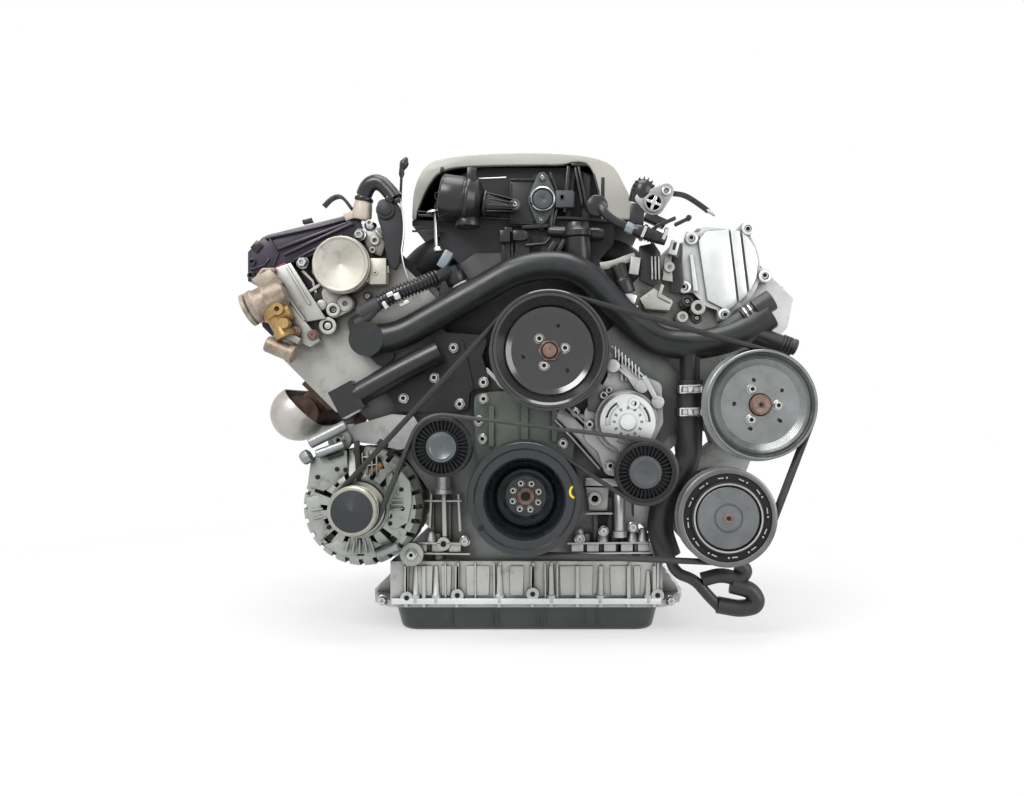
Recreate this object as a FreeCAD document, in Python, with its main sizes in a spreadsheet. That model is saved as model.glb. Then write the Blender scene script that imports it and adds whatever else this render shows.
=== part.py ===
"""V-engine with its belt drive: six cylinders in two banks, accessories on the front, chain case at the rear.

Frame: the crankshaft runs along Y. The origin is the centre of its rear flange, where a flywheel is bolted.
+Y points to the gearbox, so the belt side faces -Y; +X is to the right as seen from the belt side; +Z is up.
Left and right in the names are as seen from the belt side. All sizes are in millimetres and degrees.
"""

import FreeCAD, Part
import math
import os
import Sketcher

V = FreeCAD.Vector
doc = FreeCAD.newDocument("Engine")
sheet = doc.addObject("Spreadsheet::Sheet", "Sizes")


# Sizes with names

class Size:
    """A length or an angle: its number, and the sheet formula that gives it."""

    def __init__(self, value, text=None):
        self.value = float(value)
        self.text = text or repr(float(value))

    def __float__(self):
        return self.value

    def __add__(self, other):
        other = size_of(other)
        return Size(self.value + other.value, f"({self.text} + {other.text})")

    def __radd__(self, other):
        return size_of(other) + self

    def __sub__(self, other):
        other = size_of(other)
        return Size(self.value - other.value, f"({self.text} - {other.text})")

    def __rsub__(self, other):
        return size_of(other) - self

    def __mul__(self, other):
        other = size_of(other)
        return Size(self.value * other.value, f"({self.text} * {other.text})")

    def __rmul__(self, other):
        return size_of(other) * self

    def __truediv__(self, other):
        other = size_of(other)
        return Size(self.value / other.value, f"({self.text} / {other.text})")

    def __neg__(self):
        return Size(-self.value, f"(-{self.text})")


def size_of(number):
    return number if isinstance(number, Size) else Size(number)


def cosine(angle):
    angle = size_of(angle)
    return Size(math.cos(math.radians(angle.value)), f"cos({angle.text})")


def sine(angle):
    angle = size_of(angle)
    return Size(math.sin(math.radians(angle.value)), f"sin({angle.text})")


SIZES = """
bore                84.5    cylinder bore
stroke              92.8    piston stroke
rod_length          153     connecting rod, centre to centre
crown_height        28.6    gudgeon pin to piston crown
bank_angle          45      tilt of each bank from upright
bore_pitch          90      spacing of the bores in one bank
bank_offset         18.5    how far the right bank sits behind the left
first_bore          48      block front to the first left bore
block_length        300     block, front face to rear face
block_rear          -64     rear face of the block
skirt_width         114     half the width of the block at the crankshaft line
valley_width        30      half the width of the valley floor
valley_height       126     height of the valley floor
deck_inner          68      bank centre to the deck's inner edge
deck_outer          72      bank centre to the deck's outer edge
bulkhead            22      thickness of a main bearing wall
chamber_radius      80      clear radius round the crankshaft throws
main_radius         32.5    main journal radius
pin_radius          28      crank pin radius
shell_thickness     2       bearing shell
oil_gap             0.05    running clearance of every journal
web_thickness       14      crank web
weight_radius       70      counterweight radius
split_angle         30      angle between the two pins of one throw
flange_radius       42      rear flange of the crankshaft
flange_thickness    14      rear flange of the crankshaft
flywheel_circle     66      bolt circle of the flywheel
flywheel_hole       5       radius of a flywheel bolt hole
bedplate_height     79      bearing ladder under the block
bedplate_width      150     half the width of the ladder's foot
wall                6       casting wall
pan_height          54      upper oil pan, a casting
pan_width           160     half the width of the upper oil pan
pan_front           -376    front of the upper oil pan
rail_width          192     half the width of the pan's lower rail
rail_height         8       pan's lower rail
tray_height         30      lower oil pan, pressed steel
tray_sheet          2       sheet of the lower oil pan
tray_inset          3       how far the tray stands inside the rail
drain_x             40      drain plug
drain_y             -130    drain plug
case_thickness      54      rear chain case, block face to gearbox face
case_radius         205     gearbox flange of the chain case
head_front          -364    front face of the left head
head_height         118     head, deck to cover joint
head_inner          88      bank centre to the head's inner side
head_outer          92      bank centre to the head's outer side
cam_height          86      deck to camshaft centre
cam_spacing         94      distance between the two camshafts of a head
cam_base            17      base circle radius of a cam
cam_lift            8       cam lift
cam_shaft           12.5    camshaft radius
cam_journal         15      camshaft journal radius
cover_height        46      cam cover
belt_plane          -430    middle of the belt
rib_pitch           3.56    pitch of the belt ribs
rib_count           6       belt ribs
rib_depth           2.4     depth of a rib
rib_gap             0.2     clearance between a rib and its groove
belt_back           2.4     belt thickness over the ribs
lip                 1.4     height of the front lip of a pulley
lip_width           1.8     thickness of a pulley lip
rear_lip            4.0     height of the rear lip of a pulley
crank_track         62      groove crest radius, crankshaft pulley
pump_track          64.5    groove crest radius, water pump pulley
steering_track      60      groove crest radius, steering pump pulley
compressor_track    51.5    groove crest radius, compressor pulley
alternator_track    26.5    groove crest radius, alternator pulley
roller_radius       33.5    smooth rollers
damper_circle       32      bolt circle of the crankshaft pulley
damper_hole         3.1     radius of a crankshaft pulley bolt hole
pump_bolt_circle    36      bolt circle of the water pump pulley
steering_bolt_circle 39.6   bolt circle of the steering pump pulley
fin_count           36      fins of a smooth roller
chamber_start       70      crankshaft to the lower end of a bore
seat_gap            0.3     gap between pieces that only lie near each other
bolt_radius         3       thread radius of the small bolts
head_radius         5.5     head radius of the small bolts
flywheel_start      22.5    angle of the first flywheel hole
gearbox_hole        5.1     threaded hole in the gearbox face
cam_wheel           34      chain wheel of a camshaft
pump_shaft          8       water pump shaft
compressor_shoulder -364    front of the compressor's wide part
cover_ledge         139     half the width of the ledge that carries the engine cover
nose_radius         30      front end of the crankshaft
cover_thickness     12      front cover plate
seal_radius         40      oil seals in their covers
bracket_depth       30      tensioner bracket, block face to tensioner
tensioner_radius    31.5    tensioner housing
alternator_radius   69      alternator housing
stator_length       33      alternator stator pack
compressor_radius   50      compressor housing
compressor_length   136     compressor housing
steering_radius     42      steering pump housing
steering_length     47      steering pump housing
coolant_radius      17      coolant pipe
coolant_plane       -384    middle of the coolant pipe
hose_radius         15      coolant hose
duct_radius         14      heater pipe on the left
manifold_width      105     half the width of the intake plenum
manifold_bottom     262     underside of the intake plenum
manifold_top        330     top of the intake plenum
ledge_height        6       ledge that carries the engine cover
runner_radius       19      intake runner
port_height         290     crankshaft line to the middle of an intake port, along the bank
exhaust_height      262     crankshaft line to the exhaust log, along the bank
exhaust_reach       128     bank centre to the exhaust log
exhaust_radius      22      exhaust log
engine_cover_sheet  4       engine cover shell
vacuum_radius       32      vacuum pump
pump_x              27.3    water pump axis
pump_z              166.6   water pump axis
steering_x          263.2   steering pump axis
steering_z          104.8   steering pump axis
compressor_x        224.6   compressor axis
compressor_z        -20.3   compressor axis
alternator_x        -189.8  alternator axis
alternator_z        -12.8   alternator axis
idler_x             -92.2   fixed roller axis
idler_z             57.8    fixed roller axis
pivot_x             116.4   tensioner pivot
pivot_z             85.4    tensioner pivot
arm_length          58.2    tensioner pivot to roller
arm_angle           -72.7   direction of the tensioner arm, from +X
"""

S = {}
for line_number, line in enumerate(SIZES.strip().splitlines(), start=1):
    alias, number, note = line.split(None, 2)
    sheet.set(f"A{line_number}", number)
    sheet.setAlias(f"A{line_number}", alias)
    sheet.set(f"B{line_number}", note)
    S[alias] = Size(float(number), f"Sizes.{alias}")
doc.recompute()


# Drawing and building helpers

NODES = []
SEALS = []
EXHAUSTS = []


def node(thing, label):
    """Names a finished sub-part."""
    thing.Label = label
    NODES.append(thing)
    return thing


def bind(thing, path, size):
    """Sets a property, and binds it to the sheet when the size comes from it."""
    size = size_of(size)
    owner, names = thing, path.split(".")
    if len(names) == 1:
        setattr(owner, names[0], int(size.value) if names[0] == "Occurrences" else size.value)
    if "Sizes." in size.text:
        thing.setExpression(path, size.text)


def place(thing, x=0, y=0, z=0, axis=None, angle=0):
    """Puts a thing at a point, turned about an axis through that point."""
    x, y, z, angle = (size_of(value) for value in (x, y, z, angle))
    turn = FreeCAD.Rotation(axis or V(0, 0, 1), angle.value)
    thing.Placement = FreeCAD.Placement(V(x.value, y.value, z.value), turn)
    for path, size in (("Base.x", x), ("Base.y", y), ("Base.z", z), ("Rotation.Angle", angle)):
        if "Sizes." in size.text:
            thing.setExpression("Placement." + path, size.text)
    return thing


class Arc:
    """A corner reached by an arc from the corner before it; the centre is on the left if left is true."""

    def __init__(self, x, y, radius, left=True):
        self.x, self.y, self.radius, self.left = x, y, radius, left


class Circle:
    def __init__(self, x, y, radius):
        self.x, self.y, self.radius = x, y, radius


def arc_geometry(start, end, radius, left):
    chord = end - start
    middle = (start + end) * 0.5
    side = V(-chord.y, chord.x, 0).normalize() * (1 if left else -1)
    rise = math.sqrt(max(radius**2 - (chord.Length / 2) ** 2, 0))
    centre = middle + side * rise
    first, last = (start, end) if left else (end, start)
    angles = [math.atan2(p.y - centre.y, p.x - centre.x) for p in (first, last)]
    return Part.ArcOfCircle(Part.Circle(centre, V(0, 0, 1), radius), angles[0], angles[1])


def hold_point(where, geometry, end, x, y, rules, links):
    """Rules that fix one point of a sketch from its origin."""
    for kind, axis, value, letter in (("DistanceX", -2, x, "x"), ("DistanceY", -1, y, "y")):
        if not isinstance(value, Size) and value == 0:
            rules.append(Sketcher.Constraint("PointOnObject", geometry, end, axis))
            continue
        rules.append(Sketcher.Constraint(kind, -1, 1, geometry, end, float(value)))
        links.append((len(rules) - 1, f"{letter}{where}", size_of(value)))


def sketch(body, name, plane, loops, level=0):
    """A sketch on an origin plane of the body, or parallel to it at a level; each corner is held by a named size."""
    drawing = body.newObject("Sketcher::SketchObject", name)
    face = [f for f in body.Origin.OriginFeatures if f.Role == plane + "_Plane"][0]
    drawing.AttachmentSupport = (face, [""])
    drawing.MapMode = "FlatFace"
    level = -size_of(level) if plane == "XZ" else size_of(level)
    drawing.AttachmentOffset = FreeCAD.Placement(V(0, 0, level.value), FreeCAD.Rotation())
    if "Sizes." in level.text:
        drawing.setExpression("AttachmentOffset.Base.z", level.text)
    shapes, rules, links = [], [], []
    for loop in loops:
        if isinstance(loop, Circle):
            centre = V(float(loop.x), float(loop.y), 0)
            shapes.append(Part.Circle(centre, V(0, 0, 1), float(loop.radius)))
            number = len(shapes) - 1
            hold_point(number, number, 3, loop.x, loop.y, rules, links)
            rules.append(Sketcher.Constraint("Radius", number, float(loop.radius)))
            links.append((len(rules) - 1, f"r{number}", size_of(loop.radius)))
            continue
        corners = [(c.x, c.y) if isinstance(c, Arc) else c for c in loop]
        points = [V(float(x), float(y), 0) for x, y in corners]
        first, ends = len(shapes), []
        for i, corner in enumerate(loop):
            target = loop[(i + 1) % len(loop)]
            start, end = points[i], points[(i + 1) % len(loop)]
            if isinstance(target, Arc):
                shapes.append(arc_geometry(start, end, float(target.radius), target.left))
                number = len(shapes) - 1
                rules.append(Sketcher.Constraint("Radius", number, float(target.radius)))
                links.append((len(rules) - 1, f"r{number}", size_of(target.radius)))
                ends.append((1, 2) if target.left else (2, 1))
            else:
                shapes.append(Part.LineSegment(start, end))
                ends.append((1, 2))
        for i, (x, y) in enumerate(corners):
            before = (i - 1) % len(loop)
            rules.append(Sketcher.Constraint("Coincident", first + before, ends[before][1], first + i, ends[i][0]))
            hold_point(first + i, first + i, ends[i][0], x, y, rules, links)
    drawing.addGeometry(shapes, False)
    numbers = drawing.addConstraint(rules)
    for index, title, size in links:
        if "Sizes." in size.text:
            drawing.renameConstraint(numbers[index], title)
            drawing.setExpression("Constraints." + title, size.text)
    return drawing


def new_body(name):
    return doc.addObject("PartDesign::Body", name)


def feature(body, kind, name, **settings):
    made = body.newObject("PartDesign::" + kind, name)
    for key, value in settings.items():
        if isinstance(value, Size):
            bind(made, key, value)
        else:
            setattr(made, key, value)
    return made


def revolve(body, profile, name="Turned"):
    """Turns a profile drawn on the XY plane about the Y axis."""
    return feature(body, "Revolution", name, Profile=profile, ReferenceAxis=(profile, ["V_Axis"]), Angle=360.0)


def pad(body, profile, length, name="Pad", back=True):
    """Pads a profile; on the XZ plane back means towards +Y, on the others it means the negative side."""
    return feature(body, "Pad", name, Profile=profile, Length=size_of(length), Reversed=back)


def pocket(body, profile, depth=None, name="Pocket", front=False):
    """Cuts a profile into the body; on the XZ plane towards +Y, or all the way through without a depth."""
    if depth is None:
        return feature(body, "Pocket", name, Profile=profile, Type="ThroughAll", Midplane=True)
    return feature(body, "Pocket", name, Profile=profile, Length=size_of(depth), Reversed=front)


def ring_of(body, original, count, name="Ring"):
    """Repeats a feature about the body's Y axis."""
    axis = [f for f in body.Origin.OriginFeatures if f.Role == "Y_Axis"][0]
    made = feature(body, "PolarPattern", name, Originals=[original], Axis=(axis, [""]), Angle=360.0)
    bind(made, "Occurrences", size_of(count))
    body.Tip = made
    return made


def soften(body, radius, wanted, kind="Fillet", name="Softened"):
    """Rounds or bevels the edges of the body that the test picks."""
    doc.recompute()
    tip = body.Tip
    names = [f"Edge{i + 1}" for i, edge in enumerate(tip.Shape.Edges) if wanted(edge)]
    made = body.newObject("PartDesign::" + kind, name)
    made.Base = (tip, names)
    bind(made, "Radius" if kind == "Fillet" else "Size", size_of(radius))
    return made


Y_WAY, Z_WAY = V(0, 1, 0), V(0, 0, 1)
TURNS = {"Z": (V(0, 0, 1), 0), "Y": (V(1, 0, 0), -90), "X": (V(0, 1, 0), 90)}


def cylinder(name, radius, length, x=0, y=0, z=0, along="Y"):
    made = doc.addObject("Part::Cylinder", name)
    bind(made, "Radius", radius)
    bind(made, "Height", length)
    axis, angle = TURNS[along]
    return place(made, x, y, z, axis, angle)


def block_of(name, width, depth, height, x=0, y=0, z=0, centred=True):
    """A box; x is its middle when centred, and y and z are its low corner."""
    made = doc.addObject("Part::Box", name)
    bind(made, "Length", width)
    bind(made, "Width", depth)
    bind(made, "Height", height)
    return place(made, x - width / 2 if centred else x, y, z)


def fuse(name, things, refine=True):
    made = doc.addObject("Part::MultiFuse", name)
    made.Shapes = things
    made.Refine = refine
    return made


def together(name, things):
    """Separate pieces of one kind that share a node."""
    made = doc.addObject("Part::Compound", name)
    made.Links = things
    return made


def cut(name, base, tools):
    made = doc.addObject("Part::Cut", name)
    made.Base = base
    made.Tool = tools[0] if len(tools) == 1 else fuse(name + "Tools", tools)
    return made


def shaped(name, shape, x=0, y=0, z=0, axis=None, angle=0):
    """A piece whose shape is worked out here, from the named sizes."""
    made = doc.addObject("Part::Feature", name)
    made.Shape = shape
    return place(made, x, y, z, axis, angle)


# Belt drive

half_belt = S["rib_pitch"] * S["rib_count"] / 2


def grooved_track(crest):
    """Corners of the grooves of a pulley, front to back, as radius and distance along the axis."""
    corners = []
    for rib in range(int(S["rib_count"].value)):
        start = S["rib_pitch"] * rib - half_belt
        corners += [
            (crest, start + 0.3),
            (crest - S["rib_depth"], start + S["rib_pitch"] * 0.4),
            (crest - S["rib_depth"], start + S["rib_pitch"] * 0.6),
            (crest, start + S["rib_pitch"] - 0.3),
        ]
    return corners


def pulley_rim(crest, front, back):
    """The outer half of a pulley profile: front lip, grooves and rear lip, from its front edge to its rear edge."""
    side = half_belt + 0.5
    return [
        (crest + S["lip"] - 0.8, front),
        (crest + S["lip"], front + 0.8),
        (crest + S["lip"], -side),
        *grooved_track(crest),
        (crest + S["rear_lip"], side),
        (crest + S["rear_lip"], side + S["lip_width"]),
        (crest - 2, back),
    ]


def pulley(name, crest, front, back, inside):
    """A grooved pulley: its rim, then the corners of its inside from the rear to the front."""
    body = new_body(name)
    profile = sketch(body, name + "Profile", "XY", [pulley_rim(crest, front, back) + inside])
    revolve(body, profile)
    return body


def drill(body, name, radius, distance, angle, count):
    """A ring of holes through the body, about its axis."""
    centre = Circle(distance * cosine(angle), distance * sine(angle), radius)
    hole = pocket(body, sketch(body, name + "Sketch", "XZ", [centre], Size(-60)), Size(120), name)
    return ring_of(body, hole, count, name + "Ring")


def make_crank_pulley():
    track = S["crank_track"]
    rim = track - 7
    inside = [
        (Size(33), Size(22)), (Size(33), Size(34)), (Size(8), Size(34)), (Size(8), Size(26)),
        (Size(23), Size(26)), (Size(26), Size(14)), (Size(29), Size(11)), (Size(32), Size(12)),
        (Size(35), Size(20)), (Size(40), Size(14)), (track - 18, Size(-10)), (track - 16, Size(-14)),
        (rim, Size(-14)), (rim + 0.6, Size(-15.2)), (rim + 1.6, Size(-17)),
    ]
    body = pulley("CrankPulley", track, Size(-17), Size(22), inside)
    drill(body, "CrankBoltHole", S["damper_hole"], S["damper_circle"] / 2, 20, 8)
    place(body, 0, S["belt_plane"], 0)
    return node(body, "crank_pulley")


def make_pump_pulley():
    track = S["pump_track"]
    inside = [
        (track - 6, Size(19)), (Size(48), Size(27)), (Size(9), Size(27)), (Size(9), Size(23)),
        (Size(44), Size(23)), (Size(50), Size(20)), (track - 9, Size(2)), (track - 5, Size(-11)),
        (track - 2.2, Size(-13.4)), (track - 1.4, Size(-15)),
    ]
    body = pulley("PumpPulley", track, Size(-15), Size(16), inside)
    drill(body, "PumpBoltHole", Size(3.4), S["pump_bolt_circle"] / 2, 10, 3)
    drill(body, "PumpSpannerHole", Size(1.9), Size(31.5), 71, 3)
    place(body, S["pump_x"], S["belt_plane"], S["pump_z"])
    return node(body, "water_pump_pulley")


def make_steering_pulley():
    track = S["steering_track"]
    inside = [
        (track - 8, Size(14)), (Size(30), Size(14)), (Size(12), Size(14)), (Size(12), Size(6)),
        (Size(13), Size(-2)), (Size(44), Size(-2)), (Size(51), Size(-8)), (track - 6.5, Size(-11)),
        (track - 4.5, Size(-8.5)), (track - 2.5, Size(-11)), (track - 1.4, Size(-14)),
    ]
    body = pulley("SteeringPulley", track, Size(-14), Size(18), inside)
    drill(body, "SteeringBoltHole", Size(3.4), S["steering_bolt_circle"] / 2, -2, 3)
    drill(body, "SteeringSmallHole", Size(2), Size(29), 33, 5)
    place(body, S["steering_x"], S["belt_plane"], S["steering_z"])
    return node(body, "steering_pulley")


def make_compressor_pulley():
    """The outer ring drives the hub plate through a rubber ring, so all three turn as one."""
    track = S["compressor_track"]
    ring = track - 4
    inside = [
        (ring, Size(16)), (Size(28), Size(16)), (Size(28), Size(-2)), (ring - 1, Size(-2)),
        (ring - 0.5, Size(-11)), (ring + 2, Size(-15)),
    ]
    body = pulley("CompressorPulley", track, Size(-15), Size(18), inside)
    place(body, S["compressor_x"], S["belt_plane"], S["compressor_z"])
    return node(body, "compressor_pulley")


def make_compressor_hub():
    """Hub plate of the compressor: rubber ring with its dogs, drive ring, plate and centre boss."""
    body = new_body("CompressorHub")
    outer = S["compressor_track"] - 5 - 0.3
    profile = sketch(body, "HubProfile", "XY", [[
        (Size(4.5), Size(-16)), (Size(8), Size(-16)), (Size(8), Size(-19.5)), (Size(14.5), Size(-19.5)),
        (Size(15.5), Size(-17.5)), (Size(34.5), Size(-17.5)), (Size(35.5), Size(-15)), (Size(37), Size(-15)),
        (Size(37.5), Size(-18)), (Size(40), Size(-18)), (Size(40.5), Size(-9)), (outer, Size(-9)),
        (outer, Size(-2.3)), (Size(27.7), Size(-2.3)), (Size(27.7), Size(5)), (Size(4.5), Size(5)),
    ]])
    revolve(body, profile)
    dog = Circle(Size(43.4) * cosine(90), Size(43.4) * sine(90), Size(1.6))
    dogs = pad(body, sketch(body, "DogSketch", "XZ", [dog], Size(-8)), Size(4), "Dog", back=False)
    ring_of(body, dogs, 10, "Dogs")
    place(body, S["compressor_x"], S["belt_plane"], S["compressor_z"])
    return node(body, "compressor_hub")


def make_alternator_pulley():
    """Over-running pulley; its front ring and its dust cap stand proud of the belt."""
    track = S["alternator_track"]
    body = pulley("AlternatorPulley", track, Size(-13), Size(14), [
        (Size(14), Size(14)), (Size(14), Size(20)), (Size(8.7), Size(20)), (Size(8.7), Size(-18)),
        (Size(22.5), Size(-18)), (Size(23.5), Size(-22)), (track - 0.5, Size(-22)), (track + 1.2, Size(-20)),
        (track + 1.2, Size(-14)),
    ])
    place(body, S["alternator_x"], S["belt_plane"], S["alternator_z"])
    return node(body, "alternator_pulley")


def make_roller(name, label, x, z):
    """Smooth roller: outer band, thin radial fins, inner band and a pressed dust cap over the bearing."""
    body = new_body(name)
    radius = S["roller_radius"]
    half = half_belt + 1.6
    profile = sketch(body, name + "Profile", "XY", [[
        (Size(5.1), -half + 1), (Size(11), -half + 1), (Size(13), -half - 1), (Size(17), -half - 1),
        (Size(19), -half + 1.5), (Size(19.6), Size(-2)), (radius - 4.5, Size(-2)), (radius - 4, -half),
        (radius - 0.8, -half), (radius, 0.8 - half), (radius, half - 0.8), (radius - 0.8, half),
        (radius - 4, half), (radius - 4.5, Size(2)), (Size(19.6), Size(2)), (Size(19.6), half - 1),
        (Size(5.1), half - 1),
    ]])
    revolve(body, profile)
    fin = [(Size(19), Size(-0.55)), (radius - 4, Size(-0.55)), (radius - 4, Size(0.55)), (Size(19), Size(0.55))]
    fins = pad(body, sketch(body, name + "FinSketch", "XZ", [fin], -half + 1.2), half - 2.4, name + "Fin")
    ring_of(body, fins, S["fin_count"], name + "Fins")
    place(body, x, S["belt_plane"], z)
    return node(body, label)


def belt_section():
    """Corners of the belt across its width: flat back outside, ribs inside, as radius over the crest and y."""
    gap = S["rib_gap"].value
    pitch, depth = S["rib_pitch"].value, S["rib_depth"].value
    half, back = half_belt.value, S["belt_back"].value
    corners = [(back, -half + 0.3), (gap, -half + 0.3)]
    for rib in range(int(S["rib_count"].value)):
        start = pitch * rib - half
        corners += [
            (gap, start + 0.3 + gap),
            (gap - depth + 0.3, start + pitch * 0.4 + gap),
            (gap - depth + 0.3, start + pitch * 0.6 - gap),
            (gap, start + pitch - 0.3 - gap),
        ]
    corners += [(gap, half - 0.3), (back, half - 0.3)]
    return corners


ROUTE_SLACK = 0.12


def belt_route():
    """The circles that the belt runs round, in order, as centre, crest line radius and side; side is 1 where
    the ribs touch and -1 where the flat back does."""
    back = S["roller_radius"].value + S["belt_back"].value + ROUTE_SLACK
    tension_x = S["pivot_x"] + S["arm_length"] * cosine(S["arm_angle"])
    tension_z = S["pivot_z"] + S["arm_length"] * sine(S["arm_angle"])
    stops = [
        (0, 0, S["crank_track"], 1),
        (S["compressor_x"], S["compressor_z"], S["compressor_track"], 1),
        (S["steering_x"], S["steering_z"], S["steering_track"], 1),
        (S["pump_x"], S["pump_z"], S["pump_track"], 1),
        (S["alternator_x"], S["alternator_z"], S["alternator_track"], 1),
        (S["idler_x"], S["idler_z"], back, -1),
        (tension_x, tension_z, back, -1),
    ]
    return [(V(float(x), 0, float(z)), float(r), side) for x, z, r, side in stops]


def tangent(first, second):
    """Where a straight run leaves one circle of the route and meets the next."""
    (a, ra, sa), (b, rb, sb) = first, second
    gap = b - a
    along = gap.normalize() if gap.Length else gap
    distance = (b - a).Length
    across = V(along.z, 0, -along.x)
    turn = (sa * ra - sb * rb) / distance
    normal = along * turn + across * math.sqrt(1 - turn * turn)
    return a + normal * (ra * sa), b + normal * (rb * sb)


def make_belt():
    """Ribbed belt: its section is swept round the route, straight runs and arcs in turn."""
    stops = belt_route()
    runs = [tangent(stops[i], stops[(i + 1) % len(stops)]) for i in range(len(stops))]
    edges = []
    for i, (leave, meet) in enumerate(runs):
        edges.append(Part.LineSegment(leave, meet).toShape())
        centre, radius, side = stops[(i + 1) % len(stops)]
        following = runs[(i + 1) % len(runs)][0]
        chord = (meet - centre) + (following - centre)
        middle = centre + chord.normalize() * radius
        turned = (meet - centre).cross(following - centre).y * side
        if turned > 0:
            middle = centre - (middle - centre)
        edges.append(Part.Arc(meet, middle, following).toShape())
    path = Part.Wire(edges)
    start, end = runs[0]
    inward = V((end - start).z, 0, -(end - start).x).normalize()
    if inward.dot(stops[0][0] - start) > 0:
        inward = inward * -1
    middle = (start + end) * 0.5
    corners = [middle + inward * out + V(0, y, 0) for out, y in belt_section()]
    section = Part.Wire(Part.makePolygon(corners + corners[:1]))
    path = Part.Wire([Part.LineSegment(middle, end).toShape()] + edges[1:] + [Part.LineSegment(start, middle).toShape()])
    swept = path.makePipeShell([section], True, False)
    return node(shaped("Belt", swept, 0, S["belt_plane"], 0), "serpentine_belt")


# Places worked out from the sizes

deck_height = S["stroke"] / 2 + S["rod_length"] + S["crown_height"]
block_front = S["block_rear"] - S["block_length"]
bore_ys = [block_front + S["first_bore"] + S["bore_pitch"] * i for i in range(3)]
main_ys = [bore_ys[0] + S["bank_offset"] / 2 + S["bore_pitch"] * (i - 0.5) for i in range(4)]
SIDES = {"left": -1, "right": 1}
head_top = deck_height + S["head_height"]
cam_line = deck_height + S["cam_height"]


def bank_y(side):
    """How far the pieces of a bank sit behind those of the left bank."""
    return S["bank_offset"] * (1 if side > 0 else 0)


def bank_point(along, across, side):
    """A point of the front view: so far out along a bank, and so far across it, away from the valley."""
    along, across = size_of(along), size_of(across)
    x = (along * sine(S["bank_angle"]) + across * cosine(S["bank_angle"])) * side
    return x, along * cosine(S["bank_angle"]) - across * sine(S["bank_angle"])


def mirrored(points):
    """The right half of an outline, from its bottom to its top, and its mirror image."""
    return points + [(-x, z) for x, z in reversed(points)]


def rounded(points, radius):
    """An outline with its corners rounded, as far as the sides beside each corner allow."""
    loop = []
    corners = [V(float(x), float(z), 0) for x, z in points]
    for i, corner in enumerate(corners):
        before, after = corners[i - 1] - corner, corners[(i + 1) % len(corners)] - corner
        half = before.getAngle(after) / 2
        trim = min(float(radius) / math.tan(half), before.Length * 0.45, after.Length * 0.45)
        start = corner + before.normalize() * trim
        end = corner + after.normalize() * trim
        left = (-before).cross(after).z > 0
        loop += [(start.x, start.y), Arc(end.x, end.y, trim * math.tan(half), left)]
    return loop


def plate(name, front, thickness, outline, holes=(), radius=None):
    """A flat piece with an outline in the front view; it reaches back from its front face. Spots are its holes."""
    body = new_body(name)
    radius = S["bolt_radius"] + 0.4 if radius is None else radius
    loops = [outline] + [Circle(x, z, radius) for x, z in holes]
    pad(body, sketch(body, name + "Outline", "XZ", loops, front), thickness, name + "Plate")
    return body


def blind_holes(body, name, front, spots, depth, radius=None):
    """Threaded holes from the front."""
    radius = S["bolt_radius"] + 0.03 if radius is None else radius
    loops = [Circle(x, z, radius) for x, z in spots]
    return pocket(body, sketch(body, name + "Spots", "XZ", loops, front), depth, name)


def on_bank(thing, side, y=0):
    """Tilts a piece, drawn upright, onto its bank."""
    return place(thing, 0, y, 0, Y_WAY, S["bank_angle"] * side)


def bolt_shape(radius, length, head_radius, head_height, sides=0):
    """A bolt along +Y with its seat at the origin; sides makes the head a polygon."""
    radius, length, head_radius, head_height = (float(v) for v in (radius, length, head_radius, head_height))
    shank = Part.makeCylinder(radius, length, V(0, 0, 0), Y_WAY)
    if sides:
        turns = [math.radians(360 * i / sides) for i in range(sides + 1)]
        rim = Part.makePolygon([V(head_radius * math.cos(t), -head_height, head_radius * math.sin(t)) for t in turns])
        head = Part.Face(rim).extrude(V(0, head_height, 0))
    else:
        head = Part.makeCylinder(head_radius, head_height, V(0, -head_height, 0), Y_WAY)
    return shank.fuse(head).removeSplitter()


def bolts(name, label, spots, seat, length, radius=None, head=None, height=5, sides=6):
    """A group of bolts that go in from the front, with their seats at one level."""
    radius = S["bolt_radius"] if radius is None else radius
    head = S["head_radius"] if head is None else head
    one = bolt_shape(radius, length, head, height, sides)
    copies = [one.translated(V(float(x), 0, float(z))) for x, z in spots]
    return node(shaped(name, Part.makeCompound(copies), 0, seat, 0), label)


def make_front_bolts():
    """The bolts of the covers, the bracket and the alternator's ears, alike but for their size."""
    small, head = S["bolt_radius"], S["head_radius"]
    groups = [
        (FRONT_SPOTS, block_front - S["cover_thickness"], 26, small, head, 5),
        (LEFT_COVER_SPOTS, block_front - 14, 19, small, head, 5),
        (BRACKET_SPOTS, block_front - S["bracket_depth"] + 10, 36, small, head, 5),
        (CAM_PLATE_SPOTS, S["head_front"] + S["bank_offset"] - 18, 16, small, head, 5),
        (ALTERNATOR_EARS, S["belt_plane"] + 40.5, 24, 4, 7, 6),
    ]
    copies = []
    for spots, seat, length, radius, head_radius, height in groups:
        one = bolt_shape(radius, length, head_radius, height, 6)
        copies += [one.translated(V(x, float(seat), z)) for x, z in spots]
    return node(shaped("FrontBolts", Part.makeCompound(copies)), "cover_bolts")


def rounded_path(points, share=0.45):
    """Straight runs joined by tangent arcs; each arc takes a share of the shorter run beside it."""
    corners = [V(*(float(v) for v in p)) for p in points]
    edges, start = [], corners[0]
    for before, corner, after in zip(corners, corners[1:], corners[2:]):
        back, ahead = before - corner, after - corner
        trim = share * min(back.Length, ahead.Length)
        back.normalize()
        ahead.normalize()
        half = back.getAngle(ahead) / 2
        reach = trim / math.cos(half)
        bisector = (back + ahead).normalize()
        middle = corner + bisector * (reach - trim * math.tan(half))
        first, last = corner + back * trim, corner + ahead * trim
        edges += [Part.LineSegment(start, first).toShape(), Part.Arc(first, middle, last).toShape()]
        start = last
    return edges + [Part.LineSegment(start, corners[-1]).toShape()]


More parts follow.
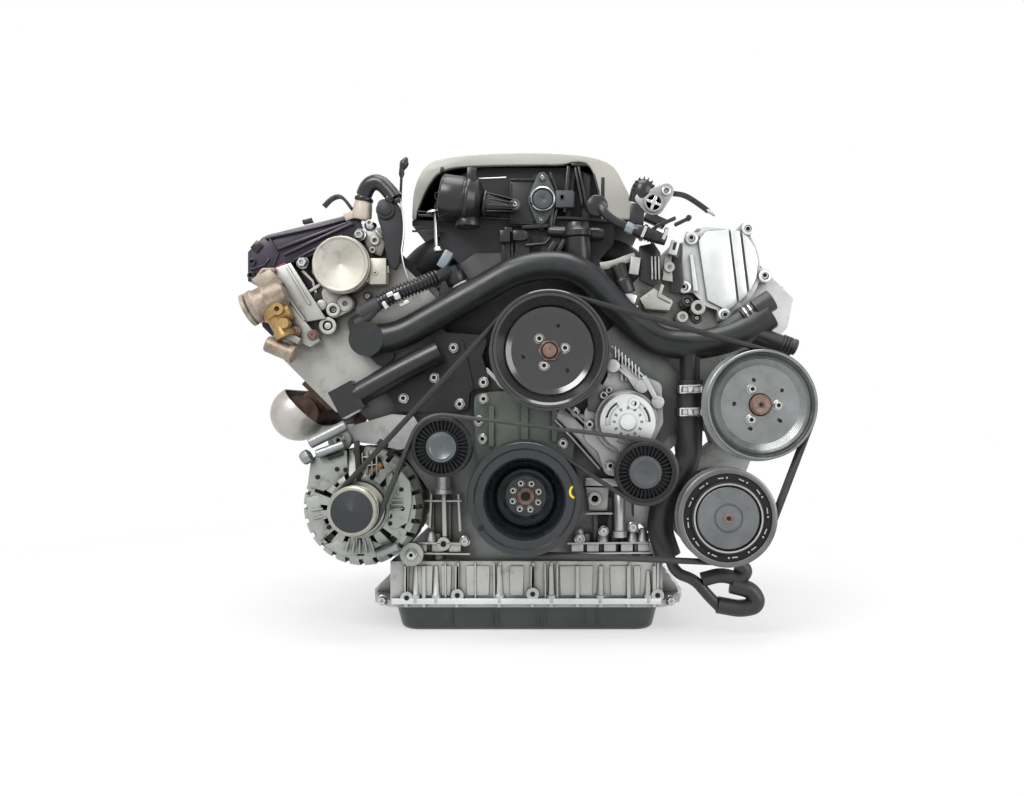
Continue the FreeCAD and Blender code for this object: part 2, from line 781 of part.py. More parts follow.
def tube(points, radius, inner=None):
    """A round tube along a path; without an inner radius it is a rod."""
    path = Part.Wire(rounded_path(points))
    first = path.OrderedVertexes[0].Point
    direction = V(*(float(v) for v in points[1])) - first
    solids = []
    for size in (radius, inner):
        if size is None:
            continue
        ring = Part.Wire(Part.Circle(first, direction, float(size)).toShape())
        solids.append(path.makePipeShell([ring], True, False))
    return solids[0] if len(solids) == 1 else solids[0].cut(solids[1])


# Crankcase

FRONT_SPOTS = [(-51.5, 65), (43, 60), (57.5, 95.5), (-55.9, 86), (-50.3, 112), (22.8, 104)]
LEFT_COVER_SPOTS = [(-85.5, 171.9), (-108, 137), (-144.1, 112.8), (-50.3, 131.3), (-78.1, 105.8)]
BRACKET_SPOTS = [(101, 150), (152.5, 108), (74, 82), (134, 126), (98, 34)]


def make_block():
    body = new_body("Block")
    right = [
        (S["skirt_width"], Size(0)),
        bank_point(deck_height - 100, S["deck_outer"], 1),
        bank_point(deck_height, S["deck_outer"], 1),
        bank_point(deck_height, -S["deck_inner"], 1),
        (S["valley_width"], S["valley_height"]),
    ]
    left = [(-x, z) for x, z in reversed(right)]
    outline = sketch(body, "BlockOutline", "XZ", [right + left], block_front)
    pad(body, outline, S["block_length"], "BlockPad")
    blind_holes(body, "BlockThreads", block_front, FRONT_SPOTS + BRACKET_SPOTS, Size(18))
    blind_holes(body, "WallThreads", block_front, LEFT_COVER_SPOTS, Size(5.4))
    saddle = sketch(body, "SaddleSketch", "XZ", [Circle(0, 0, S["main_radius"] + S["shell_thickness"])], block_front)
    pocket(body, saddle, S["block_length"], "Saddles")
    bay_length = S["bore_pitch"] - S["bulkhead"]
    tools = []
    for i in range(3):
        bay_y = main_ys[i] + S["bulkhead"] / 2
        tools.append(cylinder(f"Chamber{i + 1}", S["chamber_radius"], bay_length, 0, bay_y, 0))
    for side in SIDES.values():
        for i, y in enumerate(bore_ys):
            x, z = bank_point(S["chamber_start"], 0, side)
            hole = doc.addObject("Part::Cylinder", "Bore")
            bind(hole, "Radius", S["bore"] / 2)
            bind(hole, "Height", deck_height - S["chamber_start"] + 1)
            place(hole, x, y + bank_y(side), z, Y_WAY, S["bank_angle"] * side)
            tools.append(hole)
    for side in SIDES.values():
        for y in (-230, -190):
            for z in (14, 46):
                start = S["skirt_width"] + 12 if side > 0 else -S["skirt_width"] - 32
                tools.append(cylinder("MountThread", Size(4.25), Size(20), start - 20 * (side > 0), y, z, "X"))
    pads = []
    for side in SIDES.values():
        pads.append(block_of("MountPad", Size(40), Size(60), Size(52), (S["skirt_width"] - 8) * side, -240, 4))
        for y in (-275, -130, -90):
            pads.append(block_of("SideRib", Size(16), Size(7), Size(60), S["skirt_width"] * side, y, 0))
    return node(cut("CylinderBlock", fuse("BlockSolid", [body] + pads), tools), "cylinder_block")


def make_bedplate():
    """Bearing ladder: the lower half of the crankcase, with the main bearing caps in one casting."""
    body = new_body("Bedplate")
    half = [
        (S["bedplate_width"], -S["bedplate_height"]),
        (S["bedplate_width"], 7 - S["bedplate_height"]),
        (S["skirt_width"], 13 - S["bedplate_height"]),
        (S["skirt_width"], Size(0)),
    ]
    pad(body, sketch(body, "LadderOutline", "XZ", [mirrored(half)], block_front), S["block_length"], "LadderPad")
    pocket(body, sketch(body, "CapSketch", "XZ", [Circle(0, 0, S["main_radius"] + S["shell_thickness"])],
                        block_front), S["block_length"], "Caps")
    bay_length = S["bore_pitch"] - S["bulkhead"]
    tools = []
    for i in range(3):
        bay_y = main_ys[i] + S["bulkhead"] / 2
        tools.append(cylinder(f"LowerChamber{i + 1}", S["chamber_radius"], bay_length, 0, bay_y, 0))
    bosses = []
    for x in (70, 88, 104, 121, 138, -104):
        low = -S["bedplate_height"] + 2
        bosses.append(cylinder("LadderBoss", Size(7), Size(30), x, block_front - 3, low, "Z"))
    for x in (-112, -92, 82, 98, 114):
        bosses.append(block_of("LadderRib", Size(5), Size(7), Size(66), x, block_front - 6, -70))
    ear_x, ear_z = ALTERNATOR_EARS[1]
    ear_front = S["belt_plane"] + 50.8
    bosses.append(cylinder("AlternatorBoss", Size(9), block_front - ear_front, ear_x, ear_front, ear_z))
    tools.append(cylinder("AlternatorThread", Size(4.03), Size(22), ear_x, ear_front - 1, ear_z))
    return node(cut("BearingLadder", fuse("LadderSolid", [body] + bosses), tools), "bearing_ladder")


def make_upper_pan():
    """Cast oil pan: four walls with ribs and a wide rail that carries the tray."""
    top, rail = -S["bedplate_height"], S["rail_height"]
    bottom = top - S["pan_height"]
    length = S["block_rear"] + S["case_thickness"] - S["pan_front"]
    outside = block_of("PanOutside", S["pan_width"] * 2, length, S["pan_height"], 0, S["pan_front"], bottom)
    inner = (S["pan_width"] - S["wall"]) * 2
    inside = block_of("PanInside", inner, length - S["wall"] * 2, S["pan_height"] + 2, 0,
                      S["pan_front"] + S["wall"], bottom - 1)
    pieces = [cut("PanWalls", outside, [inside])]
    body = new_body("PanRail")
    back = S["block_rear"] + S["case_thickness"]
    edge = [
        (S["pan_width"], S["pan_front"]), (S["rail_width"] - 8, S["pan_front"] + 34),
        (S["rail_width"], S["pan_front"] + 76), (S["rail_width"], back),
    ]
    ring = [(S["pan_width"] - 16, S["pan_front"] + 16), (S["pan_width"] - 16, back - 16)]
    loops = [mirrored(edge), mirrored(ring)]
    pad(body, sketch(body, "RailOutline", "XY", loops, bottom), rail, "Rail", back=False)
    pieces.append(body)
    for side in SIDES.values():
        wing = new_body("PanWing")
        outline = [
            (S["pan_width"] * side - 3 * side, bottom + 2), ((S["rail_width"] - 4) * side, bottom + 2),
            ((S["rail_width"] - 10) * side, bottom + 18), (S["pan_width"] * side - 3 * side, top - 12),
        ]
        for i, y in enumerate((-318, -262, -206, -150, -94)):
            rib = sketch(wing, f"WingSketch{i}", "XZ", [outline], y)
            pad(wing, rib, Size(5), f"Wing{i}")
        wing.AllowCompound = True
        pieces.append(wing)
    for x in (-141, -120, -81.5, -32, 7, 29, 60, 87.5, 120, 150):
        pieces.append(block_of("PanRib", Size(4), Size(7), S["pan_height"] - 6, x, S["pan_front"] - 5, bottom + 1))
    for x in (-141, -81.5, 7, 87.5, 152):
        pieces.append(cylinder("PanEar", Size(8), Size(12), x, S["pan_front"] - 2, bottom + 10, "Y"))
    return node(fuse("UpperPan", pieces), "oil_pan_upper")


def make_tray():
    """Pressed steel tray with sloping sides; the drain plug sits in its floor."""
    top = -S["bedplate_height"] - S["pan_height"]
    body = new_body("Tray")

    def ring(name, inset, level):
        """A rounded rectangle; the tray narrows towards its floor."""
        slope = float(top - level) * 0.22
        width = float(S["pan_width"] - S["tray_inset"]) - inset - slope
        front = float(S["pan_front"]) + 6 + inset + slope
        rear = -80 - inset - slope
        corners = [(width, front), (width, rear), (-width, rear), (-width, front)]
        return sketch(body, name, "XY", [rounded(corners, 24 - inset)], level)

    floor = top - S["tray_height"]
    outer = ring("TrayTop", 0, top)
    feature(body, "AdditiveLoft", "TrayForm", Profile=outer, Sections=[ring("TrayFloor", 0, floor)])
    soften(body, Size(8), lambda edge: edge.CenterOfMass.z < float(floor) + 1, name="TrayEdges")
    sheet_size = float(S["tray_sheet"])
    inner = ring("TrayInnerTop", sheet_size, top + 0.01)
    below = ring("TrayInnerFloor", sheet_size, floor + sheet_size)
    feature(body, "SubtractiveLoft", "TrayHollow", Profile=inner, Sections=[below])
    drain = sketch(body, "DrainSketch", "XY", [Circle(S["drain_x"], S["drain_y"], Size(7.1))], floor)
    feature(body, "Pocket", "DrainHole", Profile=drain, Length=Size(5), Reversed=True)
    plug = new_body("DrainPlug")
    stem = sketch(plug, "PlugStem", "XY", [Circle(0, 0, Size(7))], 0)
    pad(plug, stem, Size(10), "PlugStemPad", back=False)
    head = sketch(plug, "PlugHead", "XY", [Circle(0, 0, Size(11))], S["tray_sheet"] + 0.3)
    pad(plug, head, Size(5), "PlugHeadPad", back=False)
    place(plug, S["drain_x"], S["drain_y"], floor + 0.2)
    return node(together("TrayWithPlug", [body, plug]), "oil_pan_lower")


def make_crankshaft():
    """Three throws 120 degrees apart, each with two pins split for an even firing order, on four mains."""
    pieces = []
    throw = float(S["stroke"] / 2)
    gap = S["seat_gap"]
    bay = S["bore_pitch"] - S["bulkhead"]
    pieces.append(cylinder("Nose", S["nose_radius"], Size(40), 0, S["belt_plane"] + 34.3, 0))
    pieces.append(cylinder("Pilot", Size(7.9), Size(9), 0, S["belt_plane"] + 27, 0))
    for i, y in enumerate(main_ys):
        pieces.append(cylinder(f"Main{i + 1}", S["main_radius"], S["bulkhead"] + 2, 0, y - S["bulkhead"] / 2 - 1, 0))
    pieces.append(cylinder("Tail", S["main_radius"], -main_ys[3], 0, main_ys[3], 0))
    for i in range(3):
        start = main_ys[i] + S["bulkhead"] / 2 + gap
        centre = main_ys[i] + S["bore_pitch"] / 2
        middle = 90 - 120 * i
        for half, sign in (("Left", -1), ("Right", 1)):
            angle = math.radians(middle - sign * float(S["split_angle"]) / 2)
            x, z = throw * math.cos(angle), throw * math.sin(angle)
            length = bay / 2 - S["web_thickness"] - gap
            pin_y = centre - length if sign < 0 else centre
            pieces.append(cylinder(f"Pin{half}", S["pin_radius"], length, x, pin_y, z))
            web = new_body(f"Web{half}")
            heavy = float(S["weight_radius"])
            spread = math.radians(66)
            cheek = float(S["pin_radius"]) + 3
            back = angle + math.pi
            outline = [
                (heavy * math.cos(back - spread), heavy * math.sin(back - spread)),
                Arc(heavy * math.cos(back + spread), heavy * math.sin(back + spread), heavy, True),
                (x + cheek * math.cos(angle - 1.57), z + cheek * math.sin(angle - 1.57)),
                Arc(x + cheek * math.cos(angle + 1.57), z + cheek * math.sin(angle + 1.57), cheek + 0.01, True),
            ]
            web_y = start if sign < 0 else centre + length
            pad(web, sketch(web, "WebSketch", "XZ", [outline], web_y), S["web_thickness"], "WebPad")
            pieces.append(web)
    flange = cylinder("RearFlange", S["flange_radius"], S["flange_thickness"], 0, -S["flange_thickness"], 0)
    pieces.append(flange)
    solid = fuse("CrankSolid", pieces)
    holes = []
    for i in range(8):
        angle = S["flywheel_start"] + 45 * i
        x, z = S["flywheel_circle"] / 2 * cosine(angle), S["flywheel_circle"] / 2 * sine(angle)
        holes.append(cylinder("FlywheelHole", S["flywheel_hole"], Size(12), x, -11, z))
        angle = Size(20) + 45 * i
        x, z = S["damper_circle"] / 2 * cosine(angle), S["damper_circle"] / 2 * sine(angle)
        holes.append(cylinder("DamperThread", S["damper_hole"], Size(16), x, S["belt_plane"] + 33, z))
    return node(cut("Crankshaft", solid, holes), "crankshaft")


def make_pistons():
    """Pistons at the heights that the crank pins give at rest, each with its ring grooves."""
    throw, rod = float(S["stroke"] / 2), float(S["rod_length"])
    pistons = []
    for side in SIDES.values():
        for i, y in enumerate(bore_ys):
            turn = 90 - 120 * i + side * -1 * float(S["split_angle"]) / 2
            lean = math.radians(turn - 90 + float(S["bank_angle"]) * side)
            pin_along, pin_across = throw * math.cos(lean), throw * math.sin(lean)
            height = pin_along + math.sqrt(rod**2 - pin_across**2)
            body = new_body("Piston")
            radius = S["bore"] / 2 - S["seat_gap"] / 2
            crown = height + S["crown_height"]
            groove_depth, level = Size(3), crown - 6
            profile = [(Size(0), crown), (radius, crown)]
            for _ in range(3):
                profile += [(radius, level), (radius - groove_depth, level), (radius - groove_depth, level - 2),
                            (radius, level - 2)]
                level = level - 5
            profile += [(radius, crown - 50), (radius - 4, crown - 50), (radius - 4, crown - 12), (Size(0), crown - 10)]
            section = sketch(body, "PistonProfile", "XZ", [profile])
            feature(body, "Revolution", "PistonTurned", Profile=section, ReferenceAxis=(section, ["V_Axis"]), Angle=360.0)
            pistons.append(on_bank(body, side, y + bank_y(side)))
    return node(together("Pistons", pistons), "pistons")


def make_front_cover():
    outline = rounded([
        (-62, 118), (-34, 121), (26, 121), (54, 108), (64, 96), (56, 56), (52, 20), (50, -30), (22, -54),
        (-22, -54), (-50, -30), (-52, 20), (-60, 56),
    ], 10)
    front = block_front - S["cover_thickness"]
    body = plate("FrontCover", front, S["cover_thickness"], outline, FRONT_SPOTS)
    boss = sketch(body, "SealBossSketch", "XZ", [Circle(0, 0, S["seal_radius"] + 5)], front - 9)
    pad(body, boss, Size(10), "SealBoss")
    rib_lines = [[(-44, 56), (-38, 56), (-38, 104), (-44, 104)], [(30, 62), (36, 62), (36, 100), (30, 100)],
                 [(-6, 60), (2, 60), (2, 112), (-6, 112)]]
    pad(body, sketch(body, "CoverRibs", "XZ", rib_lines, front - 4), Size(5), "CoverRibPads")
    hole = sketch(body, "SealHole", "XZ", [Circle(0, 0, S["seal_radius"])], front - 9)
    pocket(body, hole, S["cover_thickness"] + 9, "SealBore")
    node(body, "front_cover")
    seal = new_body("FrontSeal")
    ring = sketch(seal, "SealSketch", "XZ", [Circle(0, 0, S["seal_radius"]),
                                             Circle(0, 0, S["nose_radius"] + S["oil_gap"])], front - 8)
    pad(seal, ring, Size(12), "SealPad")
    SEALS.append(seal)


def make_left_cover():
    """Moulded cover beside the front cover, with a rib along its edge."""
    outline = rounded([
        (-92, 190), (-44, 186), (-52, 162), (-42, 127), (-67, 122), (-68, 97), (-150, 97), (-168, 124), (-162, 138),
        (-146, 148), (-128, 154), (-104, 186),
    ], 8)
    front = block_front - 14
    body = plate("LeftCover", front, Size(14), outline, LEFT_COVER_SPOTS)
    rib = [(-78, 180), (-74, 180), (-62, 126), (-66, 126)]
    pad(body, sketch(body, "LeftCoverRibSketch", "XZ", [rib], front - 3), Size(4), "LeftCoverRib")
    node(body, "left_front_cover")


def make_chain_case():
    """Rear housing of the timing chains; its rear face takes the gearbox."""
    depth, back = S["case_thickness"], S["block_rear"] + S["case_thickness"]
    foot = -S["bedplate_height"]
    wheel_top, wheel_side = cam_line + S["cam_wheel"], S["cam_spacing"] / 2 + S["cam_wheel"]
    half = [
        (Size(150), foot), (Size(186), Size(-50)), (S["case_radius"], Size(10)), (S["case_radius"] - 8, Size(90)),
        bank_point(wheel_top - 14, wheel_side + 10, 1), bank_point(wheel_top + 10, wheel_side - 14, 1),
        bank_point(wheel_top + 10, 14 - wheel_side, 1), bank_point(wheel_top - 14, -wheel_side - 10, 1),
        bank_point(deck_height + 10, -wheel_side - 8, 1),
        (Size(40), Size(176)),
    ]
    body = new_body("ChainCase")
    pad(body, sketch(body, "CaseOutline", "XZ", [mirrored(half)], S["block_rear"]), depth, "CasePad")
    thin = S["wall"]
    inner = [
        (Size(30), Size(-50)), (Size(60), Size(0)), bank_point(cam_line - 34, wheel_side + 4, 1),
        bank_point(wheel_top - 12, wheel_side + 4, 1), bank_point(wheel_top + 4, wheel_side - 14, 1),
        bank_point(wheel_top + 4, 14 - wheel_side, 1), bank_point(wheel_top - 14, -wheel_side - 4, 1),
        bank_point(deck_height + 20, -wheel_side, 1), (Size(30), Size(160)),
    ]
    pocket(body, sketch(body, "CaseHollow", "XZ", [mirrored(inner)], S["block_rear"]), depth - thin, "CaseSpace")
    hole = sketch(body, "RearSealHole", "XZ", [Circle(0, 0, S["seal_radius"] + 10)], S["block_rear"])
    pocket(body, hole, depth, "RearSealBore")
    corners = [(x, z) for x in (-150, 150) for z in (-55, 120)]
    threads = sketch(body, "GearboxThreads", "XZ", [Circle(x, z, S["gearbox_hole"]) for x, z in corners], back)
    feature(body, "Pocket", "GearboxHoles", Profile=threads, Length=Size(28), Reversed=True)
    node(body, "rear_chain_case")
    seal = new_body("RearSeal")
    rings = [Circle(0, 0, S["seal_radius"] + 10), Circle(0, 0, S["flange_radius"] + S["oil_gap"])]
    pad(seal, sketch(seal, "RearSealSketch", "XZ", rings, back - 6), Size(6), "RearSealPad")
    SEALS.append(seal)


# Heads

HEAD_BOSSES = {
    "left": [(-212, 223.5, 10, 7), (-226, 215, 8, 9), (-232.5, 198, 7, 8)],
    "right": [(167.6, 266.3, 6, 20), (201, 218, 8, 21), (183, 208, 6.4, 19), (188.7, 226, 6, 20)],
}
HEAD_WEBS = {
    "left": (4, [(-184, 284), (-172, 280), (-170, 300), (-186, 302)]),
    "right": (16, [(140, 218), (168, 216), (172, 226), (164, 232), (150, 242), (136, 232)]),
}


def make_head(name, side):
    y0 = S["head_front"] + bank_y(side)
    length = S["block_rear"] - y0
    inner, outer = -S["head_inner"] * side, S["head_outer"] * side
    body = new_body(name.title() + "Head")
    outline = [
        (outer, deck_height), (outer, head_top - 26), (outer - 10 * side, head_top), (inner + 8 * side, head_top),
        (inner, head_top - 12), (inner, deck_height),
    ]
    loop = outline if side > 0 else [outline[0]] + outline[:0:-1]
    pad(body, sketch(body, "HeadOutline", "XZ", [loop], y0), length, "HeadPad")
    bays = []
    half, low = S["cam_spacing"] / 2 + S["cam_base"] + S["cam_lift"] + 2, cam_line - S["cam_base"] - S["cam_lift"] - 2
    for i in range(3):
        start = bore_ys[i] + bank_y(side) - S["bore_pitch"] / 2 + 7
        bays.append(block_of("CamBay", half * 2, S["bore_pitch"] - 14, S["head_height"], 0, start, low))
    for cam in (-1, 1):
        x = S["cam_spacing"] / 2 * cam
        bays.append(cylinder("CamBore", S["cam_journal"] + S["oil_gap"], length, x, y0 + 8, cam_line))
    for y in bore_ys:
        bay_y = y + bank_y(side)
        bays.append(cylinder("Chamber", S["bore"] / 2 - 1, Size(9), 0, bay_y, deck_height - 0.01, "Z"))
        start = -S["head_inner"] if side > 0 else S["head_inner"] - 26
        bays.append(cylinder("InletPort", Size(17), Size(26), start, bay_y, S["port_height"], "X"))
        start = S["head_outer"] - 26 if side > 0 else -S["head_outer"]
        bays.append(cylinder("ExhaustPort", Size(15), Size(26), start, bay_y, S["exhaust_height"], "X"))
    head = on_bank(cut(name.title() + "HeadCast", body, bays), side)
    face = y0 if side > 0 else S["head_front"]
    pieces = [head]
    for x, z, radius, length in HEAD_BOSSES[name]:
        pieces.append(cylinder("HeadBoss", Size(radius), Size(length), x, face - length, z))
    web = new_body(name.title() + "HeadWeb")
    level, depth = face - HEAD_WEBS[name][0], Size(HEAD_WEBS[name][0] + 1)
    pad(web, sketch(web, name.title() + "HeadWebOutline", "XZ", [HEAD_WEBS[name][1]], level), depth, "HeadWebPad")
    return node(fuse(name.title() + "Head", pieces + [web]), f"cylinder_head_{name}")


def make_cam_cover(name, side):
    """Cam cover: a crowned shell with ribs along its top."""
    y0 = S["head_front"] + bank_y(side)
    length = S["block_rear"] - y0
    inner, outer = -S["head_inner"] + 8, S["head_outer"] - 10
    top = head_top + S["cover_height"]

    def section(inset):
        edge = [
            (outer - inset, head_top), (outer - inset, head_top + 16), (outer - 20 - inset / 2, top - inset),
            (inner + 24 + inset / 2, top - inset), (inner + inset, head_top + 24), (inner + inset, head_top),
        ]
        return edge if side > 0 else [(-x, z) for x, z in reversed(edge)]

    body = new_body(name.title() + "CamCover")
    pad(body, sketch(body, "CoverSection", "XZ", [section(0)], y0), length, "CoverPad")
    hollow = sketch(body, "CoverHollow", "XZ", [section(4)], y0 + 4)
    pocket(body, hollow, length - 8, "CoverSpace")
    ribs = []
    for x in (-44, -22, 0, 22, 44):
        ribs.append(block_of("CoverRib", Size(3), length - 24, Size(7), size_of(x) * side, y0 + 12, top - 3))
    cover = on_bank(fuse(name.title() + "CoverShell", [body] + ribs), side)
    if name == "left":
        cover = fuse("LeftCoverWithFront", [cover, left_cover_front()])
    node(cover, f"cam_cover_{name}")


def left_cover_front():
    """Front wall of the left cover, which hangs over the head, with the long ribs across it."""
    wall = new_body("LeftCoverFront")
    outline = rounded([
        (-326, 249), (-312, 250), (-300, 264), (-283, 268.5), (-262, 276), (-232, 294), (-203, 303), (-190, 308),
        (-196, 326), (-206, 328), (-303, 304), (-309, 301), (-326, 284),
    ], 1.5)
    level = S["head_front"] - 9
    pad(wall, sketch(wall, "LeftFrontOutline", "XZ", [outline], level), Size(9), "LeftFrontPad")
    ribs = [[(-300, 297.5), (-209, 320), (-210, 323), (-301, 300.5)], [(-290, 285), (-209, 315), (-210, 318), (-291, 288)],
            [(-284, 278), (-216, 304), (-217, 307), (-285, 281)]]
    pad(wall, sketch(wall, "LeftFrontRibs", "XZ", ribs, level - 5), Size(6), "LeftFrontRibPads")
    return wall


def make_camshaft(name, side, cam):
    """Camshaft with two lobes for each cylinder and its chain wheel at the rear."""
    y0 = S["head_front"] + bank_y(side)
    x = S["cam_spacing"] / 2 * cam * side
    end = S["block_rear"] + S["case_thickness"] - S["wall"] - 6
    pieces = [cylinder("CamShaft", S["cam_shaft"], end - y0 - 9, x, y0 + 9, cam_line)]
    for i in range(4):
        start = bore_ys[0] + bank_y(side) + S["bore_pitch"] * (i - 0.5) - 7
        pieces.append(cylinder("CamJournal", S["cam_journal"], Size(14), x, start if i else y0 + 9, cam_line))
    base, lift = float(S["cam_base"]), float(S["cam_lift"])
    for i, y in enumerate(bore_ys):
        turn = math.radians(60 + 120 * i + 70 * cam * side)
        nose = V(lift * math.cos(turn), lift * math.sin(turn), 0)
        for valve in (-18, 18):
            lobe = new_body("CamLobe")
            across = V(-math.sin(turn), math.cos(turn), 0)
            tip = nose + V(math.cos(turn), math.sin(turn), 0) * (base - 7)
            ends = [across * base * -1, tip + across * -7, tip + across * 7, across * base]
            outline = [
                Arc(ends[0].x, ends[0].y, base + 0.01, True), (ends[1].x, ends[1].y),
                Arc(ends[2].x, ends[2].y, 7.01, True), (ends[3].x, ends[3].y),
            ]
            pad(lobe, sketch(lobe, "LobeSketch", "XZ", [outline], 0), Size(12), "LobePad")
            place(lobe, x, y + bank_y(side) + valve - 6, cam_line)
            pieces.append(lobe)
    wheel = cylinder("CamWheel", S["cam_wheel"], Size(8), x, S["block_rear"] + 12 + 12 * (side > 0), cam_line)
    shaft = fuse(f"{name.title()}Camshaft", pieces + [wheel])
    node(on_bank(shaft, side), f"camshaft_{name}")


# Accessories on the front

def roller_pin(name, x, z, seat, spacer_radius):
    """Spacer behind a smooth roller, its pin through the roller and its head in front."""
    half = half_belt + 1.6
    body = new_body(name)
    rear = seat - S["belt_plane"]
    profile = sketch(body, name + "Profile", "XY", [[
        (Size(0), -half - 3), (Size(7.5), -half - 3), (Size(7.5), -half - 1.3), (Size(5), -half - 1.3),
        (Size(5), half - 0.7), (spacer_radius, half - 0.7), (spacer_radius, rear), (Size(0), rear),
    ]])
    revolve(body, profile)
    place(body, x, S["belt_plane"], z)
    return body


def make_tensioner():
    """Housing with the spring on the bracket, and the arm that swings about its centre."""
    seat = block_front - S["bracket_depth"]
    x, z = S["pivot_x"], S["pivot_z"]
    gap = S["seat_gap"]
    arm_back = S["belt_plane"] + half_belt + 10.2
    housing = new_body("TensionerHousing")
    profile = sketch(housing, "HousingProfile", "XY", [[
        (Size(0), arm_back + gap - seat), (Size(10), arm_back + gap - seat), (Size(10), arm_back + 8 - seat),
        (S["tensioner_radius"] - 4, arm_back + 8 - seat), (S["tensioner_radius"] - 4, arm_back + gap - seat),
        (S["tensioner_radius"], arm_back + gap - seat), (S["tensioner_radius"], Size(-3)),
        (S["tensioner_radius"] + 3, Size(0)), (Size(0), Size(0)),
    ]])
    revolve(housing, profile)
    place(housing, x, seat, z)
    node(housing, "tensioner_housing")
    arm = new_body("TensionerArm")
    roller_x = S["arm_length"] * cosine(S["arm_angle"])
    roller_z = S["arm_length"] * sine(S["arm_angle"])
    thickness = Size(7)
    disc = sketch(arm, "ArmDisc", "XZ", [Circle(0, 0, S["tensioner_radius"])], arm_back - thickness)
    pad(arm, disc, thickness, "ArmDiscPad")
    side = [(-math.sin(math.radians(S["arm_angle"].value)), math.cos(math.radians(S["arm_angle"].value)))]
    nx, nz = side[0]
    rx, rz = float(roller_x), float(roller_z)
    beam = [
        (nx * -24, nz * -24), (rx - nx * 15, rz - nz * 15), Arc(rx + nx * 15, rz + nz * 15, 15.01, True),
        (nx * 24, nz * 24),
    ]
    pad(arm, sketch(arm, "ArmBeam", "XZ", [beam], arm_back - thickness), thickness, "ArmBeamPad")
    slot = [
        (Size(20), Size(0)), Arc(20 * cosine(70), 20 * sine(70), Size(20)), (26 * cosine(70), 26 * sine(70)),
        Arc(Size(26), Size(0), Size(26), False),
    ]
    pad_level = arm_back - thickness - 1
    notches = sketch(arm, "ArmSlot", "XZ", [slot], pad_level)
    ring_of(arm, pocket(arm, notches, Size(4.5), "ArmSlotCut"), 3, "ArmSlots")
    small = sketch(arm, "ArmNotch", "XZ", [[(14, -1.4), (17.5, -1.4), (17.5, 1.4), (14, 1.4)]], pad_level)
    ring_of(arm, pocket(arm, small, Size(3.5), "ArmNotchCut"), 12, "ArmNotches")
    cap = sketch(arm, "ArmCap", "XZ", [Circle(0, 0, Size(9))], arm_back - thickness - 2)
    pad(arm, cap, Size(2.5), "ArmCapPad")
    place(arm, x, 0, z)
    pin = roller_pin("TensionPin", x + roller_x, z + roller_z, arm_back - thickness, Size(9))
    node(together("ArmWithPin", [arm, pin]), "tensioner_arm")


def make_bracket():
    """Cast bracket on the right of the block face; it carries the tensioner and has a comb of cooling ribs."""
    front = block_front - S["bracket_depth"]
    outline = rounded([
        (86, 178), (120, 146), (158, 130), (160, 84), (140, 44), (110, 20), (92, 24), (84, 50), (68, 64), (68, 98),
        (84, 118), (96, 140),
    ], 9)
    body = plate("Bracket", front + 10, S["bracket_depth"] - 10, outline, BRACKET_SPOTS)
    seat = sketch(body, "TensionerSeat", "XZ", [Circle(S["pivot_x"], S["pivot_z"], S["tensioner_radius"] + 5)], front)
    pad(body, seat, Size(11), "SeatPad")
    comb = []
    for i in range(6):
        x = 110 + 5 * i
        comb.append([(x, 133), (x + 2.6, 133), (x + 2.6, 158 - 4.4 * i), (x, 160 - 4.4 * i)])
    pad(body, sketch(body, "CombSketch", "XZ", comb, front + 5), S["bracket_depth"] - 8, "Comb")
    node(body, "accessory_bracket")


def make_water_pump():
    """Housing on the block face, cover, impeller shaft with its flange, and the pulley's bolts."""
    x, z = S["pump_x"], S["pump_z"]
    rear = block_front
    housing = new_body("PumpPlate")
    outline = rounded([(-34, 122), (62, 122), (80, 130), (82, 190), (62, 222), (-8, 222), (-36, 200), (-40, 150)], 16)
    pad(housing, sketch(housing, "PumpOutline", "XZ", [outline], rear - 10), Size(10), "PumpPlatePad")
    cover = new_body("PumpCover")
    level = rear - 10
    profile = sketch(cover, "PumpCoverProfile", "XY", [[
        (S["pump_shaft"] + S["oil_gap"], Size(-19)), (Size(20), Size(-19)), (Size(22), Size(-12)),
        (Size(38), Size(-11)), (Size(42), Size(-8)), (Size(44.2), Size(-4)), (Size(44.2), Size(0)),
        (Size(39), Size(0)), (Size(39), Size(-8)), (Size(22), Size(-9)),
        (S["pump_shaft"] + S["oil_gap"], Size(-9)),
    ]])
    revolve(cover, profile)
    place(cover, x, level, z)
    node(fuse("WaterPump", [housing, cover]), "water_pump_housing")
    shaft = new_body("PumpShaft")
    nose = S["belt_plane"] - level
    profile = sketch(shaft, "PumpShaftProfile", "XY", [[
        (Size(0), nose + 17), (Size(7), nose + 17), (Size(8.6), nose + 18), (Size(8.6), nose + 27.3),
        (Size(26), nose + 27.3), (Size(26), nose + 33), (S["pump_shaft"], nose + 34), (S["pump_shaft"], Size(-8.6)),
        (Size(36), Size(-6)), (Size(36), Size(-3.6)), (S["pump_shaft"], Size(-3.6)), (S["pump_shaft"], Size(-0.4)),
        (Size(0), Size(-0.4)),
    ]])
    revolve(shaft, profile)
    vane = [(10, -1), (35.5, -1), (35.5, 1), (10, 1)]
    vanes = pad(shaft, sketch(shaft, "VaneSketch", "XZ", [vane], -7), Size(4), "Vane")
    ring_of(shaft, vanes, 7, "Vanes")
    threads = Circle(S["pump_bolt_circle"] / 2 * cosine(10), S["pump_bolt_circle"] / 2 * sine(10), Size(3.1))
    thread = pocket(shaft, sketch(shaft, "FlangeThread", "XZ", [threads], nose + 24), Size(12), "FlangeThreadCut")
    ring_of(shaft, thread, 3, "FlangeThreads")
    place(shaft, x, level, z)
    node(shaft, "water_pump_shaft")
    ring = S["pump_bolt_circle"] / 2
    spots = [(x + ring * cosine(10 + 120 * i), z + ring * sine(10 + 120 * i)) for i in range(3)]
    bolts("PumpBolts", "pump_pulley_bolts", spots, S["belt_plane"] + 23, 9)


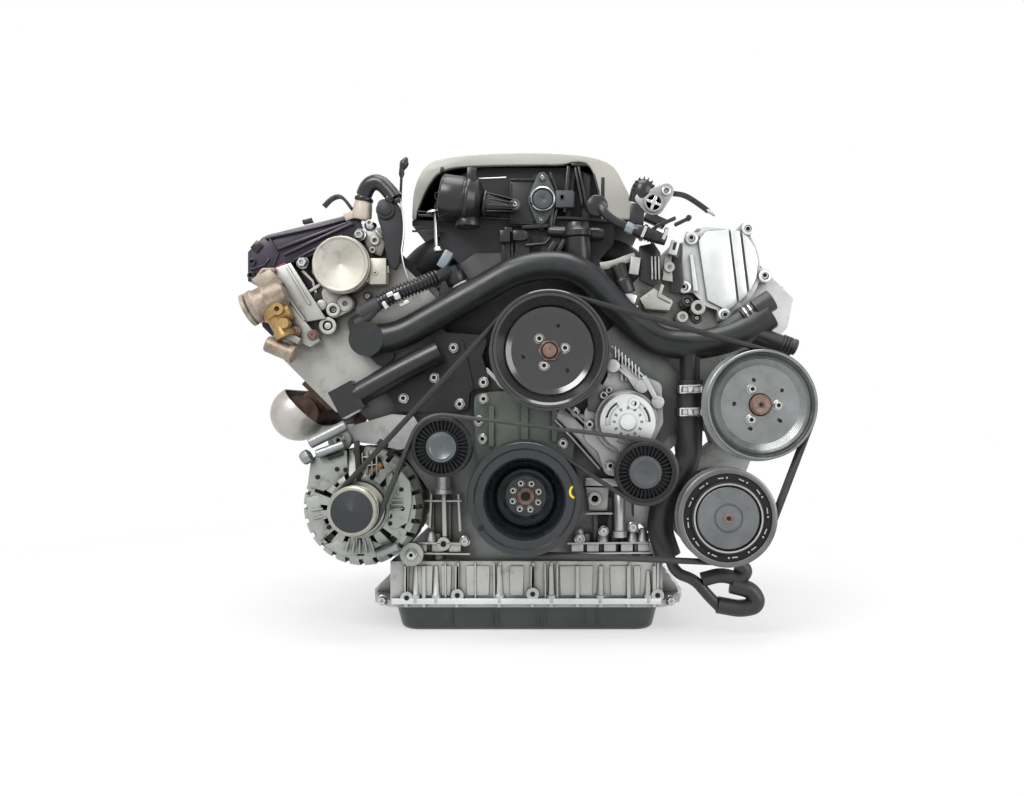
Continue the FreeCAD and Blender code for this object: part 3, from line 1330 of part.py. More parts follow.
def make_crank_bolts():
    ring = S["damper_circle"] / 2
    spots = [(ring * cosine(20 + 45 * i), ring * sine(20 + 45 * i)) for i in range(8)]
    bolts("CrankBolts", "crank_pulley_bolts", spots, S["belt_plane"] + 26, 20, 3, 4.9, 6, 0)


def make_steering_pump():
    """Pump body held by the side bracket, its shaft with the pulley flange, and the pulley's bolts."""
    x, z = S["steering_x"], S["steering_z"]
    front = S["belt_plane"] + 25
    shaft = new_body("SteeringShaft")
    profile = sketch(shaft, "SteeringShaftProfile", "XY", [[
        (Size(0), Size(-6)), (Size(9), Size(-6)), (Size(11.6), Size(-5)), (Size(11.6), Size(14.3)),
        (Size(28), Size(14.3)), (Size(28), Size(20)), (Size(9), Size(21)), (Size(9), Size(40)), (Size(0), Size(40)),
    ]])
    revolve(shaft, profile)
    spot = Circle(S["steering_bolt_circle"] / 2 * cosine(-2), S["steering_bolt_circle"] / 2 * sine(-2), Size(3.1))
    thread = pocket(shaft, sketch(shaft, "SteeringThread", "XZ", [spot], Size(10)), Size(14), "SteeringThreadCut")
    ring_of(shaft, thread, 3, "SteeringThreads")
    place(shaft, x, S["belt_plane"], z)
    node(shaft, "steering_shaft")
    ring = S["steering_bolt_circle"] / 2
    spots = [(x + ring * cosine(120 * i - 2), z + ring * sine(120 * i - 2)) for i in range(3)]
    bolts("SteeringBolts", "steering_pulley_bolts", spots, S["belt_plane"] - 2, 21)
    body = new_body("SteeringPump")
    length = S["steering_length"]
    profile = sketch(body, "SteeringPumpProfile", "XY", [[
        (Size(9.05), Size(0)), (Size(22), Size(0)), (Size(24), Size(10)), (S["steering_radius"] - 3, Size(13)),
        (S["steering_radius"], Size(16)), (S["steering_radius"], length), (S["steering_radius"] - 12, length + 9),
        (Size(0), length + 9), (Size(0), Size(16)), (Size(9.05), Size(16)),
    ]])
    revolve(body, profile)
    place(body, x, front, z)
    port = cylinder("SteeringPort", Size(9), Size(28), x - 24, front + 30, z + 26, "Z")
    node(fuse("SteeringPumpCast", [body, port]), "steering_pump")


def make_compressor():
    """Compressor body with its nose inside the pulley, held by the side bracket."""
    x, z = S["compressor_x"], S["compressor_z"]
    front = S["belt_plane"] + 6
    body = new_body("Compressor")
    radius, length = S["compressor_radius"], S["compressor_length"]
    shoulder = S["compressor_shoulder"] - front
    profile = sketch(body, "CompressorProfile", "XY", [[
        (Size(0), Size(0)), (Size(24), Size(0)), (Size(27), Size(2)), (Size(27), Size(16)), (Size(34), Size(18)),
        (Size(34), shoulder), (radius - 4, shoulder), (radius, shoulder + 4), (radius, shoulder + 46),
        (radius + 3, shoulder + 47), (radius + 3, shoulder + 56), (radius, shoulder + 57),
        (radius, shoulder + length - 8), (radius - 10, shoulder + length), (Size(0), shoulder + length),
    ]])
    revolve(body, profile)
    place(body, x, front, z)
    ports = [cylinder("CompressorPort", Size(11), Size(18), x - 16 + 34 * i, S["compressor_shoulder"] + 84, z + radius - 6,
                      "Z") for i in range(2)]
    node(fuse("CompressorCast", [body] + ports), "compressor_body")


def make_side_bracket():
    """Bracket on the right of the block that carries the steering pump and the compressor."""
    depth = Size(38)
    front = S["compressor_shoulder"] + 8
    outline = [
        bank_point(deck_height - 24, S["deck_outer"], 1), (Size(226), Size(90)), (Size(262), Size(94)),
        (Size(268), Size(40)),
        (Size(246), Size(-16)), (Size(150), Size(-52)), (S["skirt_width"] + 14, Size(-30)), (S["skirt_width"] + 14, 20),
        bank_point(deck_height - 100, S["deck_outer"], 1),
    ]
    body = new_body("SideBracket")
    pad(body, sketch(body, "SideBracketOutline", "XZ", [outline[::-1]], front), depth, "SideBracketPad")
    gap = S["seat_gap"]
    hollow = [[(190, 72), (214, 86), (222, 60), (200, 42)], [(156, 36), (180, 60), (184, 30), (162, 8)]]
    pocket(body, sketch(body, "SideBracketHollow", "XZ", [loop[::-1] for loop in hollow], front), depth, "BracketWindow")
    seat = cylinder("CompressorSeat", S["compressor_radius"] + gap, depth + 2, S["compressor_x"], front - 1,
                    S["compressor_z"])
    reach = Size(32)
    cradle = cylinder("PumpCradle", S["steering_radius"] + 8, reach, S["steering_x"], front - reach, S["steering_z"])
    half = block_of("CradleTop", Size(120), reach + 2, Size(70), S["steering_x"], front - reach - 1,
                    S["steering_z"] - 6)
    lower = cut("CradleHalf", cradle, [half])
    bore = cylinder("PumpSeat", S["steering_radius"] + gap, depth + reach + 2, S["steering_x"],
                    front - reach - 1, S["steering_z"])
    node(cut("SideBracketCast", fuse("SideBracketSolid", [body, lower]), [seat, bore]), "side_bracket")


def make_alternator():
    """Two slotted end frames, the stator between them, and the rotor that carries the pulley."""
    x, z = S["alternator_x"], S["alternator_z"]
    radius = S["alternator_radius"]
    front = S["belt_plane"] + 20.5

    def end_frame(name, label, y, flip):
        body = new_body(name)
        depth = [0, 0, 10, 22, 41, 41, 24, 12, 4, 4]
        reach = [Size(9.2), Size(30), radius - 6, radius, radius, radius - 5, radius - 5, radius - 9, Size(30), Size(9.2)]
        points = [(r, Size(d)) for r, d in zip(reach, depth)]
        points[-1] = (Size(9.2), Size(8))
        points[-2] = (Size(28), Size(8))
        if flip:
            points = [(r, 41 - d) for r, d in points]
        revolve(body, sketch(body, name + "Profile", "XY", [points]))
        slot = [(32, -2.4), (56, -4.2), (56, 4.2), (32, 2.4)]
        slot_cut = pocket(body, sketch(body, name + "Slot", "XZ", [slot], Size(-2)), Size(60), name + "SlotCut")
        ring_of(body, slot_cut, 16, name + "Slots")
        side_slot = [(radius - 9, Size(-2.6)), (radius + 2, Size(-2.6)), (radius + 2, Size(2.6)), (radius - 9, Size(2.6))]
        level, depth_cut = (Size(9), Size(26)) if not flip else (Size(6), Size(26))
        side_cut = pocket(body, sketch(body, name + "Side", "XZ", [side_slot], level), depth_cut, name + "SideCut")
        ring_of(body, side_cut, 24, name + "Sides")
        place(body, x, y, z)
        return body

    front_frame = end_frame("FrontFrame", "front", front, False)
    ears = []
    for ear_x, ear_z in ALTERNATOR_EARS:
        ears.append(cylinder("AlternatorEar", Size(13.5), Size(10), ear_x, front + 20, ear_z))
    holes = [cylinder("EarHole", Size(4.3), Size(30), ex, front + 15, ez) for ex, ez in ALTERNATOR_EARS]
    node(cut("FrontFrameCast", fuse("FrontFrameSolid", [front_frame] + ears), holes), "alternator_front_frame")
    rear_y = front + 41 + S["stator_length"]
    node(end_frame("RearFrame", "rear", rear_y, True), "alternator_rear_frame")
    stator = new_body("Stator")
    rings = [Circle(0, 0, radius - 1.5), Circle(0, 0, Size(48))]
    pad(stator, sketch(stator, "StatorSketch", "XZ", [rings[0], rings[1]], Size(0)), S["stator_length"], "Laminations")
    winding = [Circle(0, 0, radius - 11), Circle(0, 0, Size(49))]
    pad(stator, sketch(stator, "WindingSketch", "XZ", winding, Size(-16)), S["stator_length"] + 32, "Windings")
    place(stator, x, front + 41, z)
    node(stator, "alternator_stator")
    rotor = new_body("Rotor")
    start = S["belt_plane"] - 16
    profile = sketch(rotor, "RotorProfile", "XY", [[
        (Size(0), start - front), (Size(8.6), start - front), (Size(8.6), Size(10)), (Size(12), Size(10)),
        (Size(12), Size(24)), (Size(47.4), Size(30)), (Size(47.4), 50 + S["stator_length"]),
        (Size(12), 56 + S["stator_length"]), (Size(8.6), 58 + S["stator_length"]), (Size(8.6), 76 + S["stator_length"]),
        (Size(0), 76 + S["stator_length"]),
    ]])
    revolve(rotor, profile)
    claw = [(30, -5), (49, -2), (49, 2), (30, 5)]
    claw_cut = pocket(rotor, sketch(rotor, "ClawSketch", "XZ", [claw], Size(20)), Size(80), "ClawGap")
    ring_of(rotor, claw_cut, 12, "ClawGaps")
    place(rotor, x, front, z)
    node(rotor, "alternator_rotor")


ALTERNATOR_EARS = [(-217, 64), (-133, -69)]


def make_alternator_bracket():
    """Arm from the block face to the upper ear of the alternator."""
    front = S["belt_plane"] + 50.5
    outline = rounded([
        (-230, 56), (-214, 57), (-196, 61), (-172, 58), (-148, 52), (-118, 66), (-132, 92), (-158, 94), (-206, 80),
        (-228, 72),
    ], 6)
    body = plate("AlternatorBracket", front, block_front - front, outline, [ALTERNATOR_EARS[0]], 4.3)
    return node(body, "alternator_bracket")


# Pipes and hoses

def make_coolant_pipe():
    """Main coolant pipe over the water pump, from the left head across to the right, with its outlets."""
    y = S["coolant_plane"]
    radius = S["coolant_radius"]
    main = [(-184, y, 181), (-147, y, 186), (-100, y, 213), (-54, y, 238.5), (-19, y, 259), (10, y, 267),
            (42, y, 268), (74, y, 256), (98, y, 227), (127, y, 198), (156, y, 177), (203, y, 174), (249, y, 186),
            (284, y, 210)]
    pieces = [shaped("CoolantMain", tube(main, radius))]
    pieces.append(cylinder("CoolantElbow", radius + 3, Size(34), -184, y - radius, 181))
    flange = new_body("CoolantFlange")
    outline = rounded([(-212, 206), (-196, 214), (-158, 176), (-156, 160), (-172, 148), (-208, 186)], 8)
    head_face = S["head_front"]
    pad(flange, sketch(flange, "FlangeOutline", "XZ", [outline], head_face - 8), Size(8), "FlangePlate")
    pieces.append(flange)
    stub = [(226, y, 188), (262, y, 186), (309, y, 171)]
    pieces.append(shaped("CoolantStub", tube(stub, Size(11))))
    pieces.append(cylinder("CoolantBranch", Size(12), Size(40), 191, y, 134, "Z"))
    pieces.append(cylinder("CoolantLug", Size(9), S["head_front"] + S["bank_offset"] - y, 162, y, 176))
    return node(fuse("CoolantPipe", pieces, refine=False), "coolant_pipe")


def make_duct():
    """Straight pipe low on the left, with the square plug housing at its end."""
    y = block_front - 14 - S["duct_radius"] - S["seat_gap"]
    rod = shaped("DuctRun", tube([(-196, y, 116), (-146, y, 144), (-100, y, 167)], S["duct_radius"]))
    plug = doc.addObject("Part::Box", "DuctPlug")
    for name, value in (("Length", 30), ("Width", 26), ("Height", 34)):
        bind(plug, name, Size(value))
    place(plug, -211, y - 13, 88.8, V(0, 1, 0), -28)
    return node(fuse("HeaterPipe", [rod, plug]), "heater_pipe")


def make_hoses():
    y = S["coolant_plane"]
    hose = [(191, y, 133.7), (191, y, 84), (190, y, 44), (176, y, 16), (160, y, -8), (155, y, -40), (166, y, -72)]
    low = y - 7
    thin = [(165, y, -66), (173, low, -90), (196, low, -98), (211, low, -116), (226, low, -131)]
    loop = [(222, low, -127), (250, low, -132), (270, low, -127), (262, low, -110), (238, low, -104)]
    short = [(204, low, -98), (226, low, -92), (246, low, -97), (257, low, -88), (246, low, -80)]
    whole = tube(hose, S["hose_radius"])
    for points, radius in ((thin, 6.5), (loop, 10), (short, 8.5)):
        whole = whole.fuse(tube(points, radius))
    node(shaped("BranchHose", whole.removeSplitter()), "coolant_hose")
    clamps = []
    for z in (118, 92):
        outer = Part.makeCylinder(float(S["hose_radius"]) + 2.3, 9, V(191, float(y), z), Z_WAY)
        inner = Part.makeCylinder(float(S["hose_radius"]) + 0.3, 9, V(191, float(y), z), Z_WAY)
        ears = Part.makeBox(22, 6, 8, V(180, float(y) - float(S["hose_radius"]) - 7, z + 0.5))
        clamps.append(outer.fuse(ears).cut(inner).removeSplitter())
    node(shaped("HoseClamps", Part.makeCompound(clamps)), "hose_clamps")


# Intake

def make_manifold():
    """Plenum between the banks with three runners to each head and the flanges that seal on them."""
    length = Size(262)
    y0 = block_front + 20
    body = new_body("Plenum")
    width, low, high = S["manifold_width"], S["manifold_bottom"], S["manifold_top"]
    outline = rounded([(-70, float(low)), (70, float(low)), (float(width), 300), (float(width), float(high)),
                       (-float(width), float(high)), (-float(width), 300)], 14)
    pad(body, sketch(body, "PlenumOutline", "XZ", [outline], y0), length, "PlenumPad")
    pieces = [body]
    upper = new_body("UpperPlenum")
    crown = rounded([(118, 324), (101, 378), (54, 394), (-56, 394), (-103, 378), (-122, 324)], 30)
    pad(upper, sketch(upper, "UpperOutline", "XZ", [crown], y0 + 10), Size(244), "UpperPad")
    pieces.append(upper)
    face = new_body("FlapPlate")
    plate_outline = rounded([(-22, 320), (8, 320), (17, 314), (26, 320), (34, 343), (56, 343), (56, 361), (34, 361),
                             (27, 382), (9, 382), (6, 375), (-22, 375)], 4)
    pad(face, sketch(face, "FlapPlateOutline", "XZ", [plate_outline], y0 - 6), Size(17), "FlapPlatePad")
    cap = sketch(face, "FlapCap", "XZ", [Circle(19, 351, 15.4)], y0 - 12)
    pad(face, cap, Size(7), "FlapCapPad")
    pieces.append(face)
    posts = [[(46, 330), (52, 330), (58, 386), (50, 386)], [(66, 330), (74, 330), (76, 380), (68, 386)]]
    pad(face, sketch(face, "PostSketch", "XZ", posts, y0 - 2), Size(14), "Posts")
    socket = new_body("ManifoldSockets")
    boxes = [[(-31, 271), (-20, 271), (-20, 312), (-31, 312)], [(-14, 276), (3, 276), (3, 310), (-14, 310)],
             [(16, 288), (40, 288), (44, 306), (20, 306)], [(50, 276), (70, 276), (72, 322), (52, 322)]]
    pad(socket, sketch(socket, "SocketSketch", "XZ", boxes, y0 - 10), Size(16), "Sockets")
    socket.AllowCompound = True
    pieces.append(socket)
    ledge = S["cover_ledge"]
    pieces.append(block_of("CoverLedge", ledge * 2, length, S["ledge_height"], 0, y0, high - 8))
    for side in SIDES.values():
        face = -S["head_inner"] * side
        start = bore_ys[0] + bank_y(side) - 26
        flange = block_of("PortFlange", Size(8), S["bore_pitch"] * 2 + 52, Size(48), face - 4 * side, start,
                          S["port_height"] - 24)
        tilted = fuse("PortFlangeTilted", [flange, block_of("PortFlangeRib", Size(6), S["bore_pitch"] * 2 + 52, Size(8),
                                                            face - 8 * side, start, S["port_height"] - 4)])
        pieces.append(on_bank(tilted, side))
        for y in bore_ys:
            x, z = bank_point(S["port_height"], -S["head_inner"] - 2, side)
            nx, nz = bank_point(S["port_height"], -S["head_inner"] - 34, side)
            level = y + bank_y(side)
            points = [(x, level, z), (nx, level, nz), (float(width) * 0.72 * side, level, 300)]
            pieces.append(shaped("Runner", tube(points, S["runner_radius"])))
    return node(fuse("IntakeManifold", pieces), "intake_manifold")


def make_engine_cover():
    """Arched cover over the manifold, open at the front."""
    sheet_size = float(S["engine_cover_sheet"])
    low = float(S["manifold_top"]) - 8 + float(S["ledge_height"]) + float(S["seat_gap"])

    def arch(inset):
        below = low - 80
        return rounded([
            (158 - inset, below), (137 - inset, low), (112 - inset, 392 - inset * 0.6), (56 - inset, 407 - inset),
            (0, 409 - inset), (-58 + inset, 407 - inset), (-114 + inset, 392 - inset * 0.6), (-139 + inset, low),
            (-160 + inset, below),
        ], 60)

    outer, inner = arch(0), arch(sheet_size)
    body = new_body("EngineCover")
    pad(body, sketch(body, "ArchOutline", "XZ", [outer], block_front + 14), Size(288), "ArchPad")
    space = sketch(body, "ArchSpace", "XZ", [inner], block_front + 14)
    pocket(body, space, Size(282), "ArchHollow")
    foot = [(-170, low - 90), (170, low - 90), (170, low), (-170, low)]
    pocket(body, sketch(body, "ArchFoot", "XZ", [foot], block_front + 13), Size(290), "ArchTrim")
    return node(body, "engine_cover")


def make_actuator():
    """Vacuum can that moves the runner flaps, with its snout and the bracket that bolts it to the plenum."""
    y = block_front - 2
    can = doc.addObject("Part::Cylinder", "ActuatorCan")
    bind(can, "Radius", Size(26))
    bind(can, "Height", Size(27))
    place(can, -100, y, 352, V(0, 1, 0), 96)
    rim = doc.addObject("Part::Cylinder", "ActuatorRim")
    bind(rim, "Radius", Size(28))
    bind(rim, "Height", Size(5))
    place(rim, -76, y, 349.4, V(0, 1, 0), 96)
    dome = doc.addObject("Part::Cone", "ActuatorDome")
    bind(dome, "Radius1", Size(26))
    bind(dome, "Radius2", Size(15))
    bind(dome, "Height", Size(20))
    place(dome, -72, y, 349, V(0, 1, 0), 96)
    snout = doc.addObject("Part::Cone", "ActuatorSnout")
    bind(snout, "Radius1", Size(12))
    bind(snout, "Radius2", Size(7.5))
    bind(snout, "Height", Size(41))
    place(snout, -54, y, 342, V(0, 1, 0), 98)
    foot = block_of("ActuatorFoot", Size(30), Size(22), Size(34), -84, y, 298)
    return node(fuse("RunnerActuator", [can, rim, dome, snout, foot]), "runner_actuator")


def make_air_valve():
    """Air valve below the front of the left head: an iron can, its brass fitting and the flange that holds both."""
    y = S["head_front"] - 21
    can = shaped("ValveCan", tube([(-318, y, 222), (-303, y, 230), (-284, y, 238)], 20))
    neck = shaped("ValveNeck", tube([(-300, y, 226), (-288, y, 204), (-276, y, 178)], 13))
    outlet = shaped("ValveOutlet", tube([(-300, y, 176), (-282, y, 166), (-262, y, 160)], 9))
    flange = new_body("ValveFlange")
    outline = rounded([(-296, 262), (-262, 228), (-240, 196), (-254, 180), (-278, 196), (-312, 244)], 8)
    pad(flange, sketch(flange, "ValveFlangeOutline", "XZ", [outline], S["head_front"] - 14), Size(14), "ValveFlangePad")
    return node(fuse("AirValve", [can, neck, outlet, flange]), "air_valve")


def make_breather():
    """Breather valve beside the cover: cap, bracket plate, ribbed hose to the intake and the arms of its clip."""
    y = S["head_front"] - 14
    cap = shaped("BreatherCap", tube([(131, y + 4, 338), (139, y - 1, 367)], 13))
    body = new_body("BreatherPlate")
    outline = rounded([(124, 338), (138, 325), (156, 326), (172, 350), (163, 361), (150, 356), (128, 350)], 2)
    pad(body, sketch(body, "BreatherPlateOutline", "XZ", [outline], y - 10), Size(5), "BreatherPlatePad")
    arms = [[(140, 304), (150, 307), (192, 321), (190, 326), (158, 316), (138, 312)]]
    pad(body, sketch(body, "BreatherArms", "XZ", arms, y - 10), Size(12), "BreatherArmPads")
    body.AllowCompound = True
    block = block_of("BreatherBlock", Size(16), Size(42.5), Size(12), 129, y - 8.5, 315)
    upper = block_of("BreatherStem", Size(16), Size(26), Size(18), 129, y - 8.5, 322)
    boss = cylinder("BreatherBoss", Size(12.5), Size(40), 81, y - 8, 336)
    hose = shaped("BreatherHose", tube([(83, y + 20, 336), (84, y - 4, 335), (99, y - 8, 318), (160, y - 8, 295)], 6))
    sleeve = shaped("BreatherSleeve", tube([(122, y - 8, 309), (164, y - 8, 293.5)], 9))
    return node(fuse("BreatherValve", [cap, body, block, upper, boss, hose, sleeve]), "breather_valve")


def make_harness():
    """Bracket on the left head with the conduit, the sensor and the vent elbow that it holds."""
    y = S["head_front"] - 18
    holder = new_body("HarnessBracket")
    outline = rounded([(-158, 238), (-147, 238), (-143, 298), (-143, 324), (-150, 341), (-161, 345), (-172, 343),
                       (-173, 328), (-164, 302), (-158, 280)], 2)
    pad(holder, sketch(holder, "HarnessOutline", "XZ", [outline], y), Size(13), "HarnessPad")
    foot = block_of("HarnessFoot", Size(8), Size(14), Size(9), -153, y + 4, 251)
    conduit = [(-188, y - 4, 214), (-152, y - 4, 233), (-122, y - 4, 245), (-104, y + 2, 254), (-92, y + 22, 262)]
    elbow = [(-193, y + 6, 330), (-190, y + 4, 351), (-181, y + 4, 366), (-164, y + 3, 361), (-156, y + 4, 342)]
    pieces = [holder, foot, shaped("Conduit", tube(conduit, 8.5)), shaped("VentElbow", tube(elbow, 9.5)),
              shaped("Sensor", tube([(-96, y + 25, 277), (-82, y + 25, 249)], 11.5))]
    return node(fuse("Harness", pieces), "harness_bracket")


# Exhaust and head ends

def make_exhaust(name, side):
    """Exhaust log with three stubs, a flange on each port and the outlet at the rear."""
    start = bore_ys[0] + bank_y(side) - 24
    log_x = S["exhaust_reach"] * side
    height = S["exhaust_height"]
    length = S["bore_pitch"] * 2 + 70
    pieces = [cylinder("ExhaustLog", S["exhaust_radius"], length, log_x, start, height)]
    gap = S["exhaust_reach"] - S["head_outer"]
    face = S["head_outer"] if side > 0 else -S["exhaust_reach"]
    for y in bore_ys:
        level = y + bank_y(side)
        pieces.append(cylinder("ExhaustStub", Size(17), gap, face, level, height, "X"))
        flange_x = (S["head_outer"] + 4) * side
        pieces.append(block_of("ExhaustFlange", Size(8), Size(64), Size(44), flange_x, level - 32, height - 22))
    post = S["exhaust_radius"] + 9.1
    for y in (bore_ys[0], bore_ys[1]):
        post_x = log_x - (post if side < 0 else 0)
        pieces.append(cylinder("ShieldPost", Size(5), post, post_x, y + bank_y(side) + 30, height, "X"))
    outlet = cylinder("OutletFlange", Size(35), Size(8), log_x, start + length - 8, height)
    bore = cylinder("OutletBore", Size(18), Size(60), log_x, start + length - 50, height)
    log = cut(name.title() + "Exhaust", fuse("ExhaustSolid", pieces + [outlet]), [bore])
    EXHAUSTS.append(on_bank(log, side))


def make_heat_shield():
    """Pressed shield round the left exhaust log, with a domed front."""
    height, reach = S["exhaust_height"], -S["exhaust_reach"]
    start = bore_ys[0] - 30
    radius = S["exhaust_radius"] + 11
    layers = []
    for size in (radius, radius - 1.6):
        barrel = cylinder("ShieldBarrel", size, Size(190), reach, start, height)
        dome = doc.addObject("Part::Sphere", "ShieldDome")
        bind(dome, "Radius", size)
        place(dome, reach, start, height)
        layers.append(fuse("ShieldLayer", [barrel, dome]))
    clear = block_of("ShieldOpening", Size(70), Size(300), Size(140), reach + 35 + 10, start - 60, height - 70)
    low = block_of("ShieldBack", Size(140), Size(60), Size(140), reach, start + 186, height - 70)
    shield = cut("HeatShield", cut("ShieldShell", layers[0], [layers[1]]), [clear, low])
    return node(on_bank(shield, -1), "heat_shield")


def make_vacuum_pump():
    front = S["head_front"]
    x, z = -213, 266
    disc = cylinder("VacuumDisc", S["vacuum_radius"], Size(30), x, front - 34, z)
    neck = cylinder("VacuumNeck", S["vacuum_radius"] - 6, Size(6), x, front - 6, z)
    rim = cylinder("VacuumRim", S["vacuum_radius"] - 5, Size(3), x, front - 37, z)
    box = block_of("VacuumBox", Size(28), Size(22), Size(30), -174, front - 28, 244)
    return node(fuse("VacuumPump", [disc, neck, rim, box]), "vacuum_pump")


CAM_PLATE_SPOTS = [(195, 303), (262, 313.5), (282, 258.5), (186, 245), (235, 212)]


def make_cam_plate():
    """Bright end housing over the camshaft drive of the right bank, with raised bars on its face."""
    back = S["head_front"] + S["bank_offset"]
    outline = [
        (Size(178), Size(243)), (Size(186), Size(238)), (Size(197), Size(239)), (Size(214), Size(222)), (Size(226), Size(218)),
        (Size(228), Size(205)), (Size(243), Size(206)), (Size(246), Size(217)), (Size(257), Size(223)),
        Arc(Size(276), Size(252), Size(60)), (Size(289), Size(252)), (Size(289), Size(265)), (Size(277), Size(268)),
        Arc(Size(266), Size(305), Size(60)), (Size(268), Size(319)), (Size(256), Size(321)), (Size(248), Size(313)),
        (Size(210), Size(317)), (Size(204), Size(310)), (Size(189), Size(311)), (Size(186), Size(299)),
        (Size(184), Size(262)),
    ]
    body = plate("CamPlate", back - 18, Size(18), outline, CAM_PLATE_SPOTS)
    bars = [[(x - 2.2, 232 + abs(x - 236) * 0.7), (x + 2.2, 232 + abs(x - 236) * 0.7), (x - 5.8, 306), (x - 10.2, 306)]
            for x in (216, 234, 252, 268)]
    pad(body, sketch(body, "CamPlateBars", "XZ", bars, back - 21), Size(4), "BarPads")
    node(body, "cam_end_plate")


# Build all

make_crank_pulley()
make_pump_pulley()
make_steering_pulley()
make_compressor_pulley()
make_compressor_hub()
make_alternator_pulley()
make_roller("Idler", "idler_roller", S["idler_x"], S["idler_z"])
make_roller(
    "TensionRoller", "tensioner_roller",
    S["pivot_x"] + S["arm_length"] * cosine(S["arm_angle"]),
    S["pivot_z"] + S["arm_length"] * sine(S["arm_angle"]),
)
make_belt()
make_block()
make_bedplate()
make_upper_pan()
make_tray()
make_crankshaft()
make_pistons()
make_front_cover()
make_left_cover()
make_chain_case()
node(roller_pin("IdlerPin", S["idler_x"], S["idler_z"], block_front, Size(13)), "idler_pin")
make_tensioner()
make_bracket()
make_water_pump()
make_crank_bolts()
make_steering_pump()
make_compressor()
make_side_bracket()
make_alternator()
make_alternator_bracket()
make_coolant_pipe()
make_duct()
make_hoses()
make_manifold()
make_engine_cover()
make_actuator()
make_air_valve()
make_breather()
make_harness()
make_heat_shield()
make_vacuum_pump()
make_cam_plate()
make_front_bolts()
for name, side in SIDES.items():
    make_head(name, side)
    make_cam_cover(name, side)
    make_exhaust(name, side)
    make_camshaft(f"{name}_inlet", side, -1)
    make_camshaft(f"{name}_exhaust", side, 1)

node(together("OilSeals", SEALS), "oil_seals")
node(together("ExhaustManifolds", EXHAUSTS), "exhaust_manifolds")

doc.recompute()
broken = [thing.Label for thing in doc.Objects if "Invalid" in thing.State or "Error" in thing.State]
for part in NODES:
    if part.Shape.isNull() or not part.Shape.isValid() or not part.Shape.Solids:
        broken.append(part.Label)
if broken:
    print("failed: " + ", ".join(broken))
os.makedirs("parts", exist_ok=True)
for part in NODES:
    part.Shape.exportStep(f"parts/{part.Label}.step")
print(len(NODES), "sub-parts written")
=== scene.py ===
"""Looks of a V-engine with its belt drive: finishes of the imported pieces, the mouldings, hoses and fastenings around
them, and the stage. Lengths are in millimetres until a mesh is made, and in metres from there on.
"""

import math

import bmesh
import bpy
from mathutils import Matrix, Vector
from mathutils.bvhtree import BVHTree
from mathutils.geometry import convex_hull_2d


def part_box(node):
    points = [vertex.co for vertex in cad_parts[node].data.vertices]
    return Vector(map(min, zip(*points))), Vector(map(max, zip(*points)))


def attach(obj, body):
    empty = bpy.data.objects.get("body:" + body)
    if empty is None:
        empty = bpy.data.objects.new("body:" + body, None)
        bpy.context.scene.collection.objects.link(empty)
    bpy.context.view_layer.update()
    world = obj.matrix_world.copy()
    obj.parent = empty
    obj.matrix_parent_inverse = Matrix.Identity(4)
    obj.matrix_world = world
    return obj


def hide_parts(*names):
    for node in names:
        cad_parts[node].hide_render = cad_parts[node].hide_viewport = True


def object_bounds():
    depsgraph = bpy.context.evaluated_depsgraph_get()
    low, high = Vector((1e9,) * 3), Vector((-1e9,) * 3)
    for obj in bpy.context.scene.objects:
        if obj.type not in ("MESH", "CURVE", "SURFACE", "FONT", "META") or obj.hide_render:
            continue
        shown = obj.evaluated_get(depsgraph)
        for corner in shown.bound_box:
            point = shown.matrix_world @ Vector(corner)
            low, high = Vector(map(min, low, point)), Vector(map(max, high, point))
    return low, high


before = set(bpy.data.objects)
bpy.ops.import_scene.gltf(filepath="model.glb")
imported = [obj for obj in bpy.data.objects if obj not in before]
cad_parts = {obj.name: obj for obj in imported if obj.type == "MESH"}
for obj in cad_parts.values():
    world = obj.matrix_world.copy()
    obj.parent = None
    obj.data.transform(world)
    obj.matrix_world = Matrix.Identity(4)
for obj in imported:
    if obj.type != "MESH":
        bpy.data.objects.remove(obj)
CAD_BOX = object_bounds()

bl_info = {
    "name": "V-engine with belt drive",
    "version": (1, 0, 0),
    "blender": (4, 5, 0),
    "location": "View3D > Sidebar > Engine",
    "description": "Finishes and fittings of a V-engine seen from its belt side",
    "category": "Object",
}

MM = 0.001
ENGINE = "engine"
BELT_PLANE = -430
AIM_X, AIM_Z = 33.6, 98.6  # where the camera looks


def mid(node):
    """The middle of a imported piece, in millimetres."""
    low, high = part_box(node)
    return (low + high) / 2 / MM


def front(node):
    """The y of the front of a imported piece, in millimetres."""
    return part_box(node)[0].y / MM


SKINS = {}


def skin(x, z, *nodes):
    """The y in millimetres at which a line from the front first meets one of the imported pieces, there or close by."""
    for node in nodes:
        if node not in SKINS:
            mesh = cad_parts[node].data
            SKINS[node] = BVHTree.FromPolygons([v.co for v in mesh.vertices], [p.vertices for p in mesh.polygons])
    for dx, dz in ((0, 0), (4, 0), (-4, 0), (0, 4), (0, -4)):
        start = Vector(((x + dx) * MM, -0.7, (z + dz) * MM))
        hits = [SKINS[node].ray_cast(start, Vector((0, 1, 0)))[0] for node in nodes]
        if any(hits):
            return min(hit.y for hit in hits if hit) / MM
    raise RuntimeError(f"nothing of {nodes} lies behind {x}, {z}")


def islands(node):
    """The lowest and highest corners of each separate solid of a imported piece, in millimetres."""
    bm = bmesh.new()
    bm.from_mesh(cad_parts[node].data)
    bmesh.ops.remove_doubles(bm, verts=bm.verts, dist=1e-6)
    left, found = set(bm.verts), []
    while left:
        stack = [left.pop()]
        group = list(stack)
        while stack:
            for edge in stack.pop().link_edges:
                for other in edge.verts:
                    if other in left:
                        left.remove(other)
                        stack.append(other)
                        group.append(other)
        corners = [[pick(v.co[axis] for v in group) / MM for axis in range(3)] for pick in (min, max)]
        found.append((Vector(corners[0]), Vector(corners[1])))
    bm.free()
    return sorted(found, key=lambda pair: tuple(pair[0]))


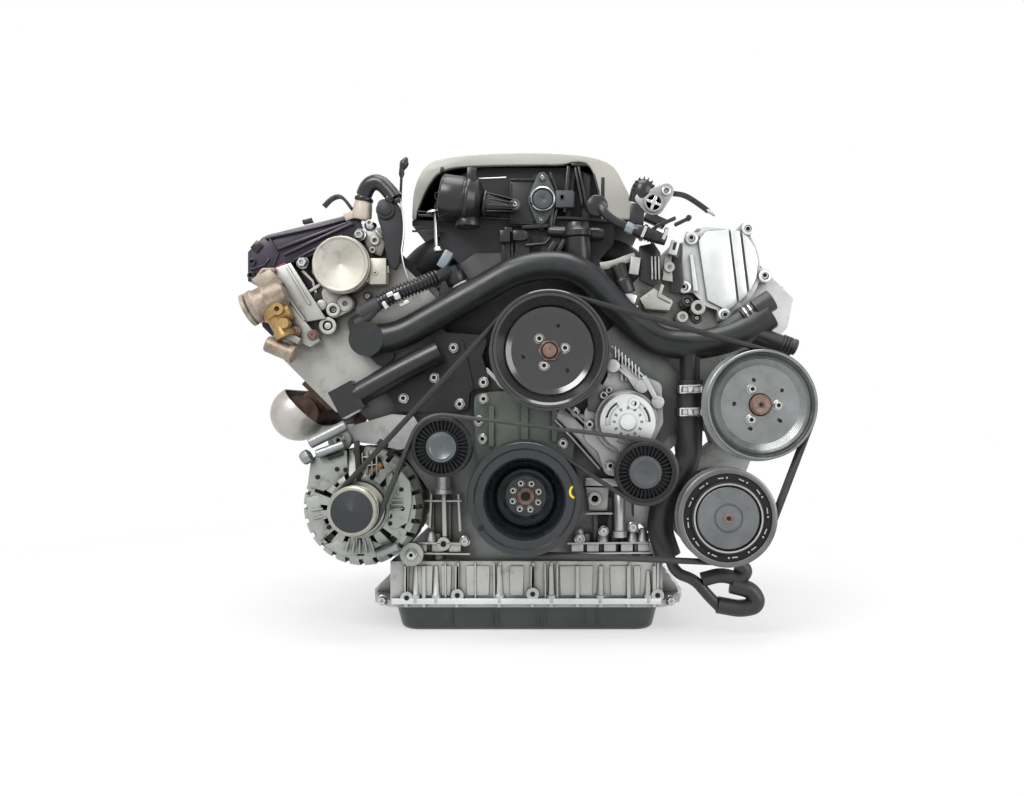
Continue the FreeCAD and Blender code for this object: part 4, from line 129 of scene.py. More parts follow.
CRANK = Vector((0, 0, 0))
PUMP = mid("water_pump_pulley")
STEERING = mid("steering_pulley")
COMPRESSOR = mid("compressor_pulley")
ALTERNATOR = mid("alternator_pulley")
IDLER = mid("idler_roller")
TENSION = mid("tensioner_roller")
HEAD_FRONT = front("cylinder_head_left")
BLOCK_FRONT = front("cylinder_block")


# Shader maths

class Wire:
    """A socket of a material, so that sums are written as sums."""

    def __init__(self, paint, socket):
        self.paint, self.socket = paint, socket

    def maths(self, operation, first, second=None):
        inputs = {0: first} if second is None else {0: first, 1: second}
        return self.paint.add("ShaderNodeMath", {"operation": operation}, inputs)

    def __add__(self, other):
        return self.maths("ADD", self, other)

    __radd__ = __add__

    def __mul__(self, other):
        return self.maths("MULTIPLY", self, other)

    __rmul__ = __mul__

    def __pow__(self, other):
        return self.maths("POWER", self, other)

    def between(self, low, high, start=0.0, end=1.0):
        """Stretches the values from low to high over start to end, and stops there."""
        return self.paint.add("ShaderNodeMapRange", {"clamp": True}, {
            "Value": self, "From Min": low, "From Max": high, "To Min": start, "To Max": end})


class Paint:
    """A material of one principled shader, with the nodes that feed it."""

    def __init__(self, name, colour, roughness=0.5, metallic=0.0, **fixed):
        self.material = bpy.data.materials.new(name)
        self.material.use_nodes = True
        self.nodes = self.material.node_tree.nodes
        self.links = self.material.node_tree.links
        self.shader = self.nodes["Principled BSDF"]
        self.set("Base Color", colour)
        self.set("Roughness", roughness)
        self.set("Metallic", metallic)
        for socket, value in fixed.items():
            self.set(socket.replace("_", " ").title().replace("Ior", "IOR"), value)
        self.place = self.add("ShaderNodeTexCoord", output="Object")

    def add(self, kind, settings=None, inputs=None, output=0):
        """One node: its settings first, then its sockets' values or links; gives one output back."""
        node = self.nodes.new(kind)
        for key, value in (settings or {}).items():
            if key == "stops":
                self.stops(node.color_ramp, value)
            else:
                setattr(node, key, value)
        for key, value in (inputs or {}).items():
            self.plug(node.inputs[key], value)
        return Wire(self, node.outputs[output])

    def stops(self, ramp, stops):
        while len(ramp.elements) < len(stops):
            ramp.elements.new(0.5)
        for element, (position, colour) in zip(ramp.elements, stops):
            element.position = position
            element.color = (*colour, 1)

    def plug(self, socket, value):
        if isinstance(value, Wire):
            self.links.new(value.socket, socket)
        elif socket.type == "RGBA" and len(value) == 3:
            socket.default_value = (*value, 1)
        else:
            socket.default_value = value

    def set(self, socket, value):
        self.plug(self.shader.inputs[socket], value)

    def noise(self, scale, detail=4.0, rough=0.55, stretch=None):
        """Noise from 0 to 1, with a scale in cells per metre."""
        where = self.place
        if stretch:
            where = self.add("ShaderNodeMapping", None, {"Vector": where, "Scale": stretch})
        return self.add("ShaderNodeTexNoise", {"noise_dimensions": "3D"}, {
            "Vector": where, "Scale": scale, "Detail": detail, "Roughness": rough}, "Fac")

    def mix(self, factor, first, second):
        node = self.nodes.new("ShaderNodeMix")
        node.data_type = "RGBA"
        self.plug(node.inputs[0], factor)
        self.plug(node.inputs[6], first)
        self.plug(node.inputs[7], second)
        return Wire(self, node.outputs[2])

    def axis_distance(self, centre):
        """Distance in metres from an axis along Y through a centre."""
        moved = self.add("ShaderNodeVectorMath", {"operation": "SUBTRACT"}, {0: self.place, 1: tuple(centre * MM)})
        parts = self.nodes.new("ShaderNodeSeparateXYZ")
        self.plug(parts.inputs[0], moved)
        x, z = Wire(self, parts.outputs[0]), Wire(self, parts.outputs[2])
        return (x * x + z * z) ** 0.5

    def corner_shade(self, reach=0.02):
        """Painted shade: 0 on open faces and 1 deep in the corners between pieces, from ambient occlusion."""
        node = self.nodes.new("ShaderNodeAmbientOcclusion")
        node.samples = 6
        node.inputs["Distance"].default_value = reach
        return Wire(self, node.outputs["AO"]).between(0.25, 0.85, 1.0, 0.0)

    def bump(self, height, strength=0.3, distance=0.0005):
        self.set("Normal", self.add("ShaderNodeBump", None, {
            "Height": height, "Strength": strength, "Distance": distance}, "Normal"))


def shade(colour, factor):
    return tuple(min(1.0, c * factor) for c in colour)


def cast_metal(name, colour, roughness=0.5, dirt=0.5, grain=0.35, metallic=0.85, dirt_and_shade_colour=(0.06, 0.055, 0.045)):
    """Sand-cast light metal: fine grain, cloudy tone, dirt that gathers in patches, and painted shade that darkens the
    corners between pieces.
    """
    paint = Paint(name, colour, roughness, metallic)
    cloud = paint.noise(22, 5)
    speck = paint.noise(420, 3, 0.7)
    tone = paint.mix(cloud.between(0.3, 0.7), shade(colour, 0.86), shade(colour, 1.1))
    grime = paint.noise(46, 8, 0.72).between(0.54, 0.74)
    stained = paint.mix(grime * dirt, tone, dirt_and_shade_colour)
    # Painted shade: the colour runs to a near-black in the corners between pieces; the same base colour tints the dirt
    # patches.
    paint.set("Base Color", paint.mix(paint.corner_shade() * 0.88, stained, shade(dirt_and_shade_colour, 0.35)))
    paint.set("Roughness", (cloud * 0.22 + speck * 0.16 + (roughness - 0.19)) + grime * 0.15)
    paint.bump(speck * 0.7 + paint.noise(1500, 2) * 0.3, grain, 0.0006)
    return paint.material


def turned_metal(name, colour, centre, roughness=0.3, pitch=0.0011, stain=0.35, stain_colour=(0.12, 0.07, 0.04)):
    """Metal turned on a lathe: fine rings about its axis, and stains."""
    paint = Paint(name, colour, roughness, 0.95)
    reach = paint.axis_distance(centre)
    rings = paint.add("ShaderNodeMath", {"operation": "SINE"}, {0: reach * (6.283 / pitch)})
    cloud = paint.noise(35, 6, 0.65)
    blot = paint.noise(90, 6, 0.75).between(0.55, 0.75)
    tone = paint.mix(cloud.between(0.3, 0.7), shade(colour, 0.82), shade(colour, 1.12))
    paint.set("Base Color", paint.mix(blot * stain, tone, stain_colour))
    paint.set("Roughness", cloud * 0.25 + (roughness - 0.1) + rings * 0.03)
    paint.bump(rings * 0.5 + paint.noise(900, 3) * 0.5, 0.12, 0.0003)
    return paint.material


def moulded(name, colour, roughness=0.4, grain=0.3, scale=900, dust=0.25, coat=0.0):
    """Injection-moulded plastic: fine grain, soft sheen changes, a little dust, and painted shade that darkens the
    corners between pieces.
    """
    paint = Paint(name, colour, roughness, 0.0, coat_roughness=0.25,
                  specular_ior_level=0.3 if max(colour) < 0.1 else 0.5)
    cloud = paint.noise(30, 5, 0.6)
    pores = paint.noise(scale, 2, 0.5)
    film = paint.noise(60, 7, 0.7).between(0.5, 0.8)
    dusty = paint.mix(film * dust, colour, tuple(c * 0.6 + 0.05 for c in colour))
    # Painted shade: the colour runs to a fifth of itself in the corners between pieces.
    paint.set("Base Color", paint.mix(paint.corner_shade(0.015) * 0.7, dusty, shade(colour, 0.2)))
    paint.set("Roughness", cloud * 0.24 + (roughness - 0.12) + film * 0.12)
    if coat:
        paint.set("Coat Weight", coat)
    paint.bump(pores, grain, 0.0003)
    return paint.material


def rubbery(name, colour, roughness=0.55):
    """Rubber with a bloom of dust and faint scuffs along its length."""
    paint = Paint(name, colour, roughness)
    bloom = paint.noise(40, 6, 0.7).between(0.4, 0.8)
    scuff = paint.noise(300, 4, 0.6, (1, 6, 1))
    paint.set("Base Color", paint.mix(bloom * 0.3, colour, (0.07, 0.068, 0.064)))
    paint.set("Roughness", bloom * 0.2 + (roughness - 0.1) + scuff * 0.08)
    paint.bump(scuff, 0.18, 0.0003)
    return paint.material


def painted(name, colour, roughness=0.3, rust=0.15, wear_colour=(0.10, 0.05, 0.03), coat=0.3):
    """Thin paint on steel, with specks of dust or rust on it."""
    paint = Paint(name, colour, roughness, 0.0, coat_weight=coat, coat_roughness=0.15)
    cloud = paint.noise(28, 5)
    speck = paint.noise(240, 7, 0.75).between(0.62, 0.74)
    paint.set("Base Color", paint.mix(speck * rust, paint.mix(cloud.between(0.35, 0.7), colour, shade(colour, 1.5)),
                                      wear_colour))
    paint.set("Roughness", cloud * 0.2 + (roughness - 0.08) + speck * 0.3)
    paint.bump(paint.noise(500, 3) * 0.6 + speck * 0.4, 0.15, 0.0004)
    return paint.material


def rusted(name, colour, second, metallic=0.6, roughness=0.6):
    """Metal under a film of rust: two tones in blotches, with a pitted skin."""
    paint = Paint(name, colour, roughness, metallic)
    blot = paint.noise(55, 8, 0.7)
    pits = paint.noise(600, 5, 0.75)
    paint.set("Base Color", paint.mix(blot.between(0.4, 0.62), colour, second))
    paint.set("Metallic", blot.between(0.4, 0.65, metallic, metallic * 0.3))
    paint.set("Roughness", blot * 0.3 + (roughness - 0.15))
    paint.bump(pits * 0.6 + blot * 0.4, 0.4, 0.0007)
    return paint.material


def heat_stained(name):
    """Pressed steel sheet, stained by heat towards its dome, with painted shade that darkens the corners between
    pieces.
    """
    paint = Paint(name, (0.4, 0.39, 0.37), 0.4, 0.5)
    blot = paint.noise(18, 6, 0.65)
    stained = paint.add("ShaderNodeValToRGB", {"stops": [
        (0.25, (0.30, 0.28, 0.26)), (0.45, (0.46, 0.44, 0.41)), (0.6, (0.38, 0.34, 0.30)), (0.8, (0.52, 0.50, 0.47))]},
                        {"Fac": blot}, "Color")
    # Painted shade: the colour runs to a near-black in the corners between pieces.
    paint.set("Base Color", paint.mix(paint.corner_shade() * 0.8, stained, (0.03, 0.02, 0.015)))
    paint.set("Roughness", paint.noise(200, 5).between(0.3, 0.7, 0.28, 0.5))
    paint.bump(paint.noise(120, 5), 0.25, 0.0008)
    return paint.material


def ribbed_belt(name):
    """Worn belt back: woven faintly across, polished where it runs on the rollers."""
    paint = Paint(name, (0.02, 0.02, 0.02), 0.5)
    weave = paint.noise(1400, 2, 0.5, (0.3, 3, 0.3))
    bloom = paint.noise(50, 5, 0.6).between(0.4, 0.75)
    paint.set("Base Color", paint.mix(bloom * 0.3, (0.016, 0.016, 0.017), (0.06, 0.06, 0.058)))
    paint.set("Roughness", weave * 0.15 + 0.4)
    paint.bump(weave, 0.3, 0.0003)
    return paint.material


FINISHES = {}


def finish(name):
    """A finish by its name, made when it is first asked for."""
    if name not in FINISHES:
        FINISHES[name] = RECIPES[name](name)
    return FINISHES[name]


RECIPES = {
    "cast_bright": lambda n: cast_metal(n, (0.50, 0.51, 0.50), 0.36, 0.45, metallic=0.7),
    # Painted shade: the block, ladder and bracket web have a grey-green casting colour made far darker than the other
    # castings, for the shade they lie in behind other parts.
    "cast_block": lambda n: cast_metal(n, (0.17, 0.18, 0.17), 0.5, 0.6, metallic=0.6),
    "cast_pan": lambda n: cast_metal(n, (0.46, 0.47, 0.45), 0.42, 0.45, metallic=0.6),
    "cast_head": lambda n: cast_metal(n, (0.40, 0.40, 0.37), 0.42, 0.6, 0.45, 0.6, (0.10, 0.075, 0.05)),
    "cast_cover": lambda n: cast_metal(n, (0.15, 0.17, 0.15), 0.46, 0.4, 0.3, 0.5),
    "cast_alternator": lambda n: cast_metal(n, (0.36, 0.38, 0.35), 0.42, 0.8, 0.45, 0.7, (0.07, 0.08, 0.05)),
    "cast_vacuum": lambda n: cast_metal(n, (0.42, 0.40, 0.35), 0.42, 0.4, 0.4, 0.6),
    "machined": lambda n: cast_metal(n, (0.55, 0.55, 0.54), 0.3, 0.25, 0.12, 0.95),
    "crank_pulley": lambda n: painted(n, (0.010, 0.012, 0.014), 0.26, 0.12, (0.12, 0.13, 0.14)),
    "pump_pulley": lambda n: painted(n, (0.006, 0.007, 0.006), 0.14, 0.08, coat=0.9),
    "steering_pulley": lambda n: turned_metal(n, (0.24, 0.25, 0.25), STEERING, 0.3, 0.0016, 0.35, (0.08, 0.08, 0.08)),
    "compressor_ring": lambda n: turned_metal(n, (0.16, 0.165, 0.17), COMPRESSOR, 0.34, 0.0013, 0.3),
    "compressor_hub": lambda n: painted(n, (0.010, 0.010, 0.011), 0.34, 0.1, coat=0.2),
    "alternator_pulley": lambda n: turned_metal(n, (0.40, 0.39, 0.33), ALTERNATOR, 0.36, 0.0012, 0.35),
    "black_cap": lambda n: moulded(n, (0.028, 0.032, 0.036), 0.38, 0.25, 700, 0.3),
    "black_plastic": lambda n: moulded(n, (0.022, 0.022, 0.024), 0.42, 0.45),
    "black_gloss": lambda n: moulded(n, (0.014, 0.014, 0.016), 0.3, 0.12, 500, 0.2, 0.3),
    "black_pipe": lambda n: moulded(n, (0.016, 0.017, 0.018), 0.34, 0.15, 700, 0.3, 0.2),
    "purple_black": lambda n: moulded(n, (0.030, 0.022, 0.040), 0.34, 0.2, 700, 0.25, 0.3),
    "roller": lambda n: moulded(n, (0.012, 0.013, 0.015), 0.34, 0.2, 600, 0.25),
    "hose": lambda n: rubbery(n, (0.018, 0.018, 0.019), 0.42),
    "seal": lambda n: rubbery(n, (0.02, 0.02, 0.02), 0.6),
    "belt": ribbed_belt,
    "zinc": lambda n: cast_metal(n, (0.58, 0.59, 0.58), 0.26, 0.3, 0.1, 1.0, (0.16, 0.10, 0.06)),
    "clamp": lambda n: cast_metal(n, (0.66, 0.66, 0.66), 0.22, 0.2, 0.06, 1.0),
    "rusty_nut": lambda n: rusted(n, (0.13, 0.065, 0.045), (0.24, 0.17, 0.14), 0.5, 0.5),
    "valve_iron": lambda n: rusted(n, (0.20, 0.15, 0.11), (0.34, 0.30, 0.25), 0.6, 0.45),
    "brass": lambda n: rusted(n, (0.42, 0.28, 0.11), (0.20, 0.12, 0.05), 0.8, 0.42),
    "manifold_iron": lambda n: rusted(n, (0.07, 0.04, 0.028), (0.16, 0.10, 0.07), 0.3, 0.65),
    "shield": heat_stained,
    "winding": lambda n: rusted(n, (0.50, 0.22, 0.09), (0.34, 0.14, 0.05), 0.8, 0.35),
    "laminations": lambda n: rusted(n, (0.16, 0.16, 0.15), (0.09, 0.07, 0.05), 0.7, 0.45),
    "beige_cover": lambda n: moulded(n, (0.36, 0.355, 0.32), 0.38, 0.3, 900, 0.15, 0.15),
    "beige_fitting": lambda n: moulded(n, (0.46, 0.40, 0.32), 0.45),
    "tray": lambda n: painted(n, (0.022, 0.027, 0.025), 0.34, 0.2, (0.08, 0.08, 0.07)),
    "steel": lambda n: cast_metal(n, (0.46, 0.46, 0.45), 0.3, 0.3, 0.15, 1.0),
    "yellow_dab": lambda n: moulded(n, (0.75, 0.58, 0.02), 0.4, 0.2, 900, 0.1),
    "grey_plastic": lambda n: moulded(n, (0.060, 0.066, 0.068), 0.42, 0.4),
    "blue_plastic": lambda n: moulded(n, (0.20, 0.24, 0.27), 0.36, 0.25),
    "red_seal": lambda n: rubbery(n, (0.30, 0.02, 0.04), 0.5),
    "grey_metal": lambda n: cast_metal(n, (0.30, 0.31, 0.31), 0.4, 0.3, 0.2, 0.8),
    "cast_white": lambda n: cast_metal(n, (0.66, 0.68, 0.67), 0.4, 0.15, 0.2, 0.5),
    "cap_grey": lambda n: turned_metal(n, (0.13, 0.145, 0.15), IDLER, 0.3, 0.002, 0.2),
    "clutch_grey": lambda n: turned_metal(n, (0.17, 0.18, 0.18), COMPRESSOR, 0.38, 0.0016, 0.35, (0.06, 0.06, 0.06)),
    # Painted shade: a near-black laid into holes, slots, grooves and recesses in place of the shade inside them.
    "pit": lambda n: moulded(n, (0.006, 0.006, 0.007), 0.6, 0.2, 500, 0.1),
    "cloth_tape": lambda n: rubbery(n, (0.03, 0.03, 0.032), 0.7),
}

DRESSED = {
    "cast_bright": "accessory_bracket cam_cover_right",
    "cast_pan": (
        "alternator_bracket compressor_body oil_pan_upper rear_chain_case side_bracket steering_pump "
        "tensioner_housing water_pump_housing"),
    "cast_alternator": "alternator_front_frame alternator_rear_frame",
    "alternator_pulley": "alternator_pulley",
    "black_cap": "alternator_rotor",
    "laminations": "alternator_stator",
    "cast_block": "bearing_ladder cylinder_block",
    "cast_white": "cam_end_plate tensioner_arm",
    "compressor_hub": "compressor_hub",
    "compressor_ring": "compressor_pulley",
    "hose": "coolant_hose",
    "black_pipe": "coolant_pipe",
    "zinc": "cover_bolts crank_pulley_bolts idler_pin pump_pulley_bolts steering_pulley_bolts",
    "crank_pulley": "crank_pulley",
    "machined": "crankshaft pistons",
    "cast_head": "cylinder_head_left cylinder_head_right",
    "manifold_iron": "exhaust_manifolds",
    "cast_cover": "front_cover",
    "black_gloss": "breather_valve heater_pipe runner_actuator",
    "seal": "oil_seals",
    "valve_iron": "air_valve",
    "shield": "heat_shield",
    "clamp": "hose_clamps",
    "roller": "idler_roller tensioner_roller",
    "black_plastic": "harness_bracket intake_manifold left_front_cover",
    "tray": "oil_pan_lower",
    "belt": "serpentine_belt",
    "steering_pulley": "steering_pulley",
    "rusty_nut": "steering_shaft water_pump_shaft",
    "cast_vacuum": "vacuum_pump",
    "pump_pulley": "water_pump_pulley",
    "beige_cover": "engine_cover",
    "purple_black": "cam_cover_left",
}
NODE_FINISH = {node: name for name, nodes in DRESSED.items() for node in nodes.split()}

# The slot that a piece of each finish usually has.
SLOTS = {
    "beige_cover": "beige_fitting yellow_dab",
    "belt_rubber": "cloth_tape red_seal seal",
    "black_gloss": "black_gloss",
    "black_plastic": "black_cap black_plastic blue_plastic grey_plastic pit purple_black",
    "black_steel": "tray",
    "brown_iron": "brass rusty_nut valve_iron",
    "cast_aluminium": "cast_alternator cast_block cast_bright cast_head cast_pan cast_vacuum cast_white grey_metal",
    "clamp_steel": "clamp",
    "copper_winding": "winding",
    "hose_rubber": "hose",
    "machined_steel": "clutch_grey compressor_ring steel",
    "zinc_bolt": "zinc",
}
USUAL_SLOT = {name: slot for slot, names in SLOTS.items() for name in names.split()}


# Meshes

def new_mesh(name, vertices, faces):
    mesh = bpy.data.meshes.new(name)
    mesh.from_pydata([tuple(v) for v in vertices], [], faces)
    mesh.update()
    return mesh


def turned(profile, centre, segments=48):
    """A closed profile, as radius and y, turned about the Y axis through a centre."""
    vertices, faces, count = [], [], len(profile)
    for step in range(segments):
        angle = 2 * math.pi * step / segments
        for radius, y in profile:
            vertices.append((centre[0] + radius * math.cos(angle), y, centre[2] + radius * math.sin(angle)))
    for step in range(segments):
        here, there = step * count, (step + 1) % segments * count
        for i in range(count):
            j = (i + 1) % count
            faces.append((here + i, there + i, there + j, here + j))
    return new_mesh("turned", vertices, faces)


def slab(outline, y_front, y_back):
    """An outline in the front view, given depth."""
    count = len(outline)
    vertices = [(x, y_front, z) for x, z in outline] + [(x, y_back, z) for x, z in outline]
    faces = [tuple(range(count)), tuple(range(2 * count - 1, count - 1, -1))]
    faces += [(i, i + count, (i + 1) % count + count, (i + 1) % count) for i in range(count)]
    return new_mesh("slab", vertices, faces)


def ring_of_points(centre, radius, count, start=0.0, end=360.0):
    step = (end - start) / count
    return [(centre[0] + radius * math.cos(math.radians(start + step * i)),
             centre[2] + radius * math.sin(math.radians(start + step * i))) for i in range(count)]


def brick(width, depth, height, centre, turn=0.0):
    """A block about its centre, turned about the Y axis."""
    bm = bmesh.new()
    bmesh.ops.create_cube(bm, size=1.0)
    bm.transform(Matrix.Translation(Vector(centre)) @ Matrix.Rotation(math.radians(turn), 4, "Y")
                 @ Matrix.Diagonal((width, depth, height, 1)))
    mesh = bpy.data.meshes.new("brick")
    bm.to_mesh(mesh)
    bm.free()
    return mesh


def rod(start, end, radius, end_radius=None, sides=32):
    """A round bar between two points."""
    start, end = Vector(start), Vector(end)
    bm = bmesh.new()
    run = end - start
    bmesh.ops.create_cone(bm, cap_ends=True, segments=sides, radius1=radius,
                          radius2=radius if end_radius is None else end_radius, depth=run.length)
    bm.transform(Matrix.Translation((start + end) / 2) @ run.to_track_quat("Z", "Y").to_matrix().to_4x4())
    mesh = bpy.data.meshes.new("rod")
    bm.to_mesh(mesh)
    bm.free()
    return mesh


def skinned(name, vertices, levels, sides):
    """A closed mesh over rings of as many vertices each, from the first ring to the last."""
    faces = []
    for level in range(levels - 1):
        for i in range(sides):
            a, b = level * sides + i, level * sides + (i + 1) % sides
            faces.append((a, b, b + sides, a + sides))
    faces.append(tuple(range(sides - 1, -1, -1)))
    faces.append(tuple(range((levels - 1) * sides, levels * sides)))
    return new_mesh(name, vertices, faces)


def barrel(start, toward, profile, sides=36):
    """A closed profile, as distance along and radius, turned about the line from one point towards another."""
    start, toward = Vector(start), Vector(toward)
    turn = (toward - start).to_track_quat("Z", "Y")
    vertices = [(start + turn @ Vector((radius * math.cos(2 * math.pi * step / sides),
                                        radius * math.sin(2 * math.pi * step / sides), along)))
                for along, radius in profile for step in range(sides)]
    return skinned("barrel", vertices, len(profile), sides)


def disc(x, z, radius, y_front, y_back, hole=0.0, depth=None, sides=32):
    """A round boss that faces the front, with a blind hole or recess when it has a hole radius."""
    if not hole:
        return barrel((x, y_back, z), (x, y_front, z), [(0, radius), (y_back - y_front, radius)], sides)
    bottom = y_front + (depth or (y_back - y_front) * 0.8)
    profile = [(radius, y_back), (radius, y_front), (hole, y_front), (hole, bottom), (0.05, bottom), (0.05, y_back)]
    return turned(profile, (x, 0, z), sides)


def lobed(circles, y_front, y_back, sides=28):
    """A plate round several circles, given as x, z and radius."""
    points = [Vector(p) for x, z, radius in circles for p in ring_of_points((x, 0, z), radius, sides)]
    hull = convex_hull_2d(points)
    return slab([tuple(points[i]) for i in hull], y_front, y_back)


def strip(points, width, y_front, y_back):
    """A band of even width along a line in the front view."""
    line = [Vector(p) for p in points]
    left, right = [], []
    for i, point in enumerate(line):
        run = (line[min(i + 1, len(line) - 1)] - line[max(i - 1, 0)]).normalized()
        side = Vector((-run.y, run.x)) * (width / 2)
        left.append(tuple(point + side))
        right.append(tuple(point - side))
    return slab(left + right[::-1], y_front, y_back)


def eased(points, steps=6):
    """A smooth line in the front view through the middles of the runs between points."""
    line = [Vector(p) for p in points]
    result = [line[0]]
    for before, corner, after in zip(line, line[1:], line[2:]):
        start, end = (before + corner) / 2, (corner + after) / 2
        for step in range(steps + 1):
            t = step / steps
            result.append(start * (1 - t) ** 2 + corner * 2 * t * (1 - t) + end * t ** 2)
    return [tuple(p) for p in result + [line[-1]]]


def spline(points, radius, smooth):
    """A curve object along points; its section is round unless the radius is 0."""
    curve = bpy.data.curves.new("path", "CURVE")
    curve.dimensions = "3D"
    line = curve.splines.new("NURBS")
    line.points.add(len(points) - 1)
    for point, place in zip(line.points, points):
        point.co = (*place, 1)
    line.order_u = 3
    line.use_endpoint_u = True
    line.resolution_u = smooth
    curve.bevel_depth = radius
    curve.bevel_resolution = 6
    curve.use_fill_caps = True
    return bpy.data.objects.new("path", curve)


def linked(thing):
    """Puts an object in the scene."""
    bpy.context.scene.collection.objects.link(thing)
    return thing


def evaluated(thing, *helpers):
    """The finished mesh of an object, which is removed with its helpers."""
    graph = bpy.context.evaluated_depsgraph_get()
    mesh = bpy.data.meshes.new_from_object(thing.evaluated_get(graph), depsgraph=graph)
    for used in (thing, *helpers):
        bpy.data.objects.remove(used)
    return mesh


def hose(points, radius, smooth=8):
    """A round tube along a smooth line."""
    return evaluated(linked(spline(points, radius, smooth)))


def joined(meshes, name="joined"):
    """Several meshes in one; the parts aren't kept."""
    bm = bmesh.new()
    for mesh in meshes:
        bm.from_mesh(mesh)
        bpy.data.meshes.remove(mesh)
    mesh = bpy.data.meshes.new(name)
    bm.to_mesh(mesh)
    bm.free()
    return mesh


def piece(name, meshes, material, body=ENGINE, bevel=0.0, steps=2, replaces=(), slot="", angle=38):
    """Joins meshes in millimetres into one piece in metres, rounds its edges, and lets it ride on a body.

    The slot is not stored: when none is named, the usual one of its finish is only looked up.
    """
    mesh = joined(meshes if isinstance(meshes, list) else [meshes], name)
    bm = bmesh.new()
    bm.from_mesh(mesh)
    bmesh.ops.remove_doubles(bm, verts=bm.verts, dist=0.001)
    bmesh.ops.dissolve_degenerate(bm, edges=bm.edges, dist=0.001)
    bmesh.ops.recalc_face_normals(bm, faces=bm.faces)
    if bevel:
        sharp = [e for e in bm.edges if len(e.link_faces) == 2 and e.calc_face_angle(0) > math.radians(30)]
        bmesh.ops.bevel(bm, geom=sharp, offset=bevel, segments=steps, profile=0.5, affect="EDGES", clamp_overlap=True)
    bmesh.ops.scale(bm, vec=(MM, MM, MM), verts=bm.verts)
    bm.to_mesh(mesh)
    bm.free()
    mesh.shade_smooth()
    mesh.set_sharp_from_angle(angle=math.radians(angle))
    thing = linked(bpy.data.objects.new(name, mesh))
    mesh.materials.clear()
    mesh.materials.append(finish(material) if isinstance(material, str) else material)
    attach(thing, body)
    if replaces:
        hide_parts(*replaces)
    if slot == "":
        slot = USUAL_SLOT[material]
    return thing


# Trees for what repeats

class Tree:
    """A geometry node tree, whose sockets are named when it is built and set by identifier when it is used."""

    def __init__(self, name, inputs):
        self.group = bpy.data.node_groups.new(name, "GeometryNodeTree")
        self.sockets = {}
        self.group.interface.new_socket("Geometry", in_out="INPUT", socket_type="NodeSocketGeometry")
        for title, kind in inputs.items():
            item = self.group.interface.new_socket(title, in_out="INPUT", socket_type="NodeSocket" + kind)
            self.sockets[title] = item.identifier
        self.group.interface.new_socket("Geometry", in_out="OUTPUT", socket_type="NodeSocketGeometry")
        self.entry = self.group.nodes.new("NodeGroupInput")

    def add(self, kind, settings=None, inputs=None, output=0):
        node = self.group.nodes.new(kind)
        for key, value in (settings or {}).items():
            setattr(node, key, value)
        for key, value in (inputs or {}).items():
            if isinstance(value, bpy.types.NodeSocket):
                self.group.links.new(value, node.inputs[key])
            else:
                node.inputs[key].default_value = value
        return node.outputs[output]

    def given(self, title):
        return self.entry.outputs[title]

    def maths(self, operation, first, second=None):
        inputs = {0: first} if second is None else {0: first, 1: second}
        return self.add("ShaderNodeMath", {"operation": operation}, inputs)

    def shape(self):
        """The geometry of the shape that is repeated."""
        return self.add("GeometryNodeObjectInfo", None, {"Object": self.given("Shape")}, "Geometry")

    def close(self, instances):
        """Ends the tree in real geometry with its finish."""
        real = self.add("GeometryNodeRealizeInstances", None, {0: instances})
        dressed = self.add("GeometryNodeSetMaterial", None, {"Geometry": real, "Material": self.given("Finish")})
        end = self.group.nodes.new("NodeGroupOutput")
        self.group.links.new(dressed, end.inputs[0])
        return self


def spots_tree():
    """One shape at each point of the mesh."""
    tree = Tree("spots", {"Shape": "Object", "Finish": "Material"})
    shape = tree.shape()
    placed = tree.add("GeometryNodeInstanceOnPoints", None, {
        "Points": tree.given("Geometry"), "Instance": shape})
    return tree.close(placed)


def ring_tree():
    """A number of shapes round the Y axis through a centre, each turned to face outwards."""
    tree = Tree("ring", {"Shape": "Object", "Count": "Int", "Radius": "Float", "Centre": "Vector",
                         "Start": "Float", "Finish": "Material"})
    shape = tree.shape()
    points = tree.add("GeometryNodePoints", None, {"Count": tree.given("Count")})
    index = tree.add("GeometryNodeInputIndex")
    turn = tree.maths("MULTIPLY", index, 2 * math.pi)
    turn = tree.maths("DIVIDE", turn, tree.given("Count"))
    turn = tree.maths("ADD", turn, tree.given("Start"))
    cosine = tree.maths("COSINE", turn)
    sine = tree.maths("SINE", turn)
    x = tree.maths("MULTIPLY", cosine, tree.given("Radius"))
    z = tree.maths("MULTIPLY", sine, tree.given("Radius"))
    place = tree.add("ShaderNodeCombineXYZ", None, {"X": x, "Z": z})
    place = tree.add("ShaderNodeVectorMath", {"operation": "ADD"}, {0: place, 1: tree.given("Centre")})
    points = tree.add("GeometryNodeSetPosition", None, {"Geometry": points, "Position": place})
    back = tree.maths("MULTIPLY", turn, -1.0)
    facing = tree.add("ShaderNodeCombineXYZ", None, {"Y": back})
    placed = tree.add("GeometryNodeInstanceOnPoints", None, {"Points": points, "Instance": shape, "Rotation": facing})
    return tree.close(placed)


def path_tree():
    """Shapes at even steps along the edges of the mesh, each square to the path."""
    tree = Tree("path", {"Shape": "Object", "Step": "Float", "Finish": "Material"})
    shape = tree.shape()
    line = tree.add("GeometryNodeMeshToCurve", None, {"Mesh": tree.given("Geometry")})
    beads = tree.group.nodes.new("GeometryNodeCurveToPoints")
    beads.mode = "LENGTH"
    tree.group.links.new(line, beads.inputs["Curve"])
    tree.group.links.new(tree.given("Step"), beads.inputs["Length"])
    placed = tree.add("GeometryNodeInstanceOnPoints", None, {
        "Points": beads.outputs["Points"], "Instance": shape, "Rotation": beads.outputs["Rotation"]})
    return tree.close(placed)


TREES = {}


